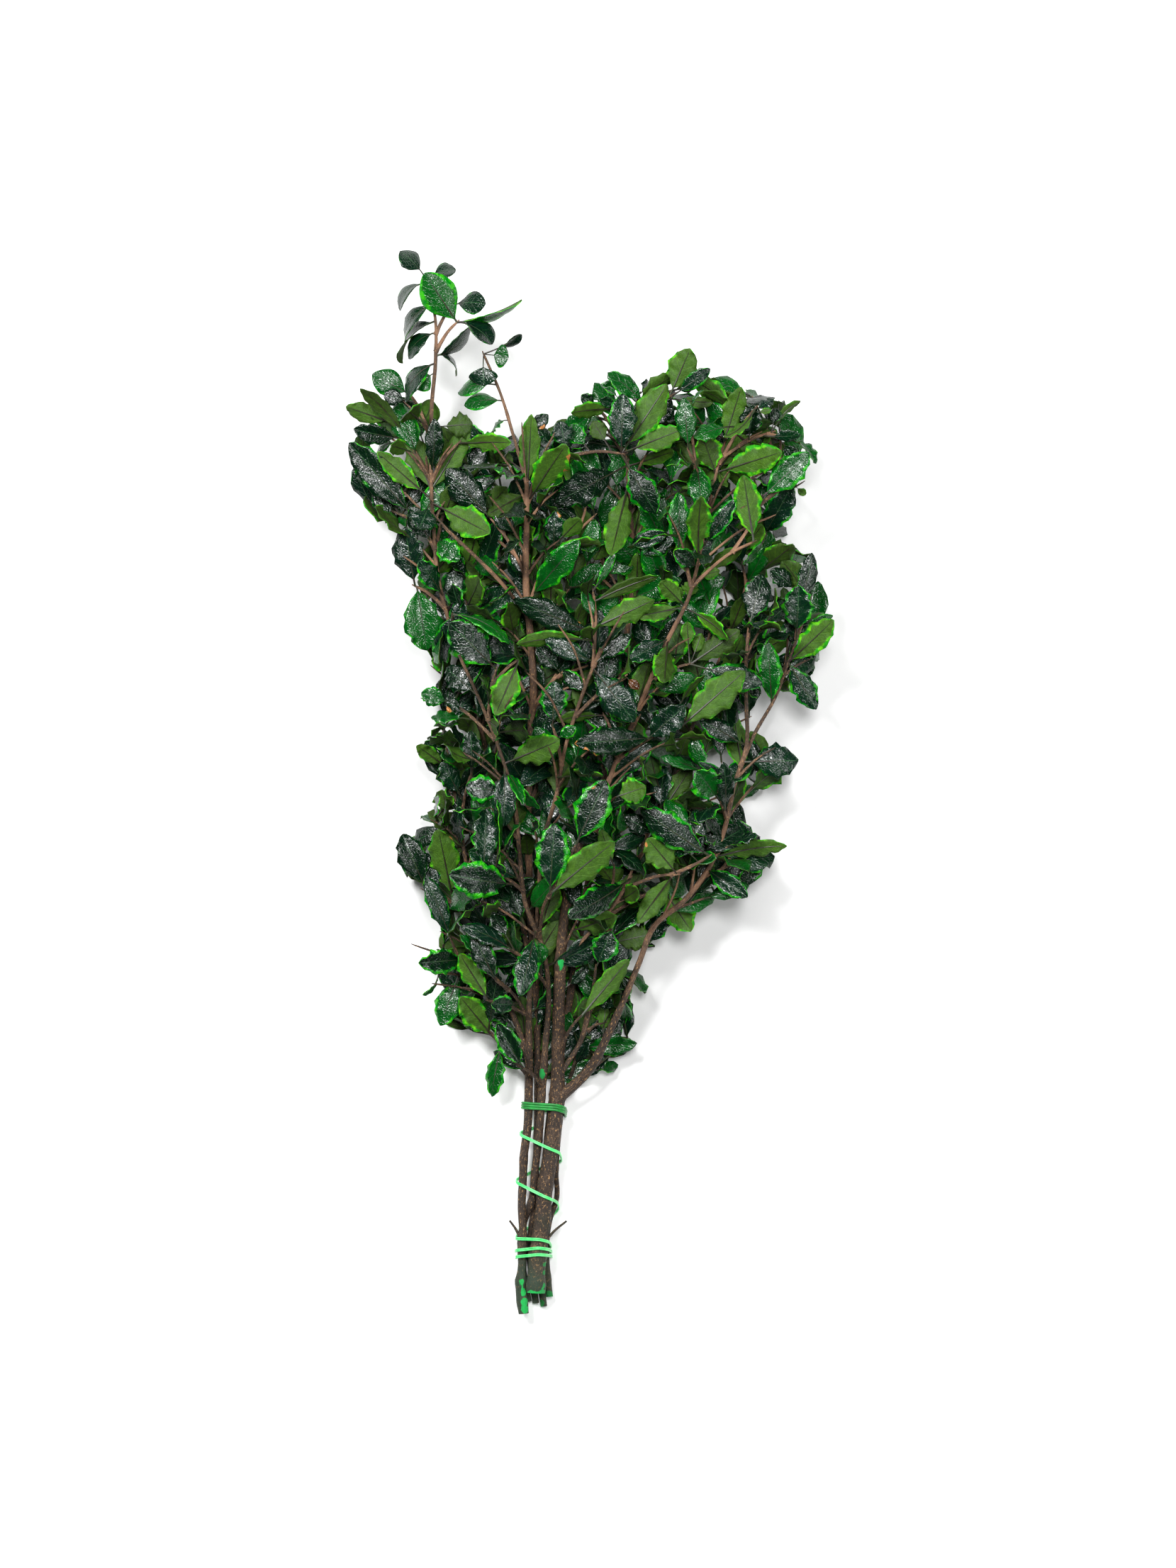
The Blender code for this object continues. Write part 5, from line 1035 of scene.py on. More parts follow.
class LeafPlan:
    """Where every leaf lies and how it is bent."""

    def __init__(self, wood: Wood, clearance: Clearance) -> None:
        """Keeps the wood and what is in the way."""
        self.wood = wood
        self.clearance = clearance
        self.leaves: list[Leaf] = []

    def lay_upper(self, tries: int = 22) -> None:
        """Lays the upper leaves from the highest down, each clear of all others, or else of other stems'."""
        feet = leaf_feet(UPPER_LEAVES)
        found = [self.wood.nearest_place(shoot, feet) for shoot in self.wood.shoots]
        bearers = np.argmin([reach for _, reach in found], axis=0)
        for n in sorted(range(len(feet)), key=lambda n: -UPPER_LEAVES[n][4]):
            place = found[bearers[n]][0][n]
            shoot = self.wood.shoots[bearers[n]]
            for own_counts in (True, False):
                draw = random.Random(BUNCH_SEED * 50 + n)
                drafts = (
                    self.lay_leaf(shoot, place, UPPER_LEAVES[n], draw, effort) for effort in range(tries)
                )
                clear = next((draft for draft in drafts if self.clearance.is_clear(draft, own_counts)), None)
                if clear:
                    clear.seed = n
                    self.clearance.add(*blade_mesh(clear), clear.node)
                    self.leaves.append(clear)
                    break

    @staticmethod
    def lay_leaf(shoot: Shoot, place: np.ndarray, row: tuple, draw: random.Random, effort: int) -> Leaf:
        """Makes an upper leaf from its foot to its tip.

        Args:
            shoot: the wood that bears it.
            place: its foot on that wood.
            row: its row of UPPER_LEAVES.
            draw: seeded draws.
            effort: how many tries have failed, which raises or lowers it and turns it more.

        Returns:
            The leaf.
        """
        x0, y0, x1, y1, height, width, turn, arch, letter, rim = row
        step = (effort + 1) // 2 * (1 if effort % 2 else -1)
        tip = Vector((x1, y1, height + TRY_RISE * step))
        base = Vector(place) + Vector([draw.uniform(-FOOT_STRAY, FOOT_STRAY) for _ in range(3)])
        chord = tip - base
        reach = chord.length
        chord.normalize()
        up = (Vector((0.0, 0.0, 1.0)) - chord * chord.z).normalized()
        roll = math.radians(turn + draw.uniform(-1, 1) * min(TRY_TURN * effort, MOST_TURN))
        normal = up * math.cos(roll) + chord.cross(up) * math.sin(roll)
        bend = max(LEAST_ARCH, arch + draw.uniform(-TRY_ARCH, TRY_ARCH) * effort)
        half = bend / 2
        return Leaf(
            node=shoot.node,
            base=base,
            along=chord * math.cos(half) + normal * math.sin(half),
            face=normal * math.cos(half) - chord * math.sin(half),
            length=reach * half / math.sin(half),
            width=width * (1 - TRY_NARROWING * effort),
            arch=bend,
            wave_phase=draw.uniform(*PHASES),
            wave=MARGIN_WAVE * draw.uniform(*UPPER_WAVES),
            stalk=min(MOST_STALK, ((base.xy - Vector((x0, y0))).length + STALK_MORE) / reach),
            tone=TONE_OF_LETTER[letter],
            rim=rim / 3,
            is_upper=True,
        )

    @staticmethod
    def place_on_twig(shoot: Shoot, back: float) -> tuple[np.ndarray, np.ndarray]:
        """Point and heading at a distance back from a shoot's tip."""
        points = shoot.points[::-1]
        for a, b in zip(points, points[1:]):
            step = np.linalg.norm(b - a)
            if back <= step:
                return a + (b - a) * back / step, (a - b) / step
            back -= step
        return points[-1], (points[-2] - points[-1]) / np.linalg.norm(points[-2] - points[-1])

    def draw_leaf(self, shoot: Shoot, number: int, draw: random.Random, effort: int) -> Leaf:
        """Makes a try at a leaf of a shoot.

        Args:
            shoot: the shoot.
            number: the leaf's number from the tip down.
            draw: seeded draws.
            effort: how many tries have failed, which widens the draws.

        Returns:
            The leaf.
        """
        place, heading = self.place_on_twig(shoot, FIRST_LEAF + number * LEAF_SPACING)
        heading = Vector(heading)
        across = heading.cross(Vector((0.3, 0.1, 1.0))).normalized()
        other = across.cross(heading)
        ease = 0.12 + 0.05 * effort
        turn = shoot.seed * 1.7 + number * GOLDEN_ANGLE + draw.uniform(-1, 1) * (0.25 + 0.12 * effort)
        outward = across * math.cos(turn) + other * math.sin(turn)
        spread = min(SPREAD_MOST, SPREAD + SPREAD_MORE * number)
        spread = math.radians(spread + draw.uniform(-SPREAD_DRAW, SPREAD_DRAW) * (1 + ease * 4))
        along = (heading * math.cos(spread) + outward * math.sin(spread)).normalized()
        face = (heading - along * heading.dot(along)).normalized()
        roll = draw.gauss(0, 0.34 + ease)
        face = (face * math.cos(roll) + along.cross(face) * math.sin(roll)).normalized()
        size = draw.uniform(*SIZES) * min(1.0, SIZE_AT_TIP + SIZE_MORE * number) * TRY_SHRINK**effort
        return Leaf(
            node=shoot.node,
            base=Vector(place),
            along=along,
            face=face,
            length=LEAF_LENGTH * size,
            width=LEAF_WIDTH * size * draw.uniform(*WIDTHS),
            arch=draw.uniform(*ARCHES),
            wave_phase=draw.uniform(*PHASES),
            wave=MARGIN_WAVE * draw.uniform(*TWIG_WAVES),
        )

    def grow_by_rule(
        self, shoots: list[Shoot], numbers: tuple[int, ...], tries: int, stays_below: bool
    ) -> None:
        """Grows leaves round the ends of twigs, each where it crosses nothing.

        Args:
            shoots: the twigs.
            numbers: the leaves' numbers from the tip down.
            tries: tries at each leaf.
            stays_below: whether a leaf may not hide an upper leaf, or close a gap that shows the table.
        """
        for shoot in shoots:
            draw = random.Random(shoot.seed * 7)
            for number in numbers[: shoot.leaves]:
                for effort in range(tries):
                    leaf = self.draw_leaf(shoot, number, draw, effort)
                    if stays_below and self.shows(leaf):
                        continue
                    if self.clearance.is_clear(leaf):
                        self.clearance.add(*blade_mesh(leaf), leaf.node)
                        leaf.seed = len(self.leaves)
                        leaf.tone = FILL_TONES[leaf.seed * 5 % len(FILL_TONES)]
                        leaf.rim = 0.25 * (leaf.seed % 3)
                        self.leaves.append(leaf)
                        break

    def cover_upper(self) -> None:
        """Keeps what finer leaves may not hide: the upper leaves, the stems and the limbs."""
        corners, faces = [], []
        solids = [blade_mesh(leaf) for leaf in self.leaves if leaf.is_upper]
        solids += [
            tube_mesh(shoot.points, shoot.radii)
            for shoot in self.wood.shoots
            if len(shoot.points) > 4 and shoot.radii[0] > 1.1
        ]
        for solid_corners, solid_faces in solids:
            faces += [tuple(k + len(corners) for k in face) for face in solid_faces]
            corners += solid_corners
        self.upper_tree = BVHTree.FromPolygons(corners, faces)
        self.outline = np.array(FOLIAGE_OUTLINE, float)
        self.gaps = np.array(PALE_GAPS, float)
        self.upper_feet = np.array([(x, y, height) for x, y, _, _, height, _, _, _, _, _ in UPPER_LEAVES])

    def is_inside(self, x: float, y: float) -> bool:
        """Whether a place is inside the foliage's outline."""
        a, b = self.outline, np.roll(self.outline, -1, axis=0)
        crosses = (a[:, 1] > y) != (b[:, 1] > y)
        rise = np.where(crosses, b[:, 1] - a[:, 1], 1.0)
        return bool((crosses & (x < a[:, 0] + (b[:, 0] - a[:, 0]) * (y - a[:, 1]) / rise)).sum() % 2)

    def is_gap(self, x: float, y: float, margin: float = GAP_MARGIN) -> bool:
        """Whether a place is in a gap that shows the table."""
        return bool((np.hypot(self.gaps[:, 0] - x, self.gaps[:, 1] - y) < self.gaps[:, 2] + margin).any())

    @staticmethod
    def probes(leaf: Leaf) -> list[Vector]:
        """A few places on a leaf's blade."""
        spots = ((0.3, 0.0), (0.45, 0.7), (0.45, -0.7), (0.7, 0.7), (0.7, -0.7), (0.7, 0.0), (1.0, 0.0))
        found = []
        for t, side_share in spots:
            point, _, side = midrib(leaf, t)
            found.append(point + side * (side_share * leaf.width / 2))
        return found

    def strays(self, leaf: Leaf) -> bool:
        """Whether a finer leaf would close a gap or leave the outline."""
        return any(not self.is_inside(p.x, p.y) or self.is_gap(p.x, p.y) for p in self.probes(leaf))

    def hides_upper(self, leaf: Leaf) -> bool:
        """Whether a finer leaf would lie over an upper leaf, a stem or a limb."""
        down = Vector((0.0, 0.0, -1.0))
        return any(self.upper_tree.ray_cast(p, down)[0] is not None for p in self.probes(leaf))

    def shows(self, leaf: Leaf) -> bool:
        """Whether a finer leaf would show where it may not."""
        return self.strays(leaf) or self.hides_upper(leaf)

    def draw_row(self, x: float, y: float, draw: random.Random, effort: int) -> tuple:
        """Draws a leaf that would hide a bare place, as a row like those of UPPER_LEAVES.

        Args:
            x: the place.
            y: the place.
            draw: seeded draws.
            effort: how many tries have failed, which lowers the leaf and widens the draws.

        Returns:
            The row.
        """
        reach = np.hypot(self.upper_feet[:, 0] - x, self.upper_feet[:, 1] - y) + 4.0
        height = float((self.upper_feet[:, 2] / reach**2).sum() / (1 / reach**2).sum())
        # Away from the crown the tones are mostly dark: painted shade of the leaves that lie deep in the bunch.
        letters = CROWN_FILL if y > CROWN_FROM_Y and x > CROWN_FROM_X else DEEP_FILL_PAINTED_SHADE
        height = max(FILL_LOWEST, height - draw.uniform(*FILL_DROP) - FILL_TRY_DROP * effort)
        heading = math.atan2(y - FAN_FOOT[1], x - FAN_FOOT[0]) + draw.uniform(-1, 1) * FILL_SPREAD
        length = LEAF_LENGTH * draw.uniform(*FILL_SIZES) * TRY_SHRINK**effort
        at = draw.uniform(*FILL_MIDDLES)
        across, along = math.cos(heading), math.sin(heading)
        turn = draw.choice(FILL_SIDES) + draw.uniform(-FILL_TURN, FILL_TURN)
        arch = draw.uniform(*FILL_ARCHES)
        width = length * draw.uniform(*FILL_WIDTHS)
        return (
            x - across * length * at, y - along * length * at,
            x + across * length * (1 - at), y + along * length * (1 - at),
            height, width, turn, arch, draw.choice(letters), draw.choice(FILL_RIMS),
        )

    def fill_bare_places(self, cover: "CoverMap", number: int) -> list[tuple]:
        """Draws leaves until few places inside the outline are bare.

        Args:
            cover: a bare raster.
            number: which pass this is.

        Returns:
            The leaves' rows.
        """
        rows = []
        draw = random.Random(BUNCH_SEED * 11 + number)
        for leaf in self.leaves:
            cover.mark(leaf)
        for _ in range(FILL_ROUNDS):
            places = cover.bare_places(lambda x, y: self.is_inside(x, y) and not self.is_gap(x, y, 0.0))
            draw.shuffle(places)
            for x, y in places:
                if cover.is_marked(x, y):
                    continue
                for effort in range(FILL_TRIES * (1 + number)):
                    row = self.draw_row(x, y, draw, effort)
                    foot = Shoot("", None, (0, 0.0), leaf_feet([row, row]), np.ones(2))
                    leaf = self.lay_leaf(foot, foot.points[0], row, draw, 0)
                    if self.is_inside(row[0], row[1]) and not self.shows(leaf):
                        cover.mark(leaf)
                        rows.append(row)
                        break
        return rows

    def lay_fill(self, rows: list[tuple]) -> None:
        """Lays the drawn leaves on the nearest wood, clear of the others where a few tries allow it."""
        feet = leaf_feet(rows)
        found = [self.wood.nearest_place(shoot, feet) for shoot in self.wood.shoots]
        bearers = np.argmin([reach for _, reach in found], axis=0)
        for n, row in enumerate(rows):
            shoot, place = self.wood.shoots[bearers[n]], found[bearers[n]][0][n]
            draw = random.Random(BUNCH_SEED * 90 + n)
            drafts = [self.lay_leaf(shoot, place, row, draw, effort) for effort in range(FILL_LAY_TRIES)]
            hidden = [draft for draft in drafts if not self.hides_upper(draft)] or drafts[:1]
            leaf = next((draft for draft in hidden if self.clearance.is_clear(draft)), hidden[0])
            leaf.is_upper = False
            leaf.seed = len(self.leaves)
            self.clearance.add(*blade_mesh(leaf), leaf.node)
            self.leaves.append(leaf)


class CoverMap:
    """A raster of the table that tells which places are hidden by leaves, seen from above."""

    def __init__(self) -> None:
        """Starts bare, over the foliage's outline."""
        corners = np.array(FOLIAGE_OUTLINE, float)
        self.low = corners.min(axis=0) - COVER_CELL
        size = np.ceil((corners.max(axis=0) - self.low) / COVER_CELL).astype(int) + 1
        self.marked = np.zeros(size, bool)

    def cell(self, x: float, y: float) -> tuple[int, int]:
        """The cell that a place is in."""
        i, j = int((x - self.low[0]) / COVER_CELL), int((y - self.low[1]) / COVER_CELL)
        return min(max(i, 0), self.marked.shape[0] - 1), min(max(j, 0), self.marked.shape[1] - 1)

    def is_marked(self, x: float, y: float) -> bool:
        """Whether a place is hidden."""
        return bool(self.marked[self.cell(x, y)])

    def mark(self, leaf: Leaf) -> None:
        """Marks the cells that a leaf's blade hides."""
        for share in np.linspace(0.06, 0.97, 16):
            point, _, side = midrib(leaf, leaf.stalk + (1 - leaf.stalk) * float(share))
            reach = leaf.width / 2 * outline_share(float(share))
            for across in np.linspace(-0.9, 0.9, 9):
                spot = point + side * (float(across) * reach)
                self.marked[self.cell(spot.x, spot.y)] = True

    def bare_places(self, counts: Callable[[float, float], bool]) -> list[tuple[float, float]]:
        """The middles of the cells that are bare and count."""
        spots = [(self.low[0] + (i + 0.5) * COVER_CELL, self.low[1] + (j + 0.5) * COVER_CELL)
                 for i, j in np.argwhere(~self.marked)]
        return [(float(x), float(y)) for x, y in spots if counts(x, y)]


def deselect_all() -> None:
    """Leaves edit mode and deselects every object."""
    if bpy.context.object and bpy.context.object.mode != "OBJECT":
        bpy.ops.object.mode_set(mode="OBJECT")
    bpy.ops.object.select_all(action="DESELECT")


def make_active(thing: bpy.types.Object) -> None:
    """Selects one object alone and makes it the active one."""
    deselect_all()
    thing.select_set(True)
    bpy.context.view_layer.objects.active = thing


def open_merged(piece: bpy.types.Object) -> None:
    """Opens a piece in edit mode, merges its seams and selects all of it."""
    make_active(piece)
    bpy.ops.object.mode_set(mode="EDIT")
    bpy.ops.mesh.select_all(action="SELECT")
    bpy.ops.mesh.remove_doubles(threshold=SEAM * MM)
    bpy.ops.mesh.select_all(action="SELECT")


def dress(piece: bpy.types.Object, finishes: list[bpy.types.Material]) -> None:
    """Gives a piece these materials and no others."""
    piece.data.materials.clear()
    for finish in finishes:
        piece.data.materials.append(finish)


def join_pieces(pieces: list[bpy.types.Object], name: str) -> bpy.types.Object:
    """Joins objects in one.

    Args:
        pieces: the objects, the first of which is kept.
        name: name of the joined object.

    Returns:
        The joined object.
    """
    deselect_all()
    for piece in pieces:
        piece.select_set(True)
    bpy.context.view_layer.objects.active = pieces[0]
    bpy.ops.object.join()
    joined = bpy.context.object
    joined.name = name
    joined.data.name = name
    return joined


def copy_with(blank: bpy.types.Object, places: np.ndarray) -> bpy.types.Object:
    """Copies a blank with a mesh of its own.

    Args:
        blank: the blank.
        places: where each of its corners goes, in metres.

    Returns:
        The copy.
    """
    copy = bpy.data.objects.new(blank.name + "_copy", blank.data.copy())
    bpy.context.scene.collection.objects.link(copy)
    copy.data.vertices.foreach_set("co", places.astype(np.float32).ravel())
    return copy


def corners_of(thing: bpy.types.Object) -> np.ndarray:
    """The corners of a mesh object."""
    places = np.zeros(len(thing.data.vertices) * 3, np.float32)
    thing.data.vertices.foreach_get("co", places)
    return places.reshape(-1, 3).astype(float)


def set_attribute(thing: bpy.types.Object, name: str, values: np.ndarray | float) -> None:
    """Stores a number for each corner of a mesh, or the same number for all of them."""
    count = len(thing.data.vertices)
    attribute = thing.data.attributes.get(name) or thing.data.attributes.new(name, "FLOAT", "POINT")
    attribute.data.foreach_set("value", np.broadcast_to(values, count).astype(np.float32))


@dataclass
class Nodes:
    """A material's node tree, with short calls for the nodes that the finishes use."""

    name: str
    made: bpy.types.Material = field(init=False)

    def __post_init__(self) -> None:
        """Makes the material and finds its shader."""
        self.made = bpy.data.materials.new(self.name)
        self.made.use_nodes = True
        self.tree = self.made.node_tree
        self.shader = self.tree.nodes["Principled BSDF"]

    def link(self, source: object, target: bpy.types.NodeSocket) -> None:
        """Connects a socket, or sets a plain value."""
        if isinstance(source, bpy.types.NodeSocket):
            self.tree.links.new(source, target)
        elif isinstance(source, tuple) and target.type == "RGBA":
            target.default_value = (*source, 1.0)
        else:
            target.default_value = source

    def node(self, kind: str, **settings: object) -> bpy.types.Node:
        """Adds a node with its settings."""
        made = self.tree.nodes.new(kind)
        for key, value in settings.items():
            setattr(made, key, value)
        return made

    def attribute(self, name: str) -> bpy.types.NodeSocket:
        """Reads a number stored on the mesh."""
        return self.node("ShaderNodeAttribute", attribute_name=name).outputs["Fac"]

    def uv(self) -> bpy.types.NodeSocket:
        """Reads the piece's UV map."""
        return self.node("ShaderNodeUVMap", uv_map="UVMap").outputs["UV"]

    def place(self) -> bpy.types.NodeSocket:
        """Reads the place in the frame, in metres."""
        return self.node("ShaderNodeTexCoord").outputs["Object"]

    def split(self, vector: bpy.types.NodeSocket) -> list:
        """The three numbers of a vector."""
        made = self.node("ShaderNodeSeparateXYZ")
        self.link(vector, made.inputs[0])
        return list(made.outputs)

    def calc(self, operation: str, a: object, b: object = 0.0) -> bpy.types.NodeSocket:
        """One sum on numbers."""
        made = self.node("ShaderNodeMath", operation=operation)
        self.link(a, made.inputs[0])
        self.link(b, made.inputs[1])
        return made.outputs[0]

    def plus(self, a: object, b: object) -> bpy.types.NodeSocket:
        """The sum of two numbers."""
        return self.calc("ADD", a, b)

    def minus(self, a: object, b: object) -> bpy.types.NodeSocket:
        """One number less another."""
        return self.calc("SUBTRACT", a, b)

    def times(self, a: object, b: object) -> bpy.types.NodeSocket:
        """The product of two numbers."""
        return self.calc("MULTIPLY", a, b)

    def swing(self, value: object, width: float) -> bpy.types.NodeSocket:
        """A number from 0 to 1 brought to swing about 0, over this width in all."""
        return self.times(self.minus(value, 0.5), width)

    def step(self, value: object, low: float, high: float) -> bpy.types.NodeSocket:
        """A smooth step from 0 below low to 1 above high, or the other way round."""
        made = self.node("ShaderNodeMapRange", interpolation_type="SMOOTHSTEP")
        rising = low < high
        for target, source in zip(made.inputs[:5], (value, min(low, high), max(low, high), 0.0, 1.0)):
            self.link(source, target)
        if not rising:
            made.inputs[3].default_value, made.inputs[4].default_value = 1.0, 0.0
        return made.outputs[0]

    def mix(self, share: object, a: object, b: object) -> bpy.types.NodeSocket:
        """A colour between two."""
        made = self.node("ShaderNodeMix", data_type="RGBA")
        self.link(share, made.inputs["Factor"])
        self.link(a, made.inputs[6])
        self.link(b, made.inputs[7])
        return made.outputs[2]

    def ramp(self, value: object, stops: tuple) -> bpy.types.NodeSocket:
        """A colour from a row of places and colours."""
        made = self.node("ShaderNodeValToRGB")
        elements = made.color_ramp.elements
        while len(elements) < len(stops):
            elements.new(0.5)
        for element, (place, colour) in zip(elements, stops):
            element.position = place
            element.color = (*colour, 1.0)
        self.link(value, made.inputs[0])
        return made.outputs[0]

    def noise(
        self, vector: object, scale: float, detail: float = 3.0, rough: float = 0.5
    ) -> bpy.types.NodeSocket:
        """Soft noise from 0 to 1."""
        made = self.node("ShaderNodeTexNoise")
        self.link(vector, made.inputs["Vector"])
        made.inputs["Scale"].default_value = scale
        made.inputs["Detail"].default_value = detail
        made.inputs["Roughness"].default_value = rough
        return made.outputs["Fac"]

    def cells(self, vector: object, scale: float, feature: str = "DISTANCE_TO_EDGE") -> bpy.types.NodeSocket:
        """Distance in a pattern of cells."""
        made = self.node("ShaderNodeTexVoronoi", feature=feature)
        self.link(vector, made.inputs["Vector"])
        made.inputs["Scale"].default_value = scale
        return made.outputs["Distance"]

    def scaled(self, vector: object, by: tuple) -> bpy.types.NodeSocket:
        """A vector times another."""
        made = self.node("ShaderNodeVectorMath", operation="MULTIPLY")
        self.link(vector, made.inputs[0])
        made.inputs[1].default_value = by
        return made.outputs[0]

    def bump(self, height: object, depth: float) -> None:
        """Raises the surface by a height from 0 to 1 times a depth in metres."""
        made = self.node("ShaderNodeBump")
        made.inputs["Strength"].default_value = 1.0
        made.inputs["Distance"].default_value = depth
        self.link(height, made.inputs["Height"])
        self.link(made.outputs[0], self.shader.inputs["Normal"])

    def surface(self, **values: object) -> None:
        """Sets or links the shader's own sockets, by their names with _ for a space."""
        for key, value in values.items():
            self.link(value, self.shader.inputs[key.replace("_", " ")])


@dataclass(frozen=True)
class LeafFinish:
    """One side of a waxy leaf: its colour by tone, veins, bright margin, gloss and fine wrinkles.

    Attributes:
        name: the material's name.
        tones: colour ramp from dark leaves to light ones.
        rib: colour of the midrib.
        vein: how much lighter the side veins are.
        margin: colours of the margin, mottled between the two.
        roughness: lowest and highest roughness.
        specular: how much the surface mirrors.
        relief: depth of the wrinkles in metres.
        rib_width: half-width of the midrib, as a share of the blade's.
        brown: colour of a dead leaf.
        dry: colour of the dry spots.
        veins: how many side veins there are.
        vein_lean: how far they lean towards the tip.
        broad_scale: how fine the noise is that shades the blade, per metre, as are those below.
        fleck_scale: that of the small dark flecks.
        wobble_scale: that of the veins' unevenness.
        edge_scale: that of the ragged inner edge of the margin.
        patch_scale: that of the margin's patches.
        mottle_scale: that of the two colours of the margin.
        gloss_scale: that of the roughness.
        net_scale: that of the net of fine wrinkles.
    """

    name: str
    tones: tuple
    rib: tuple
    vein: float
    margin: tuple
    roughness: tuple
    specular: float
    relief: float
    rib_width: float
    brown: tuple = (0.10, 0.035, 0.010)
    dry: tuple = (0.42, 0.17, 0.045)
    veins: float = 7.0
    vein_lean: float = 0.22
    broad_scale: float = 70.0
    fleck_scale: float = 420.0
    wobble_scale: float = 160.0
    edge_scale: float = 260.0
    patch_scale: float = 105.0
    mottle_scale: float = 330.0
    gloss_scale: float = 300.0
    net_scale: float = 620.0

    def material(self) -> bpy.types.Material:
        """Makes the material."""
        n = Nodes(self.name)
        u, v, _ = n.split(n.uv())
        across = n.calc("ABSOLUTE", n.minus(n.times(u, 2.0), 1.0))
        place = n.place()
        broad = n.noise(place, self.broad_scale, 2.0)
        fine = n.noise(place, self.fleck_scale, 3.0, 0.6)
        tone = n.attribute("tone")
        colour = n.ramp(n.plus(tone, n.swing(broad, 0.25)), self.tones)
        colour = n.mix(n.step(fine, 0.35, 0.75), n.mix(0.35, colour, (0.0, 0.0, 0.0)), colour)
        veins = self.vein_share(n, place, across, v)
        colour = n.mix(n.times(veins, self.vein), colour, self.tones[-1][1])
        colour = n.mix(n.step(across, self.rib_width, self.rib_width * 0.4), colour, self.rib)
        colour = n.mix(n.step(tone, 0.93, 0.99), colour, self.brown)
        rim_share = self.rim_share(n, place, across)
        mottle = n.step(n.noise(place, self.mottle_scale, 1.0), 0.42, 0.62)
        colour = n.mix(rim_share, colour, n.mix(mottle, *self.margin))
        dry_share = n.step(n.plus(n.attribute("dry"), n.swing(fine, 0.5)), 0.45, 0.6)
        colour = n.mix(dry_share, colour, self.dry)
        low, high = self.roughness
        rough = n.plus(n.times(n.noise(place, self.gloss_scale, 2.0), high - low), low)
        net = n.step(n.cells(place, self.net_scale), 0.0, 0.22)
        ridges = n.plus(n.times(net, 0.5), n.times(broad, 0.8))
        n.bump(n.minus(ridges, n.times(veins, 0.5)), self.relief)
        n.surface(Base_Color=colour, Roughness=rough, Specular_IOR_Level=self.specular)
        return n.made

    def vein_share(
        self, n: Nodes, place: bpy.types.NodeSocket, across: bpy.types.NodeSocket, v: bpy.types.NodeSocket
    ) -> bpy.types.NodeSocket:
        """Where the side veins are, leaning towards the tip and a little uneven.

        Args:
            n: the material's nodes.
            place: the place in the frame.
            across: distance from the midrib, as a share of the blade's half-width.
            v: the share along the blade.

        Returns:
            1 on a vein, 0 between two.
        """
        lean = n.minus(v, n.times(across, self.vein_lean))
        wobble = n.swing(n.noise(place, self.wobble_scale, 1.0), 0.06)
        wave = n.calc("SINE", n.times(n.plus(lean, wobble), 2 * math.pi * self.veins))
        return n.step(wave, 0.86, 1.0)

    def rim_share(
        self, n: Nodes, place: bpy.types.NodeSocket, across: bpy.types.NodeSocket
    ) -> bpy.types.NodeSocket:
        """Where the bright margin is: wider on leaves with more of it, ragged and in patches.

        Args:
            n: the material's nodes.
            place: the place in the frame.
            across: distance from the midrib, as a share of the blade's half-width.

        Returns:
            1 on the margin, 0 inside it.
        """
        rim = n.attribute("rim")
        edge = n.plus(across, n.swing(n.noise(place, self.edge_scale, 2.0), 0.5))
        edge = n.plus(edge, n.times(n.minus(rim, 1.0), 0.17))
        patches = n.step(n.plus(n.noise(place, self.patch_scale, 1.0), n.times(rim, 0.30)), 0.52, 0.78)
        return n.times(n.step(edge, 0.64, 0.84), patches)


UPPER_SIDE = LeafFinish(
    name="leaf_upper",
    tones=(
        (0.0, (0.0004, 0.0120, 0.0030)),
        (0.3, (0.0016, 0.0170, 0.0080)),
        (0.55, (0.0004, 0.0480, 0.0050)),
        (0.8, (0.0008, 0.0950, 0.0060)),
        (1.0, (0.0160, 0.1600, 0.0060)),
    ),
    rib=(0.016, 0.060, 0.020),
    vein=0.10,
    margin=((0.001, 0.200, 0.006), (0.034, 0.420, 0.006)),
    roughness=(0.16, 0.28),
    specular=0.5,
    relief=0.00016,
    rib_width=0.06,
)

UNDER_SIDE = LeafFinish(
    name="leaf_underside",
    tones=(
        (0.0, (0.0140, 0.0500, 0.0030)),
        (0.3, (0.0370, 0.0840, 0.0070)),
        (0.8, (0.0540, 0.1400, 0.0110)),
        (1.0, (0.0900, 0.2100, 0.0060)),
    ),
    rib=(0.012, 0.020, 0.006),
    vein=0.22,
    margin=((0.014, 0.300, 0.002), (0.130, 0.560, 0.006)),
    roughness=(0.50, 0.68),
    specular=0.28,
    relief=0.00016,
    rib_width=0.035,
)


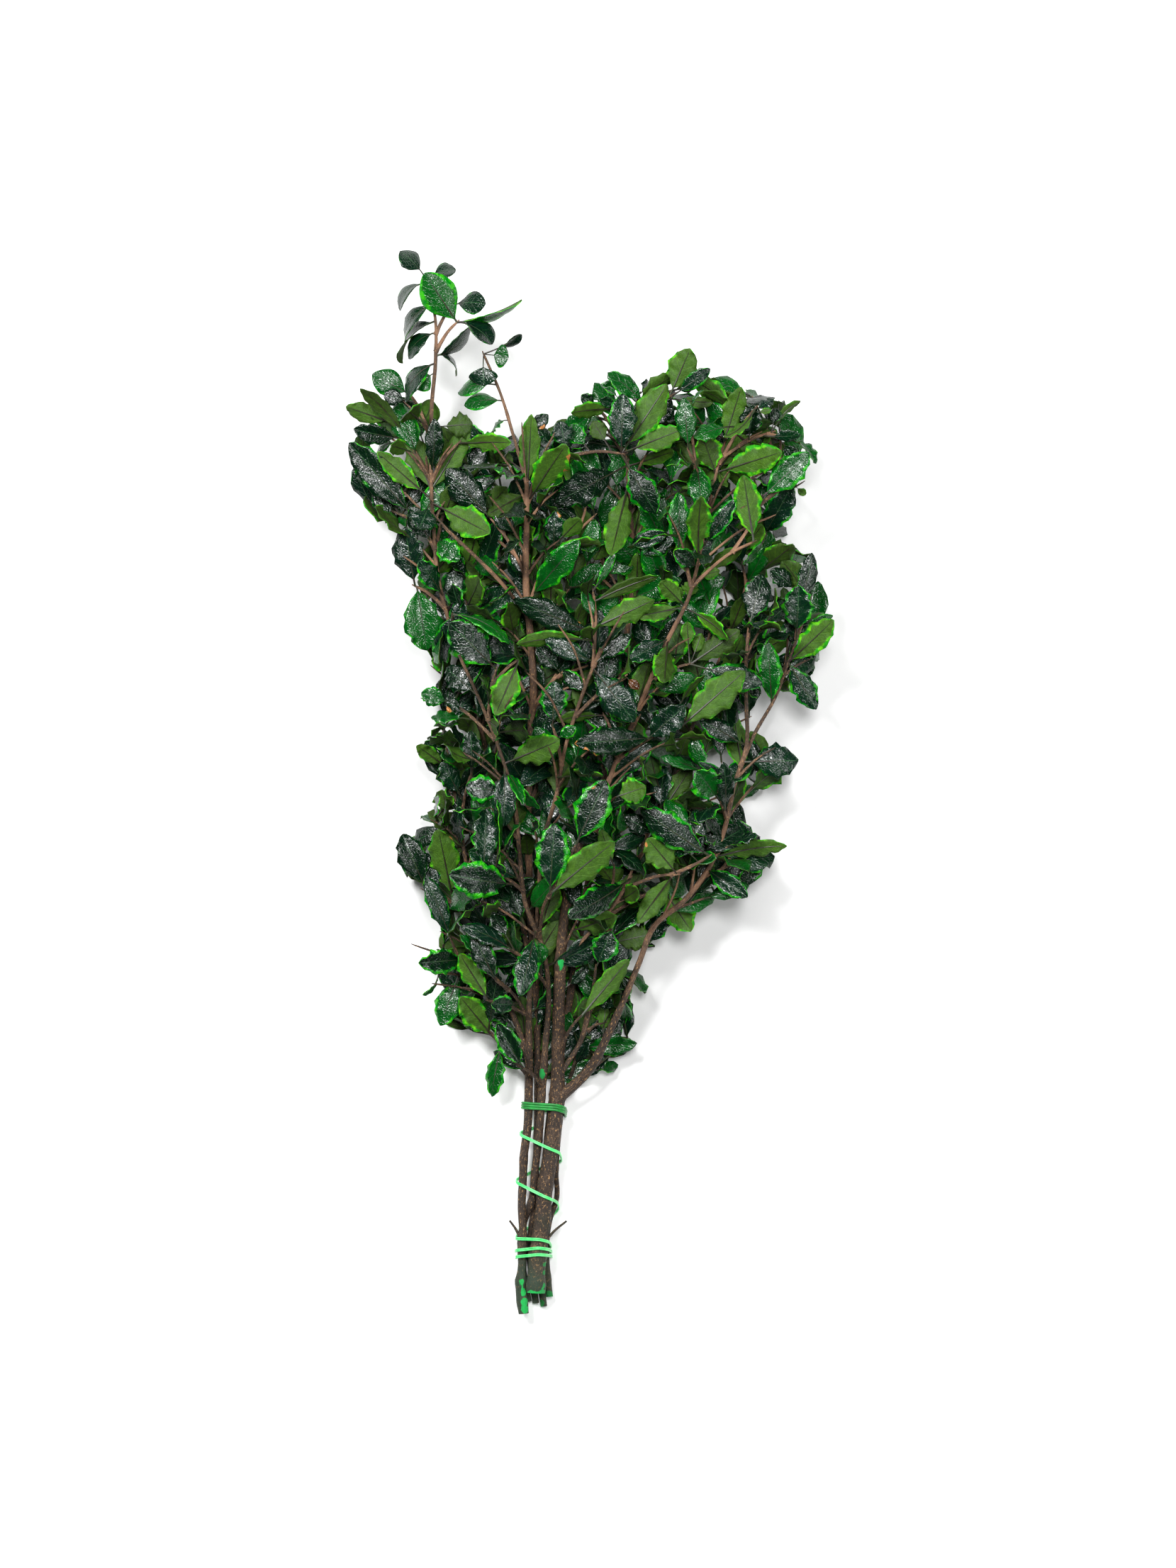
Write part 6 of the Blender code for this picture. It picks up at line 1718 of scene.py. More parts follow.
@dataclass(frozen=True)
class BarkFinish:
    """Bark: long fibres, cracks, tan flecks, pores across the stem, and dye near the cut ends."""

    name: str = "bark"
    dark: tuple = (0.018, 0.011, 0.007)
    brown: tuple = (0.120, 0.066, 0.036)
    grey: tuple = (0.300, 0.190, 0.115)
    tan: tuple = (0.560, 0.310, 0.120)
    limb: tuple = (0.360, 0.190, 0.110)
    dye: tuple = (0.016, 0.045, 0.022)
    paint: tuple = (0.004, 0.420, 0.070)
    deep_paint: tuple = (0.001, 0.200, 0.030)

    def material(self) -> bpy.types.Material:
        """Makes the material."""
        n = Nodes(self.name)
        uv = n.uv()
        place = n.place()
        fibres = n.noise(n.scaled(uv, (9.0, 1.6, 1.0)), 2.2, 5.0, 0.65)
        broad = n.noise(place, 45.0, 3.0)
        colour = n.ramp(fibres, ((0.38, self.dark), (0.52, self.brown), (0.68, self.grey)))
        _, y, _ = n.split(place)
        pale_patches = n.step(n.noise(place, 11.0, 1.0), 0.40, 0.60)
        pale_share = n.times(n.step(y, -0.14, -0.04), pale_patches)
        colour = n.mix(n.times(pale_share, 0.6), colour, self.limb)
        colour = n.mix(n.step(broad, 0.60, 0.46), colour, n.mix(0.7, colour, self.dark))
        colour = n.mix(n.times(n.step(y, -0.06, -0.20), 0.62), colour, self.dark)
        flecks = n.noise(n.scaled(uv, (4.0, 1.3, 1.0)), 3.4, 4.0, 0.7)
        colour = n.mix(n.times(n.step(flecks, 0.56, 0.66), 0.80), colour, self.tan)
        pores = n.step(n.cells(n.scaled(uv, (3.0, 7.0, 1.0)), 1.6, "F1"), 0.16, 0.08)
        colour = n.mix(n.times(pores, 0.6), colour, self.tan)
        dyed = n.plus(y, n.swing(broad, 0.09))
        colour = n.mix(n.times(n.step(dyed, -0.262, -0.312), 0.75), colour, self.dye)
        ragged = n.swing(n.noise(place, 330.0, 3.0, 0.6), 0.7)
        painted = n.step(n.plus(n.attribute("paint"), ragged), 0.42, 0.56)
        colour = n.mix(painted, colour, n.mix(n.step(broad, 0.4, 0.6), self.paint, self.deep_paint))
        height = n.plus(fibres, n.times(pores, 0.35))
        n.bump(height, 0.0007)
        n.surface(Base_Color=colour, Roughness=0.68)
        return n.made


@dataclass(frozen=True)
class CutFinish:
    """Wood where it was cut, dyed bright green, with saw marks."""

    name: str = "dyed_cut"
    pale: tuple = (0.020, 0.420, 0.090)
    deep: tuple = (0.002, 0.120, 0.030)

    def material(self) -> bpy.types.Material:
        """Makes the material."""
        n = Nodes(self.name)
        marks = n.noise(n.place(), 420.0, 4.0, 0.7)
        colour = n.mix(n.step(marks, 0.34, 0.66), self.deep, self.pale)
        n.bump(marks, 0.0004)
        n.surface(Base_Color=colour, Roughness=0.55)
        return n.made


@dataclass(frozen=True)
class StalkFinish:
    """The stalk and rib of a leaf: dark and smooth, greener towards the blade."""

    name: str = "leaf_stalk"
    wood: tuple = (0.020, 0.010, 0.008)
    green: tuple = (0.022, 0.036, 0.010)

    def material(self) -> bpy.types.Material:
        """Makes the material."""
        n = Nodes(self.name)
        tone = n.noise(n.place(), 240.0, 2.0)
        n.surface(Base_Color=n.mix(n.step(tone, 0.35, 0.65), self.wood, self.green), Roughness=0.5)
        n.bump(tone, 0.0002)
        return n.made


@dataclass(frozen=True)
class CordFinish:
    """Elastic cord: a dyed sleeve with a fine grainy relief and a soft sheen."""

    name: str
    colour: tuple
    shade: tuple

    def material(self) -> bpy.types.Material:
        """Makes the material."""
        n = Nodes(self.name)
        place = n.place()
        tint = n.noise(place, 300.0, 2.0)
        colour = n.mix(n.step(tint, 0.3, 0.7), self.shade, self.colour)
        n.bump(n.noise(place, 1500.0, 2.0), 0.00012)
        n.surface(Base_Color=colour, Roughness=0.42, Sheen_Weight=0.2)
        return n.made


# How a leaf's rows crowd towards its ends, how high its margin is crimped as shares of its width, over how
# many rows, how far each crimp draws it in, and the width in millimetres from which it is crimped in full
ROW_EASE = 0.45
CRIMP = (0.04, 0.13)
CRIMP_ROWS = 2.9
CRIMP_PULL = 0.75
FULL_WIDTH = 15.0

# How far a leaf is twisted and folded by its draws, and how steeply its waves rise towards its margin
TWIST, TWIST_FROM = 0.75, 0.4
FOLD = (-0.30, 0.42)
WAVE_STEEPNESS = 1.9

# The smooth leaves of the tall limb's tip: where they start in the plan, how much of the waves is left, how
# much wider the narrow ones are, and how narrow those are, in millimetres
SMOOTH_TO_X, SMOOTH_FROM_Y = -40.0, 222.0
SMOOTH_SHARE, SMOOTH_WIDENING, SMOOTH_NARROW = 0.12, 1.2, 18.0


@dataclass
class LeafBlank:
    """A flat leaf, one unit long and one unit half-wide, that leaves are bent copies of.

    Attributes:
        columns: quads across.
        rows: quads along.
        groove: how deep the midrib lies, in half-widths.
    """

    columns: int
    rows: int
    groove: float = 0.05

    @staticmethod
    def outline(share: float) -> float:
        """Half-width at a share of the length: broadest past the middle, drawn in to a short tip."""
        share = min(1.0, max(0.0, share))
        return max(0.03, math.sin(math.pi * share**1.08) ** (0.90 - 0.24 * share))

    def model(self) -> bpy.types.Object:
        """Shapes a grid to the leaf's outline, with shorter rows at both ends, and presses its midrib in."""
        deselect_all()
        bpy.ops.mesh.primitive_grid_add(x_subdivisions=self.columns, y_subdivisions=self.rows, size=2.0)
        self.blank = bpy.context.object
        self.blank.name = f"leaf_blank_{self.columns}"
        self.shares = corners_of(self.blank)
        self.row_of = np.rint((self.shares[:, 1] + 1) / 2 * self.rows).astype(int)
        bpy.ops.object.mode_set(mode="EDIT")
        for y in sorted(set(np.round(self.shares[:, 1], 5))):
            self.select_where(1, y)
            moved = y - ROW_EASE * math.sin(math.pi * (y + 1)) / math.pi
            reach = self.outline((moved + 1) / 2)
            bpy.ops.transform.resize(value=(reach, 1.0, 1.0), center_override=(0.0, float(y), 0.0))
            bpy.ops.transform.translate(value=(0.0, float(moved - y), 0.0))
        self.select_where(0, 0.0)
        bpy.ops.transform.translate(value=(0.0, 0.0, -self.groove))
        bpy.ops.object.mode_set(mode="OBJECT")
        self.flat = corners_of(self.blank)
        self.shares[:, 1] = self.flat[:, 1]
        return self.blank

    def select_where(self, axis: int, value: float) -> None:
        """Selects the blank's corners at one place along an axis."""
        shape = bmesh.from_edit_mesh(self.blank.data)
        for corner in shape.verts:
            corner.select_set(bool(abs(corner.co[axis] - value) < 1e-4))
        shape.select_flush(True)
        bmesh.update_edit_mesh(self.blank.data)

    def bent(self, leaf: Leaf) -> np.ndarray:
        """Bends the flat leaf along a midrib, waves its margins and twists it.

        Args:
            leaf: how the leaf lies.

        Returns:
            Where each corner goes, in millimetres.
        """
        draw = random.Random(leaf.seed * 31 + 7)
        share = (self.shares[:, 1] + 1) / 2
        across = self.shares[:, 0]
        t = leaf.stalk + (1 - leaf.stalk) * share
        turn = leaf.arch * t
        along, face = np.array(leaf.along), np.array(leaf.face)
        side = np.cross(along, face)
        run = leaf.length * np.sin(turn) / leaf.arch
        drop = leaf.length * (1 - np.cos(turn)) / leaf.arch
        point = np.array(leaf.base) + run[:, None] * along - drop[:, None] * face
        normal = np.sin(turn)[:, None] * along + np.cos(turn)[:, None] * face
        twist = draw.uniform(-TWIST, TWIST) * (share - TWIST_FROM)
        side_here = np.cos(twist)[:, None] * side + np.sin(twist)[:, None] * normal
        normal = np.cos(twist)[:, None] * normal - np.sin(twist)[:, None] * side
        phase = leaf.wave_phase + np.where(across > 0, 0.0, FAR_MARGIN_PHASE)
        is_smooth = leaf.base[0] < SMOOTH_TO_X and leaf.base[1] > SMOOTH_FROM_Y
        width = leaf.width * (SMOOTH_WIDENING if is_smooth and leaf.width < SMOOTH_NARROW else 1.0)
        size = min(1.0, leaf.width / FULL_WIDTH) * (SMOOTH_SHARE if is_smooth else 1.0)
        wave = leaf.wave * size * np.sin(2 * math.pi * WAVES_PER_LEAF * t + phase)
        heights = np.array([[draw.uniform(*CRIMP) for _ in range(2)] for _ in range(self.rows + 1)])
        start = np.where(across > 0, draw.uniform(*PHASES), draw.uniform(*PHASES))
        crimp = heights[self.row_of, (across > 0).astype(int)] * leaf.width * size
        crimp *= np.sin(2 * math.pi * self.row_of / CRIMP_ROWS + start)
        fold = draw.uniform(*FOLD) * leaf.width / 2
        fade = np.clip(share * 5, 0, 1) * np.clip((1.06 - share) * 5, 0, 1)
        lift = (wave + crimp) * np.abs(across) ** WAVE_STEEPNESS * fade
        lift = lift + fold * (np.abs(across) - 0.3 * across**2) * fade
        reach = self.flat[:, 0] * (width / 2 - CRIMP_PULL * crimp * np.abs(across) * fade)
        rise = self.flat[:, 2] * leaf.width / 2
        return point + side_here * reach[:, None] + normal * (lift + rise)[:, None]


@dataclass
class SleeveBlank:
    """A grid that is rolled round a route to make bark and stalks.

    Attributes:
        sides: quads round.
        rings: quads along.
    """

    sides: int
    rings: int

    def model(self) -> bpy.types.Object:
        """Adds the grid."""
        deselect_all()
        bpy.ops.mesh.primitive_grid_add(x_subdivisions=self.sides, y_subdivisions=self.rings, size=2.0)
        self.blank = bpy.context.object
        self.blank.name = f"sleeve_blank_{self.sides}_{self.rings}"
        self.shares = (corners_of(self.blank)[:, :2] + 1) / 2
        return self.blank

    def rolled(self, route: np.ndarray, radii: np.ndarray, relief: np.ndarray | None = None) -> np.ndarray:
        """Rolls the grid round a route.

        Args:
            route: one point for each ring, in millimetres.
            radii: the radius at each ring.
            relief: how much each corner stands out, as a share of the radius.

        Returns:
            Where each corner goes, in millimetres.
        """
        ring = np.rint(self.shares[:, 1] * self.rings).astype(int)
        ahead = np.gradient(route, axis=0)
        ahead /= np.linalg.norm(ahead, axis=1)[:, None]
        across = np.cross(ahead, np.array([0.0, 0.0, 1.0]) + 0.02)
        across /= np.linalg.norm(across, axis=1)[:, None]
        other = np.cross(across, ahead)
        turn = -2 * math.pi * (np.rint(self.shares[:, 0] * self.sides) % self.sides) / self.sides
        reach = radii[ring] * (1 + (relief if relief is not None else 0.0))
        way = np.cos(turn)[:, None] * across[ring] + np.sin(turn)[:, None] * other[ring]
        return route[ring] + way * reach[:, None]


class Blanks:
    """The blanks, each modelled once."""

    def __init__(self) -> None:
        """Starts with none."""
        self.made: dict[tuple, LeafBlank | SleeveBlank] = {}

    def get(self, kind: type, *sizes: int) -> LeafBlank | SleeveBlank:
        """Models a blank the first time that it is asked for."""
        key = (kind.__name__, *sizes)
        if key not in self.made:
            blank = kind(*sizes)
            blank.model()
            self.made[key] = blank
        return self.made[key]

    def clear(self) -> None:
        """Removes the blanks."""
        for item in self.made.values():
            bpy.data.objects.remove(item.blank)


@dataclass
class Foliage:
    """All the leaves of one stem, as one piece."""

    node: str
    leaves: list[Leaf]
    shift: np.ndarray
    blanks: Blanks
    thickness: float = 0.32

    def build(self, finishes: list[bpy.types.Material]) -> bpy.types.Object:
        """Bends a copy of the blank for each leaf, joins them and gives them thickness.

        Args:
            finishes: the upper side's and the underside's.

        Returns:
            The piece.
        """
        copies = [self.leaf_copy(leaf) for leaf in self.leaves]
        piece = join_pieces(copies, f"{self.node}_leaves")
        shell = piece.modifiers.new("thickness", "SOLIDIFY")
        shell.thickness = self.thickness * MM
        shell.offset = 0.0
        shell.material_offset = 1
        shell.material_offset_rim = 1
        dress(piece, finishes)
        bpy.ops.object.modifier_apply(modifier=shell.name)
        bpy.ops.object.shade_smooth()
        return piece

    def leaf_copy(self, leaf: Leaf) -> bpy.types.Object:
        """One leaf, with what its finish reads stored on it."""
        blank = self.blanks.get(LeafBlank, *((6, 15) if leaf.is_upper else (4, 8)))
        places = blank.bent(leaf)
        places[:, 2] = np.maximum(places[:, 2], self.thickness)
        copy = copy_with(blank.blank, (places + self.shift) * MM)
        set_attribute(copy, "tone", leaf.tone.value)
        set_attribute(copy, "rim", leaf.rim)
        dry = np.zeros(len(places))
        if leaf.is_upper:
            for x, y, radius in DRY_SPOTS:
                reach = np.hypot(places[:, 0] - x, places[:, 1] - y) / radius
                dry = np.maximum(dry, np.clip(1.2 - reach, 0, 1) * (np.abs(blank.shares[:, 0]) > 0.4))
        set_attribute(copy, "dry", dry)
        return copy


# Sides of the bark by the wood's radius at its foot, in millimetres, then those of thin limbs and of twigs
BARK_SIDES = ((4.0, 20), (2.0, 14))
LIMB_SIDES = 10
FINE_SIDES = 7


@dataclass
class Bark:
    """The wood of one stem, with the stalks of its leaves, as one piece.

    Attributes:
        node: the stem.
        shoots: its wood.
        leaves: its leaves.
        shift: what brings a place on the table into the frame.
        blanks: the grids that are rolled.
        ring_spacing: distance between the rings of bark, in millimetres.
        knuckle_spacing: least and most distance from one knuckle to the next.
        first_knuckle: least and most distance of the first one from the foot.
        knuckle_rise: how much thicker the wood is there, at least and at most.
        knuckle_stretch: how far that reaches along the wood.
        foot_swell: how much thicker a limb is at its foot, and how far that reaches.
        tip_taper: how much thinner a limb is at its tip, and how far that reaches.
        ripples: the bark's relief as rows of height, waves round, wavelength along and share of the seed.
        stalk_radius: radius of a full-sized leaf's stalk at its foot, and what is left at its tip.
        stalk_reach: where the stalk ends on the midrib.
        full_leaf: length of a leaf that has a full-sized stalk.
        stalk_sunk: how deep the stalk lies under the blade, and how much deeper for each millimetre of the
            blade's half-width.
    """

    node: str
    shoots: list[Shoot]
    leaves: list[Leaf]
    shift: np.ndarray
    blanks: Blanks
    ring_spacing: float = 2.6
    knuckle_spacing: tuple = (17.0, 34.0)
    first_knuckle: tuple = (4, 14)
    knuckle_rise: tuple = (0.05, 0.20)
    knuckle_stretch: tuple = (2.0, 3.6)
    foot_swell: tuple = (0.55, 3.4)
    tip_taper: tuple = (0.55, 4)
    ripples: tuple = ((0.035, 2, 23, 1.0), (0.022, 3, -9, 0.0), (0.016, 5, 5, 1.7))
    stalk_radius: tuple = (0.62, 0.08)
    stalk_reach: float = 0.93
    full_leaf: float = 34
    stalk_sunk: tuple = (0.12, 0.05)

    def build(self, finishes: list[bpy.types.Material]) -> bpy.types.Object:
        """Rolls bark round each shoot and stalks along each leaf, joins them and closes their ends.

        Args:
            finishes: bark, cut wood and stalk.

        Returns:
            The piece.
        """
        copies = [self.shoot_copy(shoot) for shoot in self.shoots]
        wood = join_pieces(copies, f"{self.node}_wood")
        self.close_ends(wood, finishes)
        stalks = join_pieces([self.stalk_copy(leaf) for leaf in self.leaves], f"{self.node}_stalks")
        self.close_ends(stalks, finishes[2:])
        piece = join_pieces([wood, stalks], f"{self.node}_wood")
        bpy.ops.object.shade_smooth_by_angle(angle=math.radians(50))
        return piece

    def close_ends(self, piece: bpy.types.Object, finishes: list[bpy.types.Material]) -> None:
        """Merges the seams of rolled grids and fills their open ends, the thick ones as cut wood."""
        dress(piece, finishes)
        open_merged(piece)
        bpy.ops.mesh.fill_holes(sides=0)
        shape = bmesh.from_edit_mesh(piece.data)
        for face in shape.faces:
            if len(face.verts) > FINE_SIDES and len(finishes) > 1:
                face.material_index = 1
        bmesh.update_edit_mesh(piece.data)
        bpy.ops.object.mode_set(mode="OBJECT")

    def shoot_copy(self, shoot: Shoot) -> bpy.types.Object:
        """Bark round one shoot, swollen at its knuckles and at its foot."""
        route = smooth_route(shoot.points, self.ring_spacing)
        share = np.linspace(0, 1, len(route))
        reach = np.concatenate([[0], np.cumsum(np.linalg.norm(np.diff(shoot.points, axis=0), axis=1))])
        radii = np.interp(share * reach[-1], reach, shoot.radii)
        length = self.ring_spacing * (len(route) - 1)
        blank = self.blanks.get(SleeveBlank, self.sides_of(shoot), len(route) - 1)
        turn = blank.shares[:, 0] * 2 * math.pi
        run = blank.shares[:, 1] * length
        relief = np.zeros(len(turn))
        for height, waves, wavelength, seed_share in self.ripples:
            relief += height * np.sin(waves * turn + run / wavelength + seed_share * shoot.seed)
        places = blank.rolled(route, radii * self.swelling(shoot, route, length), relief)
        places[:, 2] = np.maximum(places[:, 2], TABLE_CLEARANCE)
        copy = copy_with(blank.blank, (places + self.shift) * MM)
        set_attribute(copy, "paint", self.paint_on(shoot, places))
        self.lay_uv(copy, shoot, float(np.mean(radii)), length)
        return copy

    @staticmethod
    def sides_of(shoot: Shoot) -> int:
        """How many sides the bark of a shoot has."""
        thinnest = LIMB_SIDES if len(shoot.points) > 4 else FINE_SIDES
        return next((sides for radius, sides in BARK_SIDES if shoot.radii[0] > radius), thinnest)

    def swelling(self, shoot: Shoot, route: np.ndarray, length: float) -> np.ndarray:
        """How much thicker the wood is at its knuckles, its knobs and its foot, and how it tapers at its tip.

        Args:
            shoot: the wood.
            route: one point for each ring.
            length: its length in millimetres.

        Returns:
            What the radius of each ring is multiplied by.
        """
        share = np.linspace(0, 1, len(route))
        draw = random.Random(shoot.seed * 13)
        swell = np.ones(len(route))
        at = draw.uniform(*self.first_knuckle)
        while at < length - self.first_knuckle[0]:
            rise, stretch = draw.uniform(*self.knuckle_rise), draw.uniform(*self.knuckle_stretch)
            swell += rise * np.exp(-(((share * length - at) / stretch) ** 2))
            at += draw.uniform(*self.knuckle_spacing)
        if shoot.parent is None:
            for name, y, rise, stretch in KNOBS:
                if name == shoot.node:
                    swell += rise * np.exp(-(((route[:, 1] - y) / stretch) ** 2))
            return swell
        rise, stretch = self.foot_swell
        swell += rise * np.exp(-((share * length / stretch) ** 2))
        thinning, stretch = self.tip_taper
        near_tip = np.clip((share * length - length + stretch) / stretch, 0, 1)
        swell *= 1 - thinning * near_tip * (not shoot.is_stub)
        return swell

    @staticmethod
    def paint_on(shoot: Shoot, places: np.ndarray) -> np.ndarray:
        """How much green paint there is at each place on a stem; other wood has none."""
        paint = np.zeros(len(places))
        for name, x, y, radius in PAINT_SPOTS if shoot.parent is None else ():
            if name == shoot.node:
                reach = np.hypot(places[:, 0] - x, places[:, 1] - y) / radius
                paint = np.maximum(paint, np.clip(1.5 - reach, 0, 1))
        return paint

    @staticmethod
    def lay_uv(copy: bpy.types.Object, shoot: Shoot, radius: float, length: float) -> None:
        """Brings the UV map of a shoot's bark to centimetres, and moves it by the shoot's seed."""
        layer = copy.data.uv_layers[0]
        spots = np.zeros(len(layer.data) * 2, np.float32)
        layer.data.foreach_get("uv", spots)
        spots = spots.reshape(-1, 2) * (2 * math.pi * radius / 10, length / 10)
        spots += (shoot.seed % 37, shoot.seed % 11)
        layer.data.foreach_set("uv", spots.astype(np.float32).ravel())

    def stalk_copy(self, leaf: Leaf) -> bpy.types.Object:
        """The stalk of a leaf, which goes on under the blade as its midrib."""
        rings, sides = (10, 5) if leaf.is_upper else (4, 4)
        route, radii = [], []
        depth, deeper = self.stalk_sunk
        foot_radius, tip_radius = self.stalk_radius
        for t in np.linspace(0.0, self.stalk_reach, rings + 1):
            point, normal, _ = midrib(leaf, float(t))
            sunk = depth + deeper * leaf.width / 2 if t > leaf.stalk else 0.0
            taper = (1 - t / 0.97) ** 0.6
            radii.append(foot_radius * taper * min(1.0, leaf.length / self.full_leaf) + tip_radius)
            route.append(np.array(point - normal * sunk))
            route[-1][2] = max(route[-1][2], radii[-1] + 0.1)
        blank = self.blanks.get(SleeveBlank, sides, rings)
        places = blank.rolled(np.array(route), np.array(radii))
        return copy_with(blank.blank, (places + self.shift) * MM)


@dataclass
class Ties:
    """The two elastic ties.

    Attributes:
        routes: what winds them round the bundle.
        shift: what brings a place on the table into the frame.
        upper_radius: radius of the upper tie.
        upper_gather: how much closer each turn of the upper tie lies to the middle one.
        strand_radius: radius of each strand of the spiral tie.
    """

    routes: TieRoutes
    shift: np.ndarray
    upper_radius: float = 0.78
    upper_gather: float = 0.5
    strand_radius: float = 0.5

    def cord(
        self, name: str, routes: list[np.ndarray], radius: float, finish: bpy.types.Material
    ) -> bpy.types.Object:
        """Makes strands from a curve with a bevel.

        Args:
            name: the piece's name.
            routes: each strand's points, in millimetres.
            radius: the strands' radius, in millimetres.
            finish: the material.

        Returns:
            The piece.
        """
        strands = []
        for route in routes:
            curve = bpy.data.curves.new(name, "CURVE")
            curve.dimensions = "3D"
            curve.bevel_depth = radius * MM
            curve.bevel_resolution = 3
            curve.use_fill_caps = True
            spline = curve.splines.new("POLY")
            spline.points.add(len(route) - 1)
            for point, place in zip(spline.points, (route + self.shift) * MM):
                point.co = (*place, 1.0)
            strand = bpy.data.objects.new(name, curve)
            bpy.context.scene.collection.objects.link(strand)
            make_active(strand)
            bpy.ops.object.convert(target="MESH")
            strands.append(bpy.context.object)
        piece = join_pieces(strands, name)
        open_merged(piece)
        bpy.ops.mesh.normals_make_consistent(inside=False)
        bpy.ops.object.mode_set(mode="OBJECT")
        bpy.ops.object.shade_smooth()
        dress(piece, [finish])
        return piece

    def build(
        self, upper_finish: bpy.types.Material, spiral_finish: bpy.types.Material
    ) -> list[bpy.types.Object]:
        """Makes both ties, the spiral one of two strands side by side."""
        upper = self.smoothed(self.routes.wound(UPPER_TIE_TURNS, UPPER_TIE_RADIUS))
        turns = np.arange(len(upper)) / TIE_SAMPLES_PER_TURN
        upper[:, 1] += (turns - UPPER_TIE_TURNS[-1][0] / 2) * self.upper_gather
        spiral = self.smoothed(self.routes.wound(SPIRAL_TIE_TURNS, SPIRAL_TIE_RADIUS))
        beside = np.array([0.0, self.strand_radius, 0.0])
        strands = [spiral - beside, spiral + beside]
        return [
            self.cord("upper_tie_cord", [upper], self.upper_radius, upper_finish),
            self.cord("spiral_tie_cord", strands, self.strand_radius, spiral_finish),
        ]

    @staticmethod
    def smoothed(route: np.ndarray, rounds: int = 2) -> np.ndarray:
        """A route with its small corners rounded."""
        for _ in range(rounds):
            route[1:-1] = (route[:-2] + 2 * route[1:-1] + route[2:]) / 4
        return route


# The lamps: name, place and size in metres, and power in watts
LAMPS = (
    ("key_lamp", (-1.0, 1.2, 2.3), 0.75, 88.0),
    ("fill_lamp", (1.6, -0.6, 2.2), 1.0, 22.0),
    ("top_lamp", (0.3, 0.5, 2.9), 0.6, 44.0),
)


@dataclass
class Studio:
    """The pale table, the lamps and the camera that looks straight down.

    Attributes:
        aim: place on the table below the camera, in metres.
        view_height: height of the view, in metres.
        lens_height: height of the camera.
        sharp_height: height above the table at which view_height is measured.
        sensor: size of the sensor, in millimetres.
        table_size: size of the table.
        table_drop: how far the table lies below the frame's floor, so that the two never meet.
        painted_glow: how much the open table shines, a painted light.
        shade_y: middle of the ellipse under the leaves where it doesn't shine, a painted shade under the bunch.
        shade_reach: half the width and half the height of that ellipse.
        shade_edge: shares of the ellipse's reach, squared, over which the painted glow sets in.
        surround: strength of the light from all round.
    """

    aim: tuple = (-0.00098, 0.00056)
    view_height: float = 0.95116
    lens_height: float = 5.0
    sharp_height: float = 0.062
    sensor: float = 36.0
    table_size: float = 24.0
    table_drop: float = 0.0002
    painted_glow: float = 0.22
    shade_y: float = 0.04
    shade_reach: tuple = (0.145, 0.255)
    shade_edge: tuple = (0.55, 1.0)
    surround: float = 0.04

    def build(self) -> None:
        """Makes the floor, the lamps, the world and the camera."""
        self.floor()
        for lamp in LAMPS:
            self.lamp(*lamp)
        self.world()
        self.camera()

    def floor(self) -> None:
        """A wide white table with a painted glow away from the leaves, and painted shade under them where it
        does not glow.
        """
        deselect_all()
        bpy.ops.mesh.primitive_plane_add(size=self.table_size, location=(0.0, 0.0, -self.table_drop))
        floor = bpy.context.object
        floor.name = "floor"
        n = Nodes("floor_white")
        grain = n.noise(n.place(), 3.0, 2.0)
        n.surface(Base_Color=n.mix(grain, (0.90, 0.90, 0.90), (0.94, 0.94, 0.94)), Roughness=0.9)
        # Painted shade: the table's painted glow is left out in an ellipse under the leaves, as if they shaded
        # it.
        x, y, _ = n.split(n.place())
        across = n.calc("POWER", n.calc("DIVIDE", x, self.shade_reach[0]), 2.0)
        along = n.calc("POWER", n.calc("DIVIDE", n.minus(y, self.shade_y), self.shade_reach[1]), 2.0)
        painted_glow_share = n.step(n.plus(across, along), *self.shade_edge)
        n.surface(Emission_Color=(1.0, 1.0, 1.0), Emission_Strength=n.times(painted_glow_share, self.painted_glow))
        floor.data.materials.append(n.made)

    def lamp(self, name: str, place: tuple, size: float, power: float) -> None:
        """A soft square lamp aimed at the bunch."""
        bpy.ops.object.light_add(type="AREA", location=place)
        lamp = bpy.context.object
        lamp.name = name
        lamp.data.size = size
        lamp.data.energy = power
        lamp.rotation_euler = (-Vector(place)).to_track_quat("-Z", "Y").to_euler()

    def world(self) -> None:
        """A dim even surround."""
        world = bpy.data.worlds.new("surround")
        world.use_nodes = True
        background = world.node_tree.nodes["Background"]
        background.inputs["Color"].default_value = (1.0, 1.0, 1.0, 1.0)
        background.inputs["Strength"].default_value = self.surround
        bpy.context.scene.world = world
        bpy.context.scene.view_settings.view_transform = "Standard"

    def camera(self) -> None:
        """A long lens straight above."""
        bpy.ops.object.camera_add(location=(*self.aim, self.lens_height))
        camera = bpy.context.object
        camera.name = "camera"
        camera.data.sensor_width = self.sensor
        camera.data.lens = self.sensor * (self.lens_height - self.sharp_height) / self.view_height
        camera.data.clip_end = 100.0
        bpy.context.scene.camera = camera


def plan_shift(upper_route: np.ndarray, spiral_route: np.ndarray) -> np.ndarray:
    """Finds what brings a place on the table into the frame, from where the ties are in both."""
    shifts = []
    for node, route in (("upper_tie", upper_route), ("spiral_tie", spiral_route)):
        low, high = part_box(node)
        middle = (route.min(axis=0) + route.max(axis=0)) / 2
        shifts.append((np.array(low + high) / 2 / MM - middle)[:2])
    return np.array([*np.mean(shifts, axis=0), 0.0])


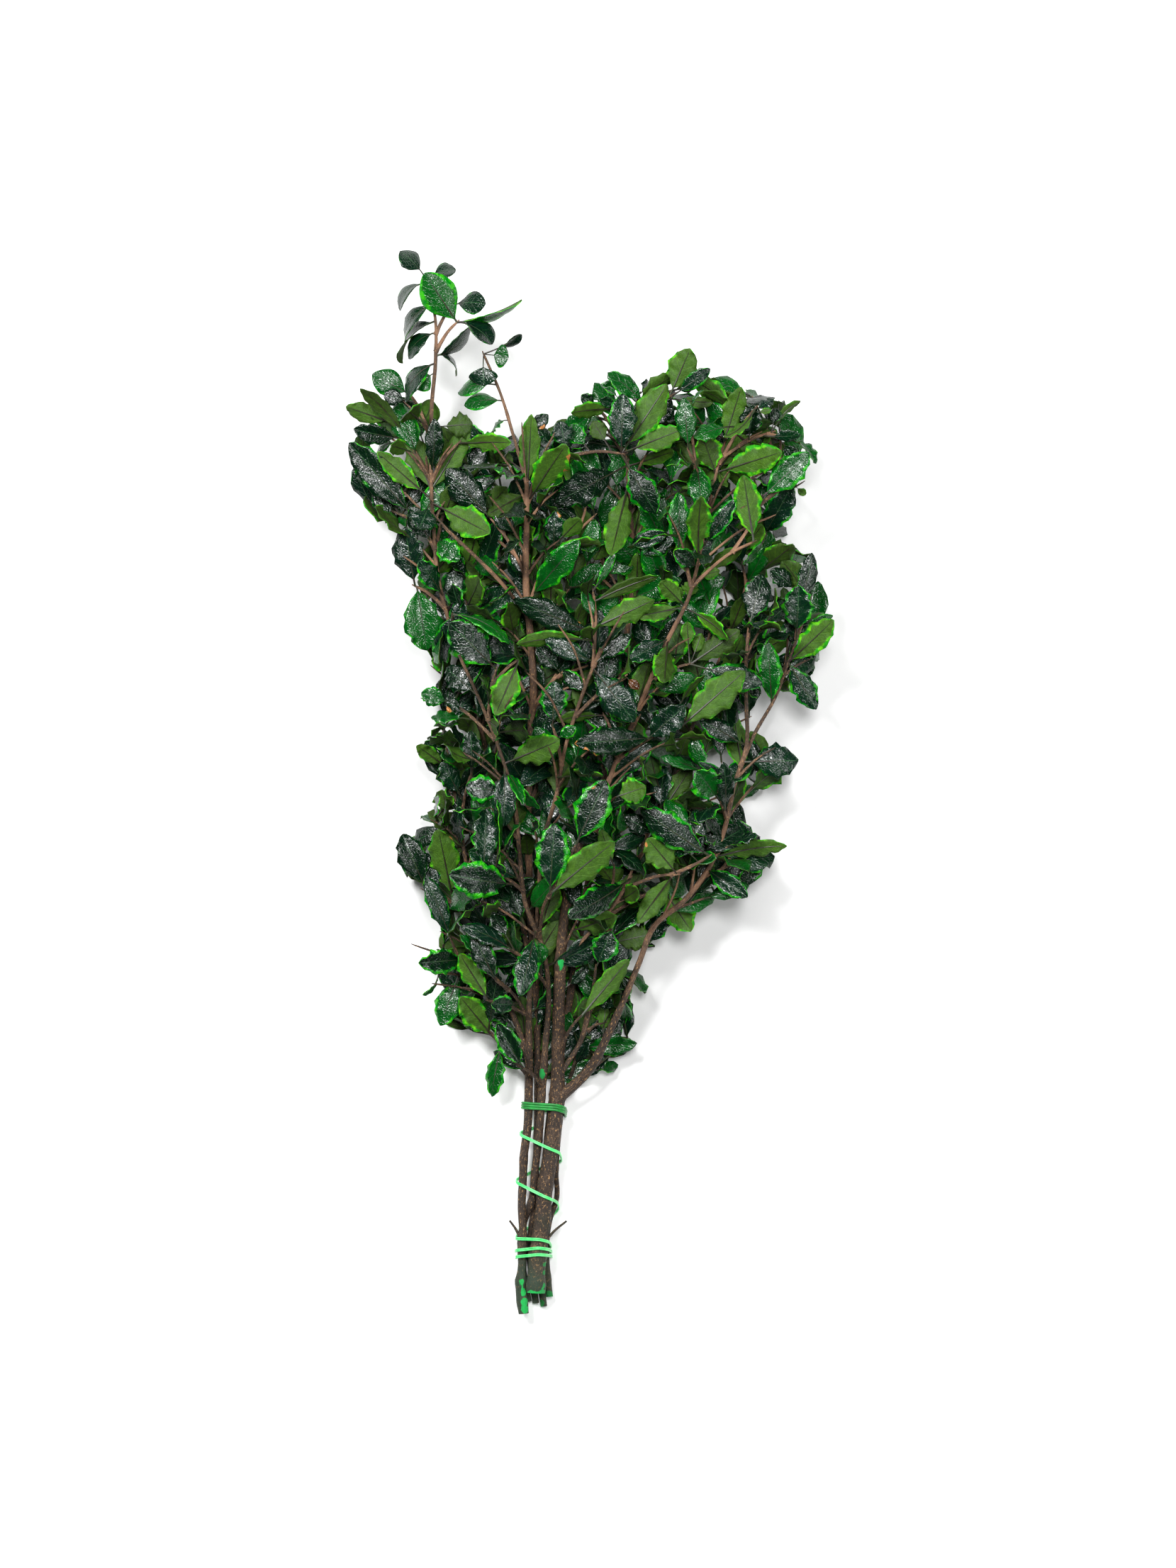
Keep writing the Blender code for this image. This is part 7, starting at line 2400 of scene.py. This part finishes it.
def plan_leaves(wood: Wood, clearance: Clearance) -> LeafPlan:
    """Lays every leaf: the upper ones, the low ones, those of the finer twigs, and those in bare places.

    Args:
        wood: the wood, to which the finer twigs are added.
        clearance: the wood and the ties, which no leaf may cross.

    Returns:
        The leaves.
    """
    plan = LeafPlan(wood, clearance)
    plan.lay_upper()
    plan.grow_by_rule(wood.shoots, LOW_LEAVES, LOW_TRIES, False)
    plan.cover_upper()
    twigs = wood.add_fill_twigs()
    for twig in twigs:
        clearance.add_wood(twig)
    plan.grow_by_rule(twigs, tuple(range(FILL_LEAVES)), FILL_TRIES, True)
    log.info("leaves before the bare places are filled: %d", len(plan.leaves))
    for number in range(FILL_PASSES):
        rows = plan.fill_bare_places(CoverMap(), number)
        wood.carry(leaf_feet(rows), FINE_TWIG_RADIUS)
        plan.lay_fill(rows)
        log.info("leaves after filling bare places: %d", len(plan.leaves))
    log.info("leaves %d, of which upper %d", len(plan.leaves), sum(leaf.is_upper for leaf in plan.leaves))
    return plan


def main() -> None:
    """Builds every piece in order."""
    logging.basicConfig(level=logging.INFO, format="%(message)s")
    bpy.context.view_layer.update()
    wood = Wood()
    routes = TieRoutes(list(wood.shoots))
    solid_upper = routes.solid(UPPER_TIE_TURNS, UPPER_TIE_RADIUS)
    solid_spiral = routes.solid(SPIRAL_TIE_TURNS, SPIRAL_TIE_RADIUS)
    shift = plan_shift(solid_upper, solid_spiral)
    log.info("shift %s", shift.round(3))
    clearance = Clearance(wood.shoots)
    for route, radius in ((solid_upper, UPPER_TIE_RADIUS), (solid_spiral, SPIRAL_TIE_RADIUS)):
        clearance.add(*tube_mesh(route, np.full(len(route), radius)), "tie")
    plan = plan_leaves(wood, clearance)
    blanks = Blanks()
    sides = [UPPER_SIDE.material(), UNDER_SIDE.material()]
    bark = [BarkFinish().material(), CutFinish().material(), StalkFinish().material()]
    for node in STEMS:
        own_leaves = [leaf for leaf in plan.leaves if leaf.node == node]
        own_shoots = [shoot for shoot in wood.shoots if shoot.node == node]
        for piece in (
            Bark(node, own_shoots, own_leaves, shift, blanks).build(bark),
            Foliage(node, own_leaves, shift, blanks).build(sides),
        ):
            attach(piece, "root")
            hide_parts(node)
            log.info("piece %s: %d faces", piece.name, len(piece.data.polygons))
    blanks.clear()
    upper_finish = CordFinish("upper_cord", (0.002, 0.300, 0.034), (0.000, 0.170, 0.016)).material()
    spiral_finish = CordFinish("spiral_cord", (0.180, 0.950, 0.290), (0.060, 0.700, 0.180)).material()
    ties = Ties(routes, shift).build(upper_finish, spiral_finish)
    for piece, node, slot in zip(ties, ("upper_tie", "spiral_tie"), ("upper_cord", "spiral_cord")):
        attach(piece, "root")
        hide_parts(node)
        log.info("piece %s: %d faces", piece.name, len(piece.data.polygons))
    Studio().build()


if __name__ == "__main__":
    main()
